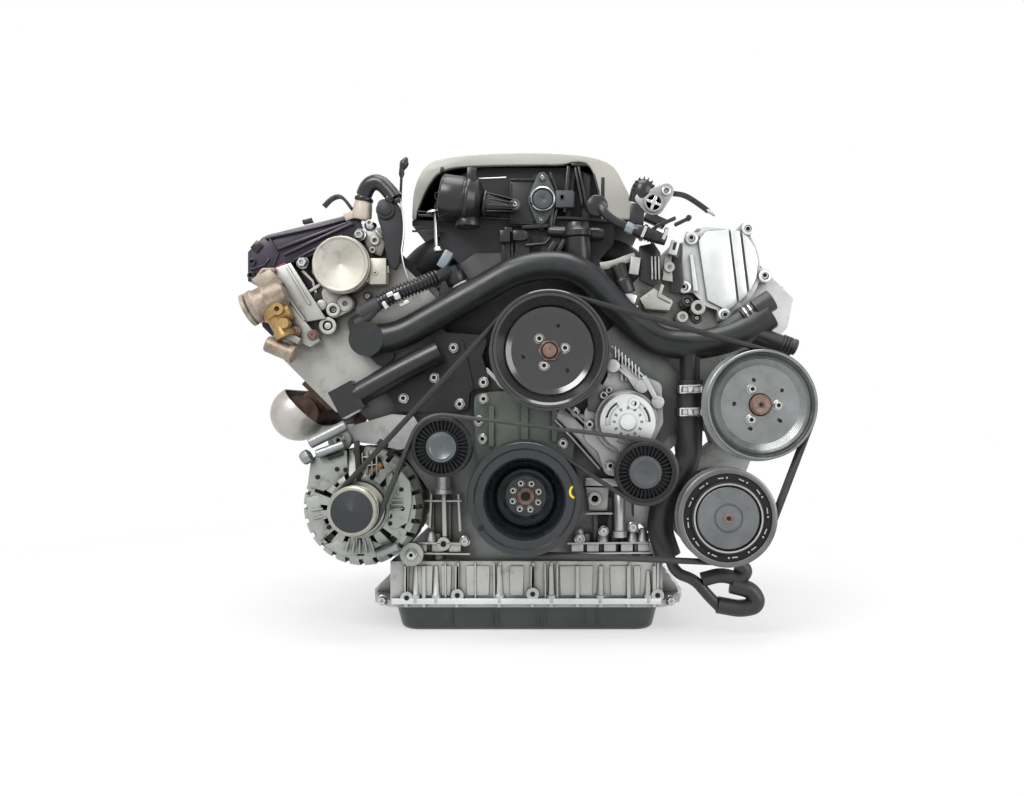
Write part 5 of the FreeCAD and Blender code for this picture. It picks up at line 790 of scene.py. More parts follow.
def grown(kind, host, shape, material, **values):
    """Runs a tree on a mesh in millimetres with one shape, and gives the plain mesh back."""
    if kind not in TREES:
        TREES[kind] = {"spots": spots_tree, "ring": ring_tree, "path": path_tree}[kind]()
    tree = TREES[kind]
    carrier = linked(bpy.data.objects.new("carrier", host))
    sample = linked(bpy.data.objects.new("sample", shape))
    modifier = carrier.modifiers.new("Repeat", "NODES")
    modifier.node_group = tree.group
    modifier[tree.sockets["Shape"]] = sample
    modifier[tree.sockets["Finish"]] = finish(material)
    for title, value in values.items():
        modifier[tree.sockets[title]] = value
    mesh = evaluated(carrier, sample)
    if not mesh.vertices:
        raise RuntimeError(f"the {kind} tree made nothing")
    return mesh


def points_mesh(points):
    return new_mesh("points", points, [])


def line_mesh(points, smooth=10):
    """The edges of a smooth line through points."""
    return evaluated(linked(spline(points, 0.0, smooth)))


def hex_head(across, height, washer):
    """A hexagon head that stands on y = 0 and points to -Y, with its corners cut and a round seat."""
    sides = 6
    big, small = across / 2 / math.cos(math.pi / 6), across / 2 * 0.93
    levels = [(big, 0.0), (big, -height * 0.8), (small, -height), (small * 0.55, -height),
              (small * 0.5, -height * 0.7)]
    vertices = []
    for radius, y in levels:
        for i in range(sides):
            angle = math.pi * 2 * i / sides
            vertices.append((radius * math.cos(angle), y, radius * math.sin(angle)))
    head = skinned("hex_head", vertices, len(levels), sides)
    plate = turned([(0.05, 0.6), (washer, 0.6), (washer, -0.7), (washer - 0.8, -1.2), (0.05, -1.2)], (0, 0, 0), 20)
    return joined([head, plate])


def socket_head(radius, height):
    """A round head with a star-shaped recess, standing on y = 0."""
    points = 12
    vertices = []
    levels = [(radius, radius, 0.0), (radius, radius, -height + 0.8), (radius - 0.8, radius - 0.8, -height),
              (radius * 0.56, radius * 0.46, -height), (radius * 0.56, radius * 0.46, -height * 0.35)]
    for out, inside, y in levels:
        for i in range(points):
            r, angle = (out if i % 2 else inside), math.pi * 2 * i / points
            vertices.append((r * math.cos(angle), y, r * math.sin(angle)))
    return skinned("socket_head", vertices, len(levels), points)


def screws(name, places, shape, material="zinc", body=ENGINE, replaces=()):
    """Like screws at many places on one body."""
    mesh = grown("spots", points_mesh(places), shape, material)
    return piece(name, mesh, material, body, replaces=replaces, slot=None, angle=30)


def bolts_over(node, radius, height, body=ENGINE, head=5.0):
    """Round bolts with a near-black disc in each recess, painted shade, in place of a packed group, at the same seats.
    """
    places, length = [], 0.0
    for low, high in islands(node):
        places.append(((low.x + high.x) / 2, low.y + head, (low.z + high.z) / 2))
        length = max(length, high.y - low.y - head)
    collar = turned([(0.05, 0.4), (radius, 0.4), (radius, -0.9), (radius - 0.7, -1.5), (0.05, -1.5)], (0, 0, 0), 24)
    whole = joined([socket_head(radius * 0.76, height), collar, rod((0, 0, 0), (0, length, 0), 3, sides=12)])
    screws(node + "_heads", places, whole, "zinc", body, replaces=[node])
    # Painted shade: a near-black disc at the bottom of each bolt's recess.
    pit = disc(0, 0, radius * 0.36, -height * 0.62, -height * 0.3, sides=12)
    screws(node + "_pits", places, pit, "pit", body)


# Pieces

class EngineFinishes(bpy.types.PropertyGroup):
    cover_colour: bpy.props.FloatVectorProperty(
        name="Cover colour", description="Colour of the arched cover over the intake", subtype="COLOR", size=3,
        min=0, max=1, default=(0.37, 0.365, 0.325))


class EngineSizes(bpy.types.PropertyGroup):
    cover_thickness: bpy.props.FloatProperty(
        name="Cover thickness", description="Wall of the arched cover", unit="LENGTH", default=0.0045, min=0.002,
        max=0.008)
    camera_distance: bpy.props.FloatProperty(
        name="Camera distance", description="From the camera to the belt plane", unit="LENGTH", default=1.1, min=0.5,
        max=4)


class OBJECT_OT_engine_castings(bpy.types.Operator):
    """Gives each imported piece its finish"""
    bl_idname = "object.engine_castings"
    bl_label = "Castings and pulleys"

    def execute(self, context):
        for name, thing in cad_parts.items():
            kind = NODE_FINISH.get(name, "steel")
            thing.data.materials.clear()
            thing.data.materials.append(finish(kind))
        return {"FINISHED"}


class OBJECT_OT_engine_arched_cover(bpy.types.Operator):
    """Builds the arched cover over the intake, with its dark lining"""
    bl_idname = "object.engine_arched_cover"
    bl_label = "Arched cover"

    def execute(self, context):
        low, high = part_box("engine_cover")
        y_front, y_back, foot = low.y / MM, high.y / MM, low.z / MM
        wall = context.scene.engine_sizes.cover_thickness * 1000
        outer = [(-138.5, foot), (-137, 366), (-122, 396), (-96, 403), (-60, 407), (0, 409), (52, 407), (82, 403),
                 (104, 394), (116, 372), (125, 354), (128, foot + 9), (136.5, foot)]
        opening = [(-134, foot), (-131, 342), (-120, 368), (-104, 389.5), (-56, 393), (0, 394), (45, 394), (52, 397),
                   (72, 396.5), (80, 385), (86, 362), (88, 337), (90, foot)]
        outer, opening = eased(outer, 8), eased(opening, 5)
        inner = [(x * (1 - wall / 138), foot if z <= foot else z - wall) for x, z in outer]
        shell = self.loft(outer, inner, y_front + 3, y_back)
        back = slab(outer, y_back - wall, y_back)
        face = self.loft(outer, [self.along(opening, i / (len(outer) - 1)) for i in range(len(outer))],
                         y_front, y_front + 9)
        paint = moulded("cover_moulding", tuple(context.scene.engine_finishes.cover_colour), 0.36, 0.3, 900, 0.12, 0.2)
        piece("arched_cover", [shell, back, face], paint, bevel=1.6, steps=3, replaces=["engine_cover"],
              slot="beige_cover", angle=50)
        lining = [(x * 0.955, foot if z <= foot else z - wall - 1.5) for x, z in outer]
        thin = [(x * 0.99, foot if z <= foot else z - 1.2) for x, z in lining]
        piece("cover_lining", self.loft(lining, thin, y_front + 9.2, y_back - wall - 1), "black_plastic")
        rim = strip([(80.5, 384), (86.5, 362), (88.5, 337)], 3, y_front, y_front + 6)
        piece("cover_edge_seal", rim, "seal", bevel=0.8)
        piece("cover_latch", brick(5, 7, 26, (91, y_front + 3, 366)), "black_gloss", bevel=1.0)
        return {"FINISHED"}

    def along(self, line, share):
        """The point at a share of a line, counted in its corners."""
        place = share * (len(line) - 1)
        i = min(int(place), len(line) - 2)
        a, b = Vector(line[i]), Vector(line[i + 1])
        return tuple(a.lerp(b, place - i))

    def loft(self, outer, inner, y_front, y_back):
        """A band between two open outlines of as many points, given depth and closed at its feet."""
        return slab(outer + inner[::-1], y_front, y_back)


FLAP = (18.8, 0, 350.6)  # middle of the round flange on the intake


class OBJECT_OT_engine_intake_front(bpy.types.Operator):
    """Builds the mouldings on the front of the intake: flap plate, ring, can, struts and connectors"""
    bl_idname = "object.engine_intake_front"
    bl_label = "Intake front"

    def execute(self, context):
        y = front("intake_manifold") + 6
        plate = [
            slab([(-20, 376), (9, 376), (12, 366), (12, 330), (6, 321), (-20, 323)], y - 2.5, y + 1),
            strip([(-20, 375), (9, 375)], 2.2, y - 5, y),
            strip([(-19, 371), (-19, 326)], 1.6, y - 4, y),
            strip([(-20, 323), (7, 322)], 1.8, y - 4.5, y),
        ]
        piece("flap_plate", plate, "black_plastic", bevel=0.6)
        lobes = [lobed([(18.3, 377.4, 6.4), (18.8, 350.6, 17.5), (16.5, 326.6, 6.2)], y - 5.5, y)]
        for x, z in ((18.3, 377.4), (16.5, 326.6)):
            lobes.append(disc(x, z, 5, y - 7, y - 4, 2.6, 1.2))
        piece("flap_flange", lobes, "grey_plastic", bevel=0.8)
        screws("flap_screws", [(18.3, y - 5.9, 377.4), (16.5, y - 5.9, 326.6)], socket_head(2.5, 2.0), "zinc")
        ring = turned([(11.7, y - 6), (12.2, y - 10.5), (13.6, y - 12), (15, y - 11.2), (15.8, y - 9), (15.8, y - 5)],
                      FLAP, 64)
        piece("flap_ring", ring, "clamp", angle=50)
        cap = [(0.05, y - 9.4), (1.6, y - 9.6), (2.2, y - 10.2), (10.4, y - 10.4), (11.6, y - 9.6), (11.6, y - 5),
               (0.05, y - 5)]
        piece("flap_cap", turned(cap, FLAP, 64), "grey_plastic", angle=50)
        box = [brick(21, 13, 20, (45, y - 3, 351)), brick(4, 5, 19, (55, y - 2, 351)),
               strip([(40, 356), (40, 350), (44, 350), (44, 356)], 1.4, y - 10.4, y - 9)]
        box += [disc(36.5, 351, 4, y - 8, y), brick(3, 3, 26, (30, y - 3, 330), 8)]
        piece("flap_connector", box, "grey_plastic", bevel=1.0)
        self.can()
        self.struts(y)
        self.sockets(y)
        return {"FINISHED"}

    def can(self):
        """The vacuum can with its snout."""
        level = front("runner_actuator") + 27
        left, right = Vector((-102, level, 352.8)), Vector((-10, level, 339))
        body = [(0, 22.5), (1.2, 25), (3, 26), (26, 26.4), (28, 25.4), (30, 25.6), (31, 28.4), (34.5, 28.6), (36, 27.4),
                (43, 24.6), (48, 18), (50.5, 13), (50.5, 11)]
        shapes = [barrel(left, right, body, 64)]
        shapes.append(brick(11, 20, 16, (-64, level - 8, 374), 7))
        shapes.append(brick(4, 6, 6, (-99, level - 10, 381), 7))
        shapes.append(strip([(-104, 357), (-108, 355), (-108, 349), (-104, 347)], 1.8, level - 3, level + 3))
        piece("actuator_can", shapes, "black_gloss", bevel=0.9, replaces=["runner_actuator"],
              angle=45)
        snout = [barrel((-52, level, 344.5), right, [(0, 14.5), (2, 16.5), (4, 16.5), (5, 13.6), (38, 8.6), (41, 6.5)],
                        40)]
        for offset in (-9, -3, 3, 9):
            snout.append(slab([(-48, 343 + offset * 1.2), (-48, 344.8 + offset * 1.2), (-13, 340 + offset * 0.75),
                               (-13, 338.6 + offset * 0.75)], level - 14 + abs(offset) * 0.4, level - 4))
        snout.append(barrel((-70, level, 316), (-70, level, 332), [(0, 15), (10, 14), (16, 10)], 28))
        piece("actuator_snout", snout, "black_gloss", bevel=0.6, angle=45)
        piece("actuator_eye", disc(-13.6, 340.5, 6.4, level - 10.5, level - 6, 3.4, 2), "grey_plastic", bevel=0.5)
        screws("actuator_eye_screw", [(-13.6, level - 8.9, 340.5)], socket_head(3.2, 2.4), "zinc")
        piece("actuator_rod", rod((-57, level - 4, 372), (-24, level - 4, 373.5), 0.9, sides=10), "clamp")

    def struts(self, y):
        """Slanted ribs beside the opening, and the wall behind them: a dark plate behind the block's front, painted
        shade for the deep gap there.
        """
        bars = [strip([(50, 392), (45, 336)], 4, y - 3, y + 6), strip([(58, 390), (66, 344)], 3, y - 5, y + 4),
                strip([(62, 391), (71, 344)], 3, y - 5, y + 4), strip([(53, 393), (72, 393)], 3.4, y - 5, y + 4),
                strip([(28, 384), (36, 362)], 3, y - 4, y + 3), strip([(36, 341), (31, 318)], 3, y - 4, y + 3)]
        # Painted shade: a black plate set behind the block's front, where the gap between the parts lies deep in shade.
        valley = slab([(-112, 176), (-104, 258), (-62, 288), (76, 288), (112, 262), (122, 176), (60, 150), (-60, 150)],
                      BLOCK_FRONT + 12, BLOCK_FRONT + 20)
        piece("valley_moulding", valley, "black_plastic", bevel=1.2)
        piece("intake_struts", bars, "black_gloss", bevel=1.0)
        lip = [strip(eased([(-131, 333), (-60, 331), (20, 328), (40, 331), (100, 326)]), 3, y - 1, y + 8),
               strip([(-138, 314), (-100, 314)], 1.6, y - 2, y + 3),
               strip([(-131, 337), (-108, 336)], 1.2, y - 4, y + 2)]
        piece("intake_seams", lip, "black_gloss", bevel=0.7)

    def sockets(self, y):
        """Plugs and pipes below the opening."""
        fronts = [brick(12, 14, 14, (-26, y - 6, 306)), brick(15, 12, 12, (-9, y - 6, 307)),
                  brick(4, 8, 9, (-1, y - 8, 307)),
                  strip([(-28, 300), (-27, 272)], 2.4, y - 6, y), strip([(-18, 300), (-17, 272)], 2.4, y - 6, y),
                  strip([(-12, 300), (-8, 275)], 2.4, y - 6, y), brick(9, 8, 6, (-22, y - 8, 314)),
                  strip([(-2, 296), (22, 298), (29, 307), (40, 308)], 3.2, y - 7, y),
                  strip([(24, 284), (34, 300)], 6, y - 9, y), strip([(36, 286), (46, 303)], 5, y - 9, y),
                  strip([(-6, 318), (26, 320)], 4.5, y - 5, y + 2)]
        piece("intake_plugs", fronts, "black_gloss", bevel=0.9)
        pipe = [barrel((62, y - 6, 270), (60, y - 6, 322),
                       [(0, 13), (6, 15.5), (34, 16), (36, 19), (42, 19), (44, 16.5), (52, 15)], 40),
                barrel((25, y - 6, 313), (92, y - 6, 309), [(0, 5), (3, 7), (60, 8), (67, 6)], 28)]
        piece("intake_pipe", pipe, "black_gloss", angle=45)
        post = [rod((-108, y - 10, 292), (-109, y - 10, 334), 1.9, sides=16),
                rod((-111, y - 10, 334), (-111.3, y - 10, 336.4), 8.5, 7.5, sides=24)]
        piece("cover_stud", post, "clamp")
        piece("cover_stud_nut", [rod((-105, y - 10, 288), (-105.5, y - 10, 293.5), 6.5, 5, 6)], "zinc", bevel=0.6)


class OBJECT_OT_engine_breather(bpy.types.Operator):
    """Builds the breather valve with its bracket and the hose to the intake"""
    bl_idname = "object.engine_breather"
    bl_label = "Breather valve"

    def execute(self, context):
        y = HEAD_FRONT - 14
        cap = barrel((131, y + 4, 340), (140, y - 2, 368), [(0, 12.5), (14, 13.5), (20, 13), (26, 10), (29, 5)], 40)
        ribs = grown("ring", points_mesh([(0, 0, 0)]), brick(2.4, 22, 1.4, (0, 0, 0)), "black_gloss", Count=14,
                     Radius=11.6, Centre=(136.5, y + 2, 356), Start=0.2)
        piece("breather_cap", [cap, ribs], "black_gloss", angle=40)
        plate = [lobed([(161.9, 351.8, 9), (147.2, 337.9, 14), (132, 343, 6)], y - 10, y - 6),
                 disc(147.2, 337.9, 11, y - 14, y - 9, 8.6, 4)]
        piece("breather_plate", plate, "grey_metal", bevel=0.8, replaces=["breather_valve"])
        cross = [brick(17, 3, 3.4, (147.2, y - 12, 337.9), 20), brick(3.4, 3, 17, (147.2, y - 12.3, 337.9), 20),
                 disc(147.2, 337.9, 3.4, y - 14.6, y - 10)]
        piece("breather_cross", cross, "clamp", bevel=0.6)
        piece("breather_eye", disc(161.9, 351.8, 5.2, y - 12, y - 8, 3.2, 3), "clamp", bevel=0.5)
        body = [brick(16, 22, 24, (129, y + 2, 326), 4), brick(26, 18, 10, (150, y, 320), 24),
                strip([(150, 311), (173, 321)], 4.2, y - 12, y - 4),
                strip([(172, 313), (191, 322)], 4.2, y - 11, y - 3),
                strip([(140, 306), (172, 322)], 3.2, y - 6, y + 8), disc(188, 321, 3.4, y - 12, y - 2)]
        piece("breather_body", body, "black_gloss", bevel=1.2)
        strap = strip(eased([(171, 350.5), (184, 349), (197, 341), (212, 330)]), 4.6, y - 6, y + 2)
        piece("breather_strap", strap, "black_plastic", bevel=1.0)
        piece("breather_strap_end", strip([(210, 331), (220, 325)], 3.4, y - 7, y), "cast_bright", bevel=0.8)
        elbow = [hose([(83, y + 10, 338), (84, y - 6, 336), (98, y - 10, 318), (119, y - 10, 309)], 5.4, 12)]
        elbow.append(barrel((80.5, y + 12, 336.5), (82.5, y - 8, 335.5), [(0, 11), (16, 12.6), (19, 12.6), (20.5, 11)],
                            40))
        piece("breather_hose", elbow, "black_gloss", angle=50)
        nut = barrel((115, y - 10, 311.5), (126, y - 10, 305.8), [(0, 5.5), (1, 6.8), (10, 6.8), (11, 5.5)], 6)
        piece("breather_nut", nut, "blue_plastic", bevel=0.7, angle=25)
        rings = [barrel((133.5, y - 10, 304.5), (138, y - 10, 302.6), [(0, 9), (0.8, 10.2), (4.2, 10.2), (5, 9)], 40),
                 barrel((157.5, y - 10, 301.5), (162.5, y - 10, 299.6), [(0, 8), (0.8, 9.4), (4.4, 9.4), (5, 8)], 40)]
        piece("breather_rings", rings, "clamp", angle=40)
        sleeve = [(0, 6), (4, 8)]
        for i in range(5):
            sleeve += [(8 + i * 4, 8.6), (9.6 + i * 4, 8.6), (10 + i * 4, 7.4), (11.6 + i * 4, 7.4)]
        piece("breather_sleeve", barrel((124, y - 10, 308), (166, y - 10, 293), sleeve + [(40, 6)], 36), "black_gloss",
              angle=40)
        return {"FINISHED"}


VACUUM_PUMP = (-213.4, 0, 266.8)


class OBJECT_OT_engine_left_head(bpy.types.Operator):
    """Builds what covers the front of the left head: cam cover, casting bosses, vacuum pump, long bracket"""
    bl_idname = "object.engine_left_head"
    bl_label = "Left head front"

    def execute(self, context):
        y = HEAD_FRONT
        self.cover(y)
        self.casting(y)
        self.pump(front("vacuum_pump"))
        self.bracket(y)
        return {"FINISHED"}

    def cover(self, y):
        """The black cover's front wall with its long ribs."""
        outline = [(-326, 249), (-326, 284), (-309, 301), (-303, 304), (-206, 328), (-196, 326), (-190, 308),
                   (-203, 300),
                   (-262, 275), (-283, 268), (-300, 263), (-312, 250)]
        ribs = [strip([(-305, 299), (-240, 313.5), (-205, 323)], 2.6, y - 13, y - 4),
                strip([(-290, 286.5), (-204, 318.5)], 3.4, y - 15, y - 5),
                strip([(-283, 279.5), (-201, 317)], 3.4, y - 16, y - 5),
                strip([(-272, 273.5), (-214, 303)], 3.0, y - 14, y - 5),
                strip([(-300, 300), (-290, 282), (-296, 266)], 3.0, y - 12, y - 5),
                strip([(-324, 262), (-306, 268), (-300, 276)], 2.4, y - 12, y - 5)]
        piece("left_cover_front", [slab(outline, y - 9, y + 6)] + ribs, "purple_black", bevel=1.2)
        lugs = [disc(-321, 256, 4.6, y - 13, y - 5, 2.4), disc(-320, 272, 4, y - 12, y - 5, 2.2),
                brick(12, 8, 5, (-257, y - 2, 321), -14), brick(10, 10, 12, (-315, y - 6, 290), 40)]
        piece("left_cover_lugs", lugs, "black_gloss", bevel=0.9, slot="black_plastic")
        piece("left_cover_gasket", strip([(-296, 263.5), (-281, 270.5)], 2.2, y - 11.5, y - 6), "red_seal", bevel=0.4)
        screws("left_cover_bolts", [(-194.7, y - 11, 303.5), (-261.1, y - 11, 271.1)], hex_head(11, 6, 7.4))

    def casting(self, y):
        """Raised slab, bosses and webs of the head's front."""
        slope = [(-300, 262), (-275, 271), (-234, 206), (-257, 202)]
        webs = [slab(slope, y - 12, y + 1), strip([(-279, 267), (-252, 222)], 2.6, y - 15, y - 10),
                strip([(-298, 258), (-258, 203)], 2.6, y - 15, y - 10),
                strip([(-256, 236), (-240, 246)], 3.4, y - 10, y),
                strip([(-262, 262), (-250, 250), (-246, 236)], 3, y - 9, y)]
        webs += [lobed([(-212, 223.5, 10), (-226, 215, 8), (-232, 236, 8)], y - 7, y + 1),
                 disc(-212, 223.5, 9, y - 10, y, 3.2), disc(-225.5, 216, 8, y - 12, y, 4.4),
                 disc(-240, 222, 6, y - 8, y),
                 disc(-232.5, 197.5, 10, y - 9, y, 6), disc(-232.5, 197.5, 4, y - 8, y - 1)]
        webs += [slab([(-188, 311), (-170, 313), (-164, 296), (-170, 279), (-184, 284), (-190, 298)], y - 8, y + 4),
                 disc(-177, 297, 5.5, y - 11, y - 6, 2.6), disc(-180, 286, 4, y - 10, y - 6, 1.8),
                 strip([(-176, 309), (-168, 300)], 2.4, y - 11, y - 6)]
        piece("left_head_casting", webs, "cast_head", bevel=1.1)
        piece("left_head_plug", [disc(-185.4, 232, 5.6, y - 10, y, 3.2)], "black_gloss", bevel=0.7,
              slot="black_plastic")
        screws("left_head_screws", [(-225.5, y - 5, 216), (-185.4, y - 8.6, 232)], socket_head(3.2, 3), "zinc")
        knob = [barrel((-186, y - 4, 311), (-178, y - 8, 322), [(0, 5), (3, 7), (9, 7), (12, 4)], 24),
                disc(-183, 317, 4, y - 14, y - 6, 2)]
        piece("left_head_fitting", knob, "clamp")

    def pump(self, y):
        """The vacuum pump's flat round face with its rolled rim, side box and cover."""
        face = [(0.05, y - 1.0), (28.5, y - 1.0), (29.5, y - 2.2), (31.6, y - 2.4), (32.4, y - 1.2), (32.4, y + 3),
                (33.6, y + 4), (33.6, y + 9), (32, y + 10), (32, y + 34), (0.05, y + 34)]
        box = [brick(19, 22, 30, (-171.5, y + 17, 259.5)), brick(6, 20, 24, (-184, y + 18, 259.5)),
               brick(3, 10, 8, (-161, y + 15, 262)), disc(-174, 257.5, 2.4, y + 4, y + 8, 1.2)]
        piece("vacuum_pump_shell", [turned(face, VACUUM_PUMP, 72)] + box, "cast_vacuum", bevel=0.7,
              replaces=["vacuum_pump"], angle=40)
        ears = [lobed([(-246, 262, 6), (-225, 262, 12)], y + 22, y + 34),
                lobed([(-213, 300, 5), (-213, 285, 12)], y + 24, y + 34)]
        piece("vacuum_pump_ears", ears, "cast_head", bevel=0.9)

    def bracket(self, y):
        """The long black bracket, the beige fitting, its elbow and the strap."""
        y = y - 10
        outline = eased([(-174, 332), (-172, 343), (-161, 345), (-149, 341), (-143, 324), (-143, 296), (-149, 261),
                         (-160, 264), (-166, 302), (-172, 320)], 4)
        holder = [slab(outline, y - 8, y + 6), disc(-163, 331, 11, y - 11, y - 4), disc(-163, 331, 7, y - 13, y - 10)]
        piece("long_bracket", holder, "black_plastic", bevel=1.6, replaces=["harness_bracket"])
        clip = [brick(9, 6, 6, (-158, y - 10, 343), 30), brick(7, 6, 5, (-149, y - 9, 342), -20)]
        piece("long_bracket_clips", clip, "black_gloss", bevel=0.8)
        wire = hose([(-146, y - 9, 342), (-142, y - 9, 322), (-142, y - 9, 300), (-146, y - 9, 276),
                     (-137, y - 9, 252)], 1.0)
        piece("earth_wire", wire, "clamp")
        fitting = barrel((-194, y + 4, 322), (-189, y + 2, 352),
                         [(0, 11), (4, 12), (20, 10.4), (22, 8.6), (32, 8.6), (34, 7)], 36)
        piece("beige_neck", [fitting, brick(26, 14, 9, (-200, y + 4, 328), -20)], "beige_fitting", bevel=1.0, angle=45)
        rings = [barrel((-190.5, y + 2, 343), (-189.5, y + 2, 348), [(0, 10), (1, 11), (4, 11), (5, 10)], 36)]
        rings.append(hose([(-190, y + 2, 350), (-186, y, 362), (-172, y - 2, 366), (-160, y - 4, 355),
                           (-152, y - 6, 344)], 9.4, 12))
        piece("neck_elbow", rings, "black_gloss", angle=50)
        knob = [barrel((-148, y + 4, 341), (-146, y + 4, 383), [(0, 1.6), (30, 1.6), (34, 3.4), (42, 3)], 16),
                barrel((-146, y + 4, 381), (-140, y + 4, 396), [(0, 3), (5, 5), (9, 5.4), (12, 3.4), (15, 2)], 20)]
        piece("dipstick_knob", knob, "black_gloss", angle=40)
        strap = strip(eased([(-237, 337), (-229, 346), (-219, 350), (-212, 345), (-204, 334)]), 3.6, y - 2, y + 8)
        piece("left_strap", strap, "black_plastic", bevel=0.9)
        y = y + 17
        body = [brick(11, 12, 22, (-96.5, y, 277), 30)]
        piece("sensor_shell", body, "blue_plastic", bevel=1.4)
        stem = [(0, 6), (2, 9.5), (9, 10), (10, 12.6), (20, 12.8), (22, 11.4), (29, 11.4), (31, 9)]
        piece("sensor_body", barrel((-91, y, 268), (-76, y, 240), stem, 36), "black_gloss",
              angle=40)
        ring = barrel((-80.5, y, 248.5), (-79, y, 245.7), [(0, 11.5), (1, 13), (3, 13), (3.4, 11.5)], 36)
        piece("sensor_ring", ring, "clamp", angle=40)


class OBJECT_OT_engine_air_valve(bpy.types.Operator):
    """Builds the rusty air valve under the left head, with its brass fitting"""
    bl_idname = "object.engine_air_valve"
    bl_label = "Air valve"

    def execute(self, context):
        y = HEAD_FRONT - 21
        can = [(0, 17), (2, 19.5), (8, 20), (10, 18.4), (22, 18.4), (24, 16.5), (40, 15), (44, 11)]
        disc_end = [(-6, 17), (-5, 19.6), (-1, 19.6), (0, 17.4)]
        shapes = [barrel((-318, y, 216), (-282, y, 234), can, 44), barrel((-318, y, 216), (-282, y, 234), disc_end, 44)]
        piece("air_valve_can", shapes, "valve_iron", replaces=["air_valve"], angle=40)
        collar = [strip([(-318, 246), (-306, 262), (-292, 262)], 5, y + 4, y + 16),
                  slab([(-318, 250), (-296, 262), (-282, 246), (-302, 232)], y - 3, y + 12),
                  brick(14, 12, 10, (-306, y + 4, 248), 30)]
        piece("air_valve_collar", collar, "valve_iron", bevel=1.2)
        brass = [barrel((-298, y - 2, 226), (-278, y - 2, 184),
                        [(0, 9), (3, 12), (10, 12), (12, 14), (22, 14), (24, 11),
                         (40, 10), (44, 12), (48, 12)], 30),
                 barrel((-288, y - 4, 206), (-268, y - 4, 214), [(0, 8), (16, 9), (18, 7)], 24),
                 disc(-283, 214, 7, y - 20, y - 4, 3), disc(-276, 198, 6, y - 18, y - 4)]
        piece("air_valve_brass", brass, "brass", angle=38)
        flange = [slab([(-300, 262), (-258, 203), (-240, 180), (-252, 172), (-272, 182), (-312, 246)], y + 7, y + 20.5),
                  strip([(-284, 190), (-262, 178)], 8, y - 3, y + 8)]
        piece("air_valve_flange", flange, "cast_head", bevel=1.2)
        pipe = barrel((-300, y, 176), (-262, y, 160), [(0, 8.8), (2, 9.6), (26, 9.6), (28, 11), (34, 11), (36, 9)], 32)
        piece("air_valve_outlet", pipe, "valve_iron", angle=40)
        screws("air_valve_bolts", [(-268, y + 3, 190), (-248, y + 6.2, 186)], hex_head(9, 5, 6.4), "rusty_nut")
        return {"FINISHED"}


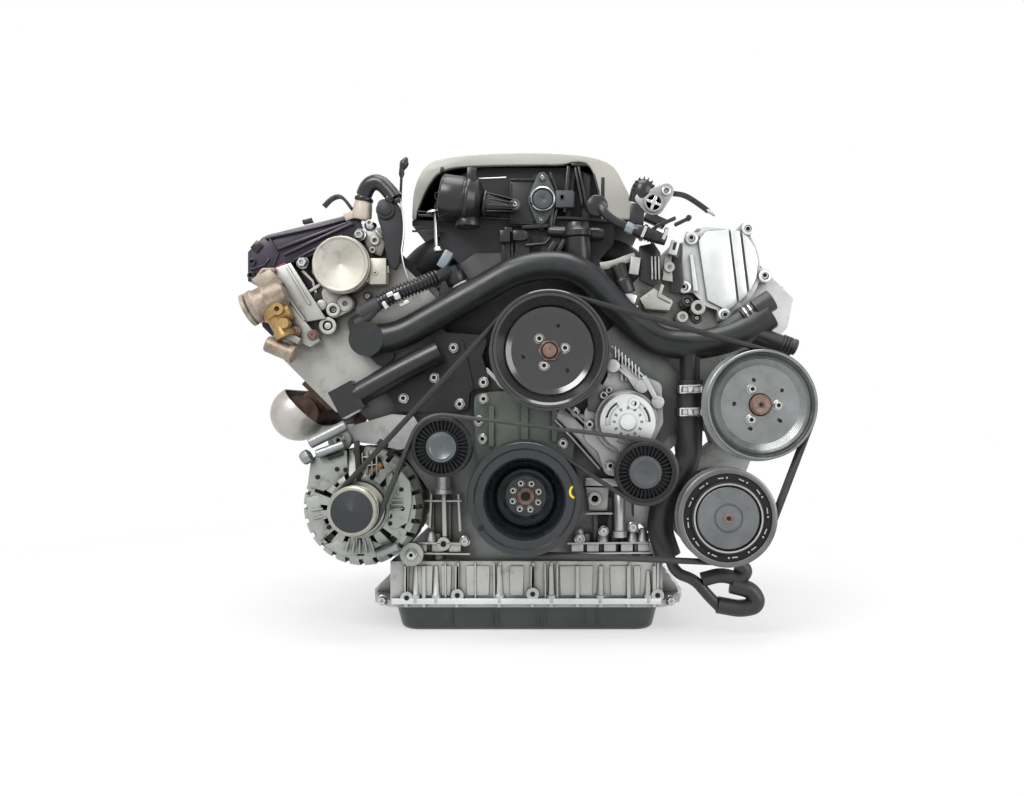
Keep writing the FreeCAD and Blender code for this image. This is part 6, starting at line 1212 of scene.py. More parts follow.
class OBJECT_OT_engine_right_head(bpy.types.Operator):
    """Builds the panels of the round end plate, and the fittings beside the right head"""
    bl_idname = "object.engine_right_head"
    bl_label = "Right head front"

    def execute(self, context):
        self.plate(front("cam_end_plate"))
        self.fittings(HEAD_FRONT)
        self.outlets(HEAD_FRONT - 12)
        return {"FINISHED"}

    def plate(self, y):
        """Raised panels with thin grooves between them, and the bosses of its screws."""
        panels = [
            [(203.5, 299), (212, 310), (239, 313), (249.2, 226), (239, 216), (214, 229)],
            [(241.4, 313.4), (252.4, 310.8), (261.4, 235.6), (251.6, 226.6)],
            [(255, 310), (262, 304), (270, 291), (274, 276), (272, 256), (264, 238)],
            [(193.4, 283), (197, 283), (203.4, 239), (197.4, 240)],
        ]
        piece("end_plate_panels", [slab(p, y - 1.6, y + 1) for p in panels], "cast_white", bevel=0.6)
        spots = [(195.2, 302.1), (262, 313.5), (282.3, 257.4), (187.1, 244.3), (234.3, 211.8)]
        bosses = [turned([(7.4, y + 1), (7.4, y - 2.4), (6.6, y - 3), (4.4, y - 3), (4.4, y + 1)], (x, 0, z), 32)
                  for x, z in spots]
        piece("end_plate_bosses", bosses, "cast_white", angle=40)

    def fittings(self, y):
        """Connector, slats, bosses and castings between the intake and the end plate."""
        slats = [strip([(147 + 4 * i, 279), (147.6 + 4 * i, 252)], 1.8, y - 8, y + 2) for i in range(3)]
        slats += [slab([(163, 283), (170, 282), (172, 250), (160, 252)], y - 3, y + 6)]
        slats += [disc(167.6, 266.3, 6, y - 9, y, 2.6), disc(201, 219, 8.4, y - 10, y, 4.2),
                  disc(183, 208, 6.4, y - 8, y, 3)]
        slats += [slab([(133, 230), (150, 242), (164, 232), (172, 226), (168, 216), (140, 218)], y - 4, y + 6),
                  strip([(160, 246), (156, 233), (170, 226)], 4, y - 6, y + 2),
                  strip(eased([(87, 268), (104, 271), (118, 277), (128, 280)]), 9, y - 2, y + 8),
                  brick(11, 12, 20, (127, y - 2, 268), 8)]
        piece("right_head_castings", slats, "cast_head", bevel=1.0)
        slot = [brick(10, 10, 17, (172.5, y - 8, 288.5), 14)]
        piece("white_plug", slot, "cast_white", bevel=1.0, slot="beige_cover")
        piece("white_plug_slot", brick(3.4, 2, 9, (173, y - 12.6, 290), 14), "black_gloss", bevel=0.4,
              slot="black_plastic")
        dark = [barrel((107, y - 4, 270), (119, y - 4, 233), [(0, 8), (1, 9), (18, 9), (20, 10.4), (36, 10.4)], 30),
                slab([(133, 292), (150, 296), (158, 284), (157, 250), (150, 244), (134, 252)], y - 2, y + 8),
                disc(188.7, 226.4, 6.6, y - 8, y + 2, 3.6), disc(200, 206.9, 6.6, y - 7, y + 2, 3.4),
                slab([(172, 282), (184, 276), (186, 250), (180, 236), (170, 238)], y + 2, y + 8)]
        piece("right_head_mouldings", dark, "black_gloss", bevel=1.0, slot="black_plastic", angle=40)
        plug = [brick(17, 14, 13, (119.6, y - 5, 229), 16), brick(20, 12, 3, (121, y - 6, 222), 16)]
        piece("silver_plug", plug, "clamp", bevel=1.2)
        screws("right_head_screws",
               [(188.7, y - 4.8, 226.4), (183, y - 5, 208), (200, y - 4, 206.9), (167.6, y - 5.6, 266.3)],
               socket_head(2.8, 2.6))

    def outlets(self, y):
        """The two hose ends under the end plate, with their corrugated collars."""
        pipe = barrel((226, y + 4, 190), (284, y - 2, 226), [(0, 8), (2, 8.6), (34, 8.6), (36, 8)], 32)
        piece("outlet_pipe", pipe, "grey_plastic", angle=40)
        collar = [(0, 8.4)]
        for i in range(3):
            at = 2 + i * 5
            collar += [(at, 10.6), (at + 3, 10.6), (at + 3.6, 9), (at + 4.6, 9)]
        collar += [(18, 12.6), (40, 12.6), (41, 11)]
        piece("outlet_cap", barrel((252, y + 1, 206), (284, y - 2, 226), collar, 40), "hose", angle=40)
        bands = [(256.5, 208.8), (262, 212.2)]
        rings = [barrel((x, y + 1, z), (284, y - 2, 226), [(0, 10.8), (0.3, 11.5), (2, 11.5), (2.3, 10.8)], 32) for x,
                 z in bands]
        piece("outlet_bands", rings, "clamp", angle=40)
        lower = [(0, 8), (30, 8.4), (42, 8.4)]
        for i in range(3):
            lower += [(43 + i * 4, 9.8), (45.6 + i * 4, 9.8), (46 + i * 4, 8.6)]
        lower += [(56, 9.6), (60, 9.6), (61, 8)]
        piece("lower_outlet", barrel((257, y - 4, 192.6), (316, y - 4, 170.5), lower, 36), "hose", angle=40)
        sensor = [barrel((277, y - 3, 208), (290, y - 3, 196), [(0, 4), (6, 4), (7, 6), (12, 6), (13, 3), (18, 3)], 20),
                  strip([(286, 204), (292, 197)], 2, y - 8, y - 4)]
        piece("outlet_sensor", sensor, "beige_fitting", angle=40)


class OBJECT_OT_engine_wiring(bpy.types.Operator):
    """Builds the corrugated conduit over the left head and what is clipped to it"""
    bl_idname = "object.engine_wiring"
    bl_label = "Wiring conduit"

    def execute(self, context):
        y = HEAD_FRONT - 22
        route = [(-189, y, 214), (-176, y, 219), (-152, y, 233), (-122, y, 244), (-104, y + 6, 253), (-91, y + 26, 262)]
        core = hose(route, 7.2, 10)
        piece("conduit_core", core, "black_plastic")
        ring = barrel((0, 0, -1.3), (0, 0, 1.3), [(0, 7.4), (0.2, 9.2), (2.2, 9.2), (2.6, 7.4)], 24)
        path = [(-168, y, 223.4), (-152, y, 233), (-122, y, 244), (-104, y + 6, 253)]
        ribs = grown("path", line_mesh(path, 14), ring, "black_gloss", Step=4.1)
        piece("conduit_ribs", ribs, "black_gloss", slot="black_plastic", angle=40)
        tape = [hose([(-192, y, 211), (-182, y, 216.5), (-170, y, 222)], 8.6, 8),
                hose([(-196, y + 2, 198), (-184, y + 1, 206), (-176, y, 216)], 6.5, 8)]
        piece("conduit_tape", tape, "cloth_tape")
        clips = [brick(8, 8, 5, (-155, y - 10, 231), -24), brick(7, 8, 7, (-147, y - 10, 229), -24),
                 brick(5, 6, 9, (-161, y - 8, 219), -30), brick(12, 4, 4, (-140, y - 2, 222), -24)]
        piece("conduit_clips", clips, "clamp", bevel=0.8)
        return {"FINISHED"}


class OBJECT_OT_engine_pulley_faces(bpy.types.Operator):
    """Builds the hub bolts, nuts, small holes and caps on the pulleys and rollers"""
    bl_idname = "object.engine_pulley_faces"
    bl_label = "Pulley faces"

    def execute(self, context):
        self.water_pump()
        self.crank()
        self.steering()
        self.compressor()
        self.rollers()
        self.alternator()
        return {"FINISHED"}

    def holes(self, name, centre, offsets, radius, body, *nodes):
        """Small holes in a pulley's web, each a near-black disc on the surface: painted shade in place of the hole."""
        pits = []
        for dx, dz in offsets:
            x, z = centre.x + dx, centre.z + dz
            y = skin(x, z, *nodes)
            pits.append(disc(x, z, radius, y - 0.15, y + 1, sides=20))
        piece(name, pits, "pit", body)

    def water_pump(self):
        bolts_over("pump_pulley_bolts", 6.6, 5.5, "pump_rotor")
        y = skin(PUMP.x + 2, PUMP.z + 2, "water_pump_shaft", "water_pump_pulley")
        nut = [barrel((PUMP.x, y + 1, PUMP.z), (PUMP.x, y - 9, PUMP.z), [(0, 13.2), (2.4, 13.2), (3.2, 12.4)], 6),
               turned([(0.05, y - 5), (7.4, y - 5), (8.2, y - 4.2), (8.2, y - 1), (0.05, y - 1)], PUMP, 40)]
        piece("pump_hub_nut", nut, "rusty_nut", "pump_rotor", bevel=0.5, angle=30)
        # Painted shade: a near-black ring round the hub nut, in place of the groove's shade.
        ring = turned([(8.4, y - 1.9), (8.4, y - 2.7), (9.9, y - 2.7), (9.9, y - 1.9)], PUMP, 40)
        piece("pump_hub_groove", ring, "pit", "pump_rotor")
        self.holes("pump_pulley_holes", PUMP, [(9.9, 28.6), (-29.7, -7.2), (20.6, -22)], 2.3, "pump_rotor",
                   "water_pump_pulley")

    def crank(self):
        bolts_over("crank_pulley_bolts", 5.0, 5.0, "crank", 6.0)
        y = skin(8, 0, "crank_pulley", "crankshaft")
        washer = turned([(5.2, y + 0.5), (5.2, y - 1.6), (6, y - 2.2), (9.4, y - 2.2), (10.4, y - 1.4),
                         (10.4, y + 0.5)],
                        CRANK, 32)
        piece("crank_washer", washer, "rusty_nut", "crank", angle=30)
        # Painted shade: a near-black disc in the bore of the crank bolt.
        piece("crank_bore", disc(0, 0, 5.3, y - 0.8, y + 1), "pit", "crank")
        piece("crank_hub_ring", turned([(22.6, y + 1), (23.2, y - 0.8), (24.6, y - 0.8), (25, y + 1)], CRANK, 64),
              "steel", "crank")
        level = skin(54, 9, "crank_pulley")
        dab = [strip(eased([(58, 3), (53.5, 1.5), (50, 6), (50.5, 12), (55, 15.5)]), 2.4, level - 0.35, level + 0.5)]
        piece("paint_dab", dab, "yellow_dab", "crank", bevel=0.12)
        self.holes("crank_pulley_pits", CRANK, [(-48, -31.7)], 3.2, "crank", "crank_pulley")

    def steering(self):
        bolts_over("steering_pulley_bolts", 6.2, 4.6, "steering_rotor")
        y = skin(STEERING.x + 9, STEERING.z, "steering_shaft", "steering_pulley")
        hub = [turned([(4, y + 1), (4, y - 2.6), (9.4, y - 2.6), (11, y - 1), (11, y + 1)], STEERING, 40),
               turned([(0.05, y), (0.05, y - 1.4), (4, y - 1.4), (4, y)], STEERING, 6)]
        piece("steering_hub", hub, "rusty_nut", "steering_rotor", angle=30)
        # Painted shade: a near-black disc in the recess of the steering hub.
        piece("steering_hub_pit", disc(STEERING.x, STEERING.z, 2.6, y - 1.7, y - 1, sides=6), "pit", "steering_rotor")
        spots = [(-6.8, 27.3), (24.5, 16.4), (-29.3, 0.4), (21, -17), (-11.8, -26.7)]
        self.holes("steering_pulley_holes", STEERING, spots, 2.0, "steering_rotor", "steering_pulley")

    def compressor(self):
        y = front("compressor_hub")
        plate = [(0.05, y - 0.6), (14, y - 0.6), (14.6, y + 0.3), (15.6, y + 0.3), (16.2, y - 0.6), (33.6, y - 0.6),
                 (34.8, y + 0.6), (34.8, y + 2), (0.05, y + 2)]
        piece("clutch_plate", turned(plate, COMPRESSOR, 72), "clutch_grey", "compressor_rotor",
              angle=40)
        rim = turned([(36.2, y + 2), (36.6, y - 0.9), (38.4, y - 0.9), (38.9, y + 2)], COMPRESSOR, 72)
        piece("clutch_rim", rim, "steel", "compressor_rotor", angle=40)
        face = front("compressor_pulley")
        edge = turned([(48.6, face + 4), (49.2, face - 0.8), (50, face - 1.2), (54.2, face - 1.2), (55.2, face - 0.4),
                       (55.2, face + 4)], COMPRESSOR, 72)
        piece("compressor_lip", edge, "compressor_ring", "compressor_rotor", angle=40)
        # Painted shade: a near-black ring in the gap between the clutch plate and the pulley's lip.
        band = turned([(38.8, face + 4), (38.8, face + 1), (48.8, face + 1), (48.8, face + 4)], COMPRESSOR, 72)
        piece("compressor_band", band, "pit", "compressor_rotor", angle=40)
        dash = joined([brick(1.4, 2.4, 6.4, (0, 0, 3.4)), rod((0, 1.2, -3.4), (0, -1.6, -3.4), 1.15, sides=12)])
        ring = grown("ring", points_mesh([(0, 0, 0)]), dash, "steel", Count=12, Radius=44.2,
                     Centre=(COMPRESSOR.x, face + 0.8, COMPRESSOR.z), Start=0.1)
        piece("compressor_dashes", ring, "steel", "compressor_rotor", angle=40)
        nut = [barrel((COMPRESSOR.x, y, COMPRESSOR.z), (COMPRESSOR.x, y - 9, COMPRESSOR.z),
                      [(0, 6), (1.6, 6), (2.2, 5.4)], 6)]
        piece("compressor_nut", nut, "rusty_nut", "compressor_rotor", angle=25)
        # Painted shade: a near-black disc in the bore of the compressor nut.
        piece("compressor_nut_pit", disc(COMPRESSOR.x, COMPRESSOR.z, 2.6, y - 2.4, y - 1.6, sides=12), "pit",
              "compressor_rotor")

    def rollers(self):
        """Grey domed caps over the pins of the idler and of the tension roller."""
        for name, centre, node, body, radius in (("idler", IDLER, "idler_pin", ENGINE, 17.4),
                                                 ("tension", TENSION, "tensioner_arm", "tensioner", 18.2)):
            y = skin(centre.x, centre.z, node)
            cap = [(0.05, y - 1.8), (1.2, y - 1.8), (1.5, y - 2.3), (radius - 5.4, y - 2.5), (radius - 4.6, y - 3.1),
                   (radius - 0.8, y - 2.4), (radius, y - 1.4), (radius, y + 0.4), (0.05, y + 0.4)]
            paint = "cap_grey" if name == "idler" else "grey_plastic"
            piece(name + "_cap", turned(cap, centre, 56), paint, body, slot="machined_steel", angle=40)

    def alternator(self):
        """The dark cap in the pulley."""
        y = front("alternator_pulley")
        cap = [(0.05, y - 0.9), (1.4, y - 0.9), (2, y - 0.4), (21.5, y - 0.4), (23.6, y + 0.3), (23.6, y + 3),
               (0.05, y + 3)]
        piece("alternator_cap", turned(cap, ALTERNATOR, 56), "black_cap", "alternator_spool",
              angle=40)


class OBJECT_OT_engine_alternator_front(bpy.types.Operator):
    """Builds the panels, ribs, sleeves and teeth on the front of the alternator"""
    bl_idname = "object.engine_alternator_front"
    bl_label = "Alternator front"

    def execute(self, context):
        y = front("alternator_front_frame")
        centre = ALTERNATOR
        panels = [
            slab([(-246, 42), (-228, 58), (-205, 52), (-203, 28), (-219, 12), (-232, 6), (-250, 12)], y + 3, y + 9),
            slab([(-160, 22), (-146, 34), (-132, 16), (-130, -6), (-135, -30), (-150, -38), (-162, -32), (-160, -10)],
                 y + 2, y + 9),
            slab([(-252, -2), (-236, 2), (-234, -22), (-224, -40), (-236, -52), (-248, -32)], y + 5, y + 10),
            slab([(-232, -56), (-214, -50), (-196, -54), (-178, -50), (-164, -56), (-184, -66), (-210, -68)], y + 5,
                 y + 10),
        ]
        piece("alternator_panels", panels, "cast_alternator", bevel=0.9)
        ribs = [strip([(-154, -4.4 - 5 * i), (-140, -3.4 - 5 * i)], 1.7, y - 0.4, y + 4) for i in range(3)]
        ribs += [strip([(-152, 10), (-147, -2)], 1.6, y, y + 4), strip([(-148, 22), (-145, 2)], 1.6, y, y + 4)]
        for i in range(5):
            angle = math.radians(252 + i * 9)
            ends = [(centre.x + reach * math.cos(angle), centre.z + reach * math.sin(angle)) for reach in (36, 53)]
            ribs.append(strip(ends, 2, y + 1, y + 7))
        for i in range(4):
            ribs.append(strip([(-187 + i * 5.5, 50 + i), (-186 + i * 5.2, 26 - i)], 1.8, y + 1, y + 7))
        ribs += [strip([(-192, 34), (-168, 37)], 1.6, y + 1, y + 6), strip([(-190, 44), (-166, 48)], 1.6, y + 1, y + 6),
                 strip([(-246, -16), (-232, -14)], 2, y + 3, y + 8), strip([(-244, -26), (-229, -22)], 2, y + 3, y + 8)]
        piece("alternator_ribs", ribs, "cast_alternator", bevel=0.5)
        spots = [(-215.8, 31.1), (-206, 30.4), (-225.3, -35.3), (-155, -22.4), (-155, -31), (-142, 8), (-150, 26),
                 (-238, 22), (-141, -14), (-229, 48)]
        # Painted shade: near-black discs and plates in the holes and openings of the alternator's front.
        pits = [disc(x, z, 2.6, y + 1.8, y + 4) for x, z in spots]
        pits += [slab([(-178, 48), (-168, 44), (-162, 32), (-170, 30)], y + 6, y + 9),
                 slab([(-196, 60), (-186, 58), (-188, 46), (-198, 48)], y + 5, y + 9)]
        piece("alternator_pits", pits, "pit")
        coil = [barrel((-186, y + 10, 22), (-160, y + 10, 42), [(0, 4), (1, 6), (25, 6), (26, 4)], 16)]
        piece("alternator_coil", coil, "winding")
        sleeves = [barrel((-246.5, y - 1, 60.7), (-202.7, y - 1, 82.6), [(0, 5), (1, 6.5), (46, 6.5), (47, 5.5)], 24),
                   barrel((-238, y - 3, 48.6), (-205, y - 3, 60.7), [(0, 3.4), (1, 5), (33, 5), (34, 3.4)], 24),
                   barrel((-170, y - 1, -66), (-144, y - 1, -55.5), [(0, 3.4), (1, 5), (26, 5), (27, 3.4)], 24),
                   barrel((-255, y - 1, 42), (-244, y - 1, 49), [(0, 6.5), (3, 8), (10, 8), (12, 5)], 8)]
        piece("alternator_sleeves", sleeves, "grey_metal", angle=40)
        dark = [strip([(-193, 64), (-190, 18)], 6, y - 2, y + 4), strip([(-226, 44), (-208, 50)], 5, y - 1.5, y + 2),
                brick(12, 8, 7, (-163, y, 60), 36), brick(6, 8, 10, (-154, y, 50), 36)]
        piece("alternator_plugs", dark, "black_plastic", bevel=0.9)
        tooth = brick(4.6, 9, 5.2, (0, 0, 0))
        teeth = grown("ring", points_mesh([(0, 0, 0)]), tooth, "cast_alternator", Count=40, Radius=62.4,
                      Centre=(centre.x, front("alternator_stator") + 3, centre.z), Start=0.0)
        piece("alternator_teeth", teeth, "cast_alternator", angle=30)
        ring = turned([(30.2, y - 0.6), (31, y - 1.6), (34, y - 1.6), (34.8, y - 0.6), (34.8, y + 4), (30.2, y + 4)],
                      centre, 56)
        piece("alternator_seat", ring, "cast_alternator", angle=40)
        return {"FINISHED"}


JOINT = -127.5  # z of the joint between the two oil pans
PAN_LUGS = ((-140, -121), (-80.7, -118), (7.5, -116.5), (153.8, -118))


class OBJECT_OT_engine_lower_front(bpy.types.Operator):
    """Builds the pillars, lugs and panels of the pan and of the bearing ladder"""
    bl_idname = "object.engine_lower_front"
    bl_label = "Pan and ladder front"

    def execute(self, context):
        self.pan()
        self.ladder()
        return {"FINISHED"}

    def pan(self):
        """Tapered pillars, ribs with eyes, raised panels and the bright joint face."""
        y = front("oil_pan_upper") + 5
        pillars = []
        for x, top in ((-130, -84), (-106, -84), (-31.5, -80), (29.4, -80), (86.7, -92), (143, -90)):
            taper = [(0, 6.2), (1, 6.6), (9, 6.4), (11, 4.6), (top - JOINT, 2.6)]
            pillars.append(barrel((x, y, JOINT), (x, y, top), taper, 20))
        lugs = []
        for x, z in PAN_LUGS:
            lugs += [disc(x, z, 7.4, y - 6, y + 3, 3.0, 5), strip([(x, z + 6), (x + 0.6, -80)], 2.6, y - 5, y + 3)]
        piece("pan_pillars", pillars + lugs, "cast_pan", angle=40)
        panels = [slab([(a, -84), (b, -84), (b - 1, -119), (a + 1, -119)], y - 2.2, y + 2)
                  for a, b in ((-71, -43), (-20, -3), (39, 78), (98, 119), (126, 134), (-128, -110), (-100, -88))]
        panels += [strip([(x, -80), (x + 0.4, -125)], 2.2, y - 4, y + 2) for x in (-95, -60, -38, 22, 36, 121, 151.4)]
        piece("pan_panels", panels, "cast_pan", bevel=0.8)
        joint = slab([(-158, -121.5), (158, -121.5), (158, -128.6), (-158, -128.6)], y - 6.2, y + 2)
        piece("pan_joint", joint, "cast_white", bevel=0.7)
        # Painted shade: near-black discs in the holes of the pan's lugs.
        sockets = [disc(x, z, 2.9, y - 6.6, y - 3) for x, z in PAN_LUGS]
        piece("pan_lug_pits", sockets, "pit")
        ribs = [strip([(x, -134), (x + 0.3, -158)], 1.2, front("oil_pan_lower") - 0.7, front("oil_pan_lower") + 3)
                for x in (-88, -40, -34, 14, 22, 70, 84)]
        piece("tray_marks", ribs, "tray", bevel=0.4)

    def ladder(self):
        """Bosses, posts and the flanges of the ladder beside the crank pulley."""
        y = front("bearing_ladder") + 6
        parts = [disc(-97.2, -58.2, 8, y - 7, y, 3.4, 4), disc(-72, -54.6, 6, y - 6, y, 0),
                 disc(80.4, -5.2, 8.4, y - 6, y + 4, 4, 4),
                 slab([(70, 8), (97, 8), (95, -20), (74, -20)], y - 2, y + 6),
                 slab([(69, -21), (101, -21), (101, -23.6), (69, -23.6)], y - 8, y),
                 slab([(69, 19), (116, 18), (116, 9), (69, 10)], y - 4, y + 6)]
        parts += [barrel((x, y, -56), (x, y, top), [(0, 7.2), (2, 7.4), (4, 6.2), (56 + top - 3, 4.8), (56 + top, 3)],
                         20)
                  for x, top in ((62.5, -40), (90, -38), (125, -42), (137, -40), (-112, -44))]
        parts += [brick(14, 8, 11, (x, y - 1, -62)) for x in (60, 78, 98, 118, 138, -84, -104, -124)]
        parts += [strip([(48, -57.5), (146, -56.5)], 2.4, y - 7, y), strip([(44, -69.5), (147, -68.5)], 2.2, y - 7, y),
                  strip([(-140, -57), (-70, -58)], 2.4, y - 7, y), strip([(-146, -69), (-66, -70)], 2.2, y - 7, y),
                  strip([(-122, -8), (-76, -8)], 2.2, y - 4, y + 4), strip([(-97, 2), (-96, -50)], 5, y - 5, y + 3),
                  strip([(-80, 0), (-78, -44)], 3, y - 3, y + 3), strip([(-112, 0), (-114, -40)], 3, y - 3, y + 3)]
        piece("ladder_castings", parts, "cast_pan", bevel=0.7, angle=40)
        post = [barrel((109.5, y - 6, -50), (109.5, y - 6, 3), [(0, 8.2), (7, 8.2), (8, 6.5), (50, 6.5), (52, 5)], 24),
                barrel((-97.2, y - 6, 1), (-97.2, y - 6, 25), [(0, 10.5), (5, 10.5), (6, 9.4), (20, 8.6), (24, 4)], 24)]
        piece("ladder_posts", post, "cast_bright", angle=40)
        screws("ladder_screws", [(90.4, y - 7, -42.7), (125, y - 7, -38), (62.5, y - 6, -52), (-72, y - 6, -54.6)],
               hex_head(9, 5, 6.2))
        # Painted shade: a near-black plate and disc in the recesses of the ladder.
        pits = [slab([(84, -26), (97, -26), (92, -42), (86, -40)], y - 0.6, y + 2),
                disc(-97.2, -58.2, 3.2, y - 7.4, y - 4)]
        piece("ladder_pits", pits, "pit")


class OBJECT_OT_engine_bracket_front(bpy.types.Operator):
    """Builds the tensioner's face, and the arms, comb of fins and bosses of the bracket beside it"""
    bl_idname = "object.engine_bracket_front"
    bl_label = "Bracket and tensioner front"

    def execute(self, context):
        self.tensioner()
        y = front("accessory_bracket")
        fins = []
        for i in range(8):
            x, z = 103 + 3.9 * i, 166 - 3.5 * i
            fins.append(strip([(x, z + 7), (x + 0.4, z - 7)], 1.7, y - 3.4, y + 6))
        fins += [strip([(98, 173), (136, 138)], 2.2, y - 1.6, y + 6),
                 strip([(136, 138), (150, 112)], 6, y - 2.6, y + 6),
                 strip([(104, 150), (122, 134)], 3, y - 1.2, y + 6),
                 lobed([(132, 128, 8), (112, 150, 3)], y - 1, y + 6)]
        piece("bracket_fins", fins, "cast_bright", bevel=0.6)
        arms = [strip([(37, 97), (62, 74), (94, 36)], 15, y + 14, y + 29),
                strip([(33, 88), (86, 30)], 2.6, y + 9, y + 20),
                strip([(46, 104), (76, 76), (98, 52)], 2.6, y + 9, y + 20),
                strip([(60, 92), (100, 84)], 7, y + 12, y + 26)]
        piece("bracket_arms", arms, "cast_bright", bevel=1.1)
        # Painted shade: the web takes the block's darkened casting colour, for the shade it lies in between the arms.
        web = [slab([(70, 124), (84, 132), (96, 122), (88, 96), (72, 98)], y + 5, y + 12)]
        piece("bracket_web", web, "cast_block", bevel=1.0)
        bosses = [disc(101, 150, 7.6, y - 2, y + 4), disc(134, 126, 7.6, y - 2, y + 4),
                  disc(152.5, 108, 7.6, y - 2, y + 4),
                  disc(90, 116, 4.4, y - 1, y + 6, 2.4), disc(96, 122, 3.6, y - 1, y + 6, 2)]
        piece("bracket_bosses", bosses, "cast_bright", bevel=0.6)
        return {"FINISHED"}

    def tensioner(self):
        """White disc with two arc slots and a ring of dashes, both near-black as painted shade, and the boss of its
        screw.
        """
        x, z = 116.4, 85.4
        y = skin(x + 20, z + 6, "tensioner_arm")
        centre = (x, 0, z)
        face = turned([(8.6, y - 0.5), (8.6, y - 2), (31, y - 2), (31.8, y - 1.2), (31.8, y + 3), (8.6, y + 3)],
                      centre, 64)
        rim = turned([(29.6, y - 1.8), (29.8, y - 3.2), (31.4, y - 3.2), (31.8, y - 1.8)], centre, 64)
        piece("tensioner_face", [face, rim, disc(x + 6.8, z + 21, 6.4, y - 4.6, y - 1, 3.2, 2.6)], "cast_white",
              "tensioner", angle=40)
        arcs, reach = ((101, 174), (-18, 46)), 25.6
        # Painted shade: near-black arcs and centre disc in place of the shade inside the slots.
        slots = [strip(ring_of_points(centre, reach, 14, start, end), 4.4, y - 2.25, y - 1) for start, end in arcs]
        slots.append(disc(x, z, 8.4, y - 2.3, y - 0.4))
        piece("tensioner_slots", slots, "pit", "tensioner")
        thin = [strip(ring_of_points(centre, reach, 12, start + 4, end - 4), 1.1, y - 2.7, y - 1.2)
                for start, end in arcs]
        piece("tensioner_spring", thin, "grey_metal", "tensioner", slot="machined_steel")
        # Painted shade: a ring of near-black dashes in place of the shade in the notches.
        dash = brick(2.2, 1.4, 4.2, (0, 0, 0))
        ring = grown("ring", points_mesh([(0, 0, 0)]), dash, "pit", Count=12, Radius=17.6,
                     Centre=(x, y - 1.7, z), Start=0.26)
        piece("tensioner_dashes", ring, "pit", "tensioner")
        piece("tensioner_hub", turned([(0.05, y - 2.8), (6.4, y - 2.8), (7.4, y - 1.8), (7.4, y), (0.05, y)], centre,
                                      32),
              "grey_metal", "tensioner", slot="machined_steel", angle=40)


class OBJECT_OT_engine_fastenings(bpy.types.Operator):
    """Puts round bolts on the covers and screws on the pan's flange"""
    bl_idname = "object.engine_fastenings"
    bl_label = "Fastenings"

    def execute(self, context):
        bolts_over("cover_bolts", 6.4, 5.0)
        pan = [(x, -364, -127) for x in (-171, 171)]
        screws("pan_flange_bolts", pan, hex_head(8.5, 5, 6.5))
        clamps = []
        for low, high in islands("hose_clamps"):
            x, z, y = (low.x + high.x) / 2, (low.z + high.z) / 2, low.y
            clamps += [brick(26, 3, 1.6, (x - 2, y - 0.6, z + 4)), brick(26, 3, 1.6, (x - 2, y - 0.6, z - 4)),
                       brick(2, 4, 9.6, (x - 14, y - 0.8, z)), brick(2, 3, 9.6, (x + 10, y - 0.6, z)),
                       brick(6, 3, 6, (x - 2, y - 0.8, z))]
        piece("clamp_ears", clamps, "clamp", bevel=0.5)
        return {"FINISHED"}


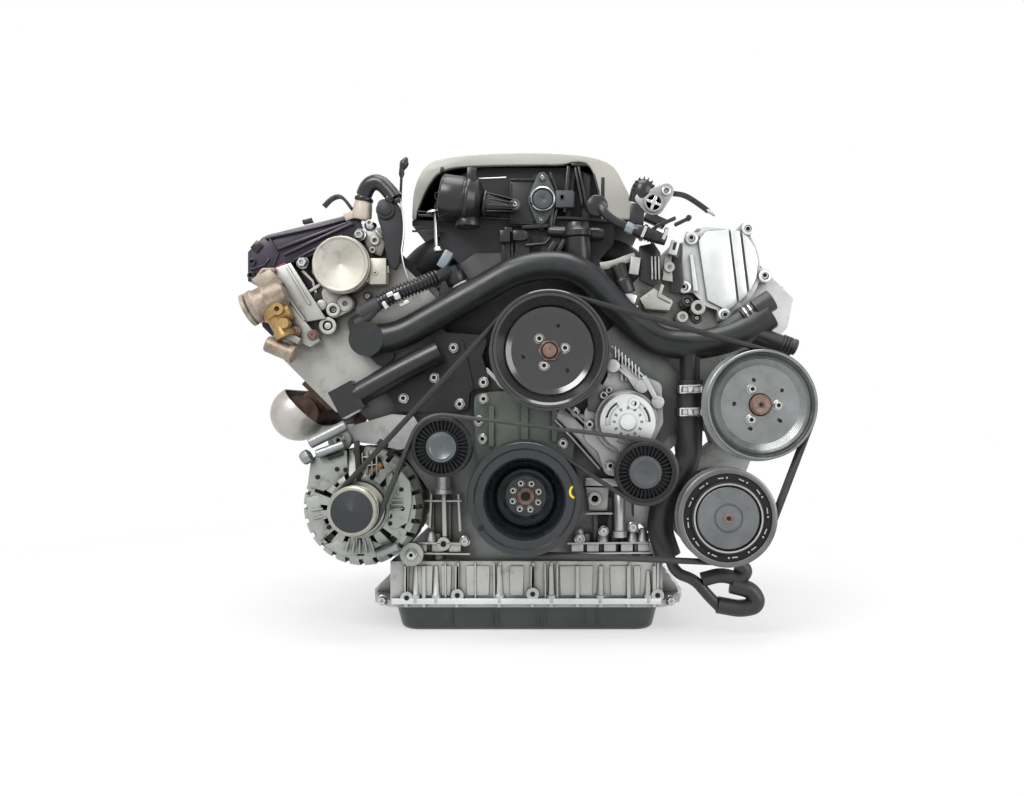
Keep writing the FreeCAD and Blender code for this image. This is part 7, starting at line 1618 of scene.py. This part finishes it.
class OBJECT_OT_engine_stage(bpy.types.Operator):
    """Builds the floor, the lamps, the background and the camera"""
    bl_idname = "object.engine_stage"
    bl_label = "Stage"

    def execute(self, context):
        scene = context.scene
        floor_z = CAD_BOX[0][2] * 1000
        reach = 9000
        outline = [(-reach, -reach), (reach, -reach), (reach, reach), (-reach, reach)]
        floor = bpy.data.objects.new("floor", new_mesh("floor", [(x * MM, y * MM, floor_z * MM) for x, y in outline],
                                                       [(0, 1, 2, 3)]))
        scene.collection.objects.link(floor)
        floor.data.materials.append(self.floor_paint())
        world = bpy.data.worlds.new("studio")
        scene.world = world
        world.use_nodes = True
        nodes, links = world.node_tree.nodes, world.node_tree.links
        nodes.clear()
        path = nodes.new("ShaderNodeLightPath")
        seen = nodes.new("ShaderNodeMath")
        seen.operation = "MAXIMUM"
        links.new(path.outputs["Is Camera Ray"], seen.inputs[0])
        links.new(path.outputs["Is Transmission Ray"], seen.inputs[1])
        mirrored = nodes.new("ShaderNodeMath")
        mirrored.operation = "MAXIMUM"
        links.new(seen.outputs[0], mirrored.inputs[0])
        links.new(path.outputs["Is Glossy Ray"], mirrored.inputs[1])
        light, white = nodes.new("ShaderNodeBackground"), nodes.new("ShaderNodeBackground")
        light.inputs["Color"].default_value = (0.93, 0.96, 1.0, 1)
        light.inputs["Strength"].default_value = 0.42
        white.inputs["Color"].default_value = (1, 1, 1, 1)
        white.inputs["Strength"].default_value = 1.0
        mixed, output = nodes.new("ShaderNodeMixShader"), nodes.new("ShaderNodeOutputWorld")
        links.new(mirrored.outputs[0], mixed.inputs[0])
        links.new(light.outputs[0], mixed.inputs[1])
        links.new(white.outputs[0], mixed.inputs[2])
        links.new(mixed.outputs[0], output.inputs[0])
        lamps = (
            ("key", (-900, -1700, 1500), 0.9, 30.0), ("fill", (1500, -1500, 500), 1.1, 14.0),
            ("top", (0, -500, 1900), 1.2, 24.0), ("rim", (300, 1500, 1200), 1.2, 14.0),
        )
        target = Vector((0, -0.25, 0.1))
        for name, place, size, power in lamps:
            lamp = bpy.data.lights.new(name, "AREA")
            lamp.size = size
            lamp.energy = power
            thing = bpy.data.objects.new(name, lamp)
            thing.location = Vector(place) * MM
            thing.rotation_euler = (target - thing.location).to_track_quat("-Z", "Y").to_euler()
            scene.collection.objects.link(thing)
        camera = bpy.data.cameras.new("camera")
        camera.sensor_width = 36
        camera.lens = 34.5
        camera.shift_x, camera.shift_y = -0.042, 0.012
        viewer = bpy.data.objects.new("camera", camera)
        distance = scene.engine_sizes.camera_distance * 1000
        viewer.location = Vector((AIM_X, BELT_PLANE - distance, AIM_Z)) * MM
        viewer.rotation_euler = (math.radians(90), 0, 0)
        scene.collection.objects.link(viewer)
        scene.camera = viewer
        scene.view_settings.view_transform = "Standard"
        return {"FINISHED"}

    def floor_paint(self):
        """A pale floor that keeps the shadow near the engine and runs out into the white of the background."""
        paint = Paint("pale_floor", (0.84, 0.84, 0.84), 0.7)
        paint.set("Roughness", paint.noise(3, 2) * 0.1 + 0.65)
        reach = paint.add("ShaderNodeVectorMath", {"operation": "LENGTH"}, {0: paint.place}, "Value")
        far = reach.between(0.3, 1.1, 0.5, 1.0)
        rays = paint.nodes.new("ShaderNodeLightPath")
        seen = Wire(paint, rays.outputs["Is Camera Ray"])
        for kind in ("Is Glossy Ray", "Is Transmission Ray"):
            seen = seen.maths("MAXIMUM", seen, Wire(paint, rays.outputs[kind]))
        glow = paint.add("ShaderNodeEmission", None, {"Color": (1, 1, 1), "Strength": 1.0})
        blend = paint.add("ShaderNodeMixShader", None, {0: far * seen})
        paint.links.new(paint.shader.outputs[0], blend.socket.node.inputs[1])
        paint.links.new(glow.socket, blend.socket.node.inputs[2])
        paint.links.new(blend.socket, paint.nodes["Material Output"].inputs["Surface"])
        return paint.material


class VIEW3D_PT_engine(bpy.types.Panel):
    bl_label = "Engine"
    bl_idname = "VIEW3D_PT_engine"
    bl_space_type = "VIEW_3D"
    bl_region_type = "UI"
    bl_category = "Engine"

    def draw(self, context):
        scene = context.scene
        self.layout.prop(scene.engine_finishes, "cover_colour")
        self.layout.prop(scene.engine_sizes, "cover_thickness")
        self.layout.prop(scene.engine_sizes, "camera_distance")
        for operator in OPERATORS:
            self.layout.operator(operator.bl_idname)


OPERATORS = (
    OBJECT_OT_engine_castings,
    OBJECT_OT_engine_arched_cover,
    OBJECT_OT_engine_intake_front,
    OBJECT_OT_engine_breather,
    OBJECT_OT_engine_left_head,
    OBJECT_OT_engine_air_valve,
    OBJECT_OT_engine_right_head,
    OBJECT_OT_engine_wiring,
    OBJECT_OT_engine_pulley_faces,
    OBJECT_OT_engine_alternator_front,
    OBJECT_OT_engine_lower_front,
    OBJECT_OT_engine_bracket_front,
    OBJECT_OT_engine_fastenings,
    OBJECT_OT_engine_stage,
)
CLASSES = (EngineFinishes, EngineSizes, *OPERATORS, VIEW3D_PT_engine)


def register():
    for cls in CLASSES:
        bpy.utils.register_class(cls)
    bpy.types.Scene.engine_finishes = bpy.props.PointerProperty(type=EngineFinishes)
    bpy.types.Scene.engine_sizes = bpy.props.PointerProperty(type=EngineSizes)


def unregister():
    del bpy.types.Scene.engine_sizes
    del bpy.types.Scene.engine_finishes
    for cls in reversed(CLASSES):
        bpy.utils.unregister_class(cls)


def main():
    register()
    for operator in OPERATORS:
        group, name = operator.bl_idname.split(".")
        getattr(getattr(bpy.ops, group), name)()


if __name__ == "__main__":
    main()
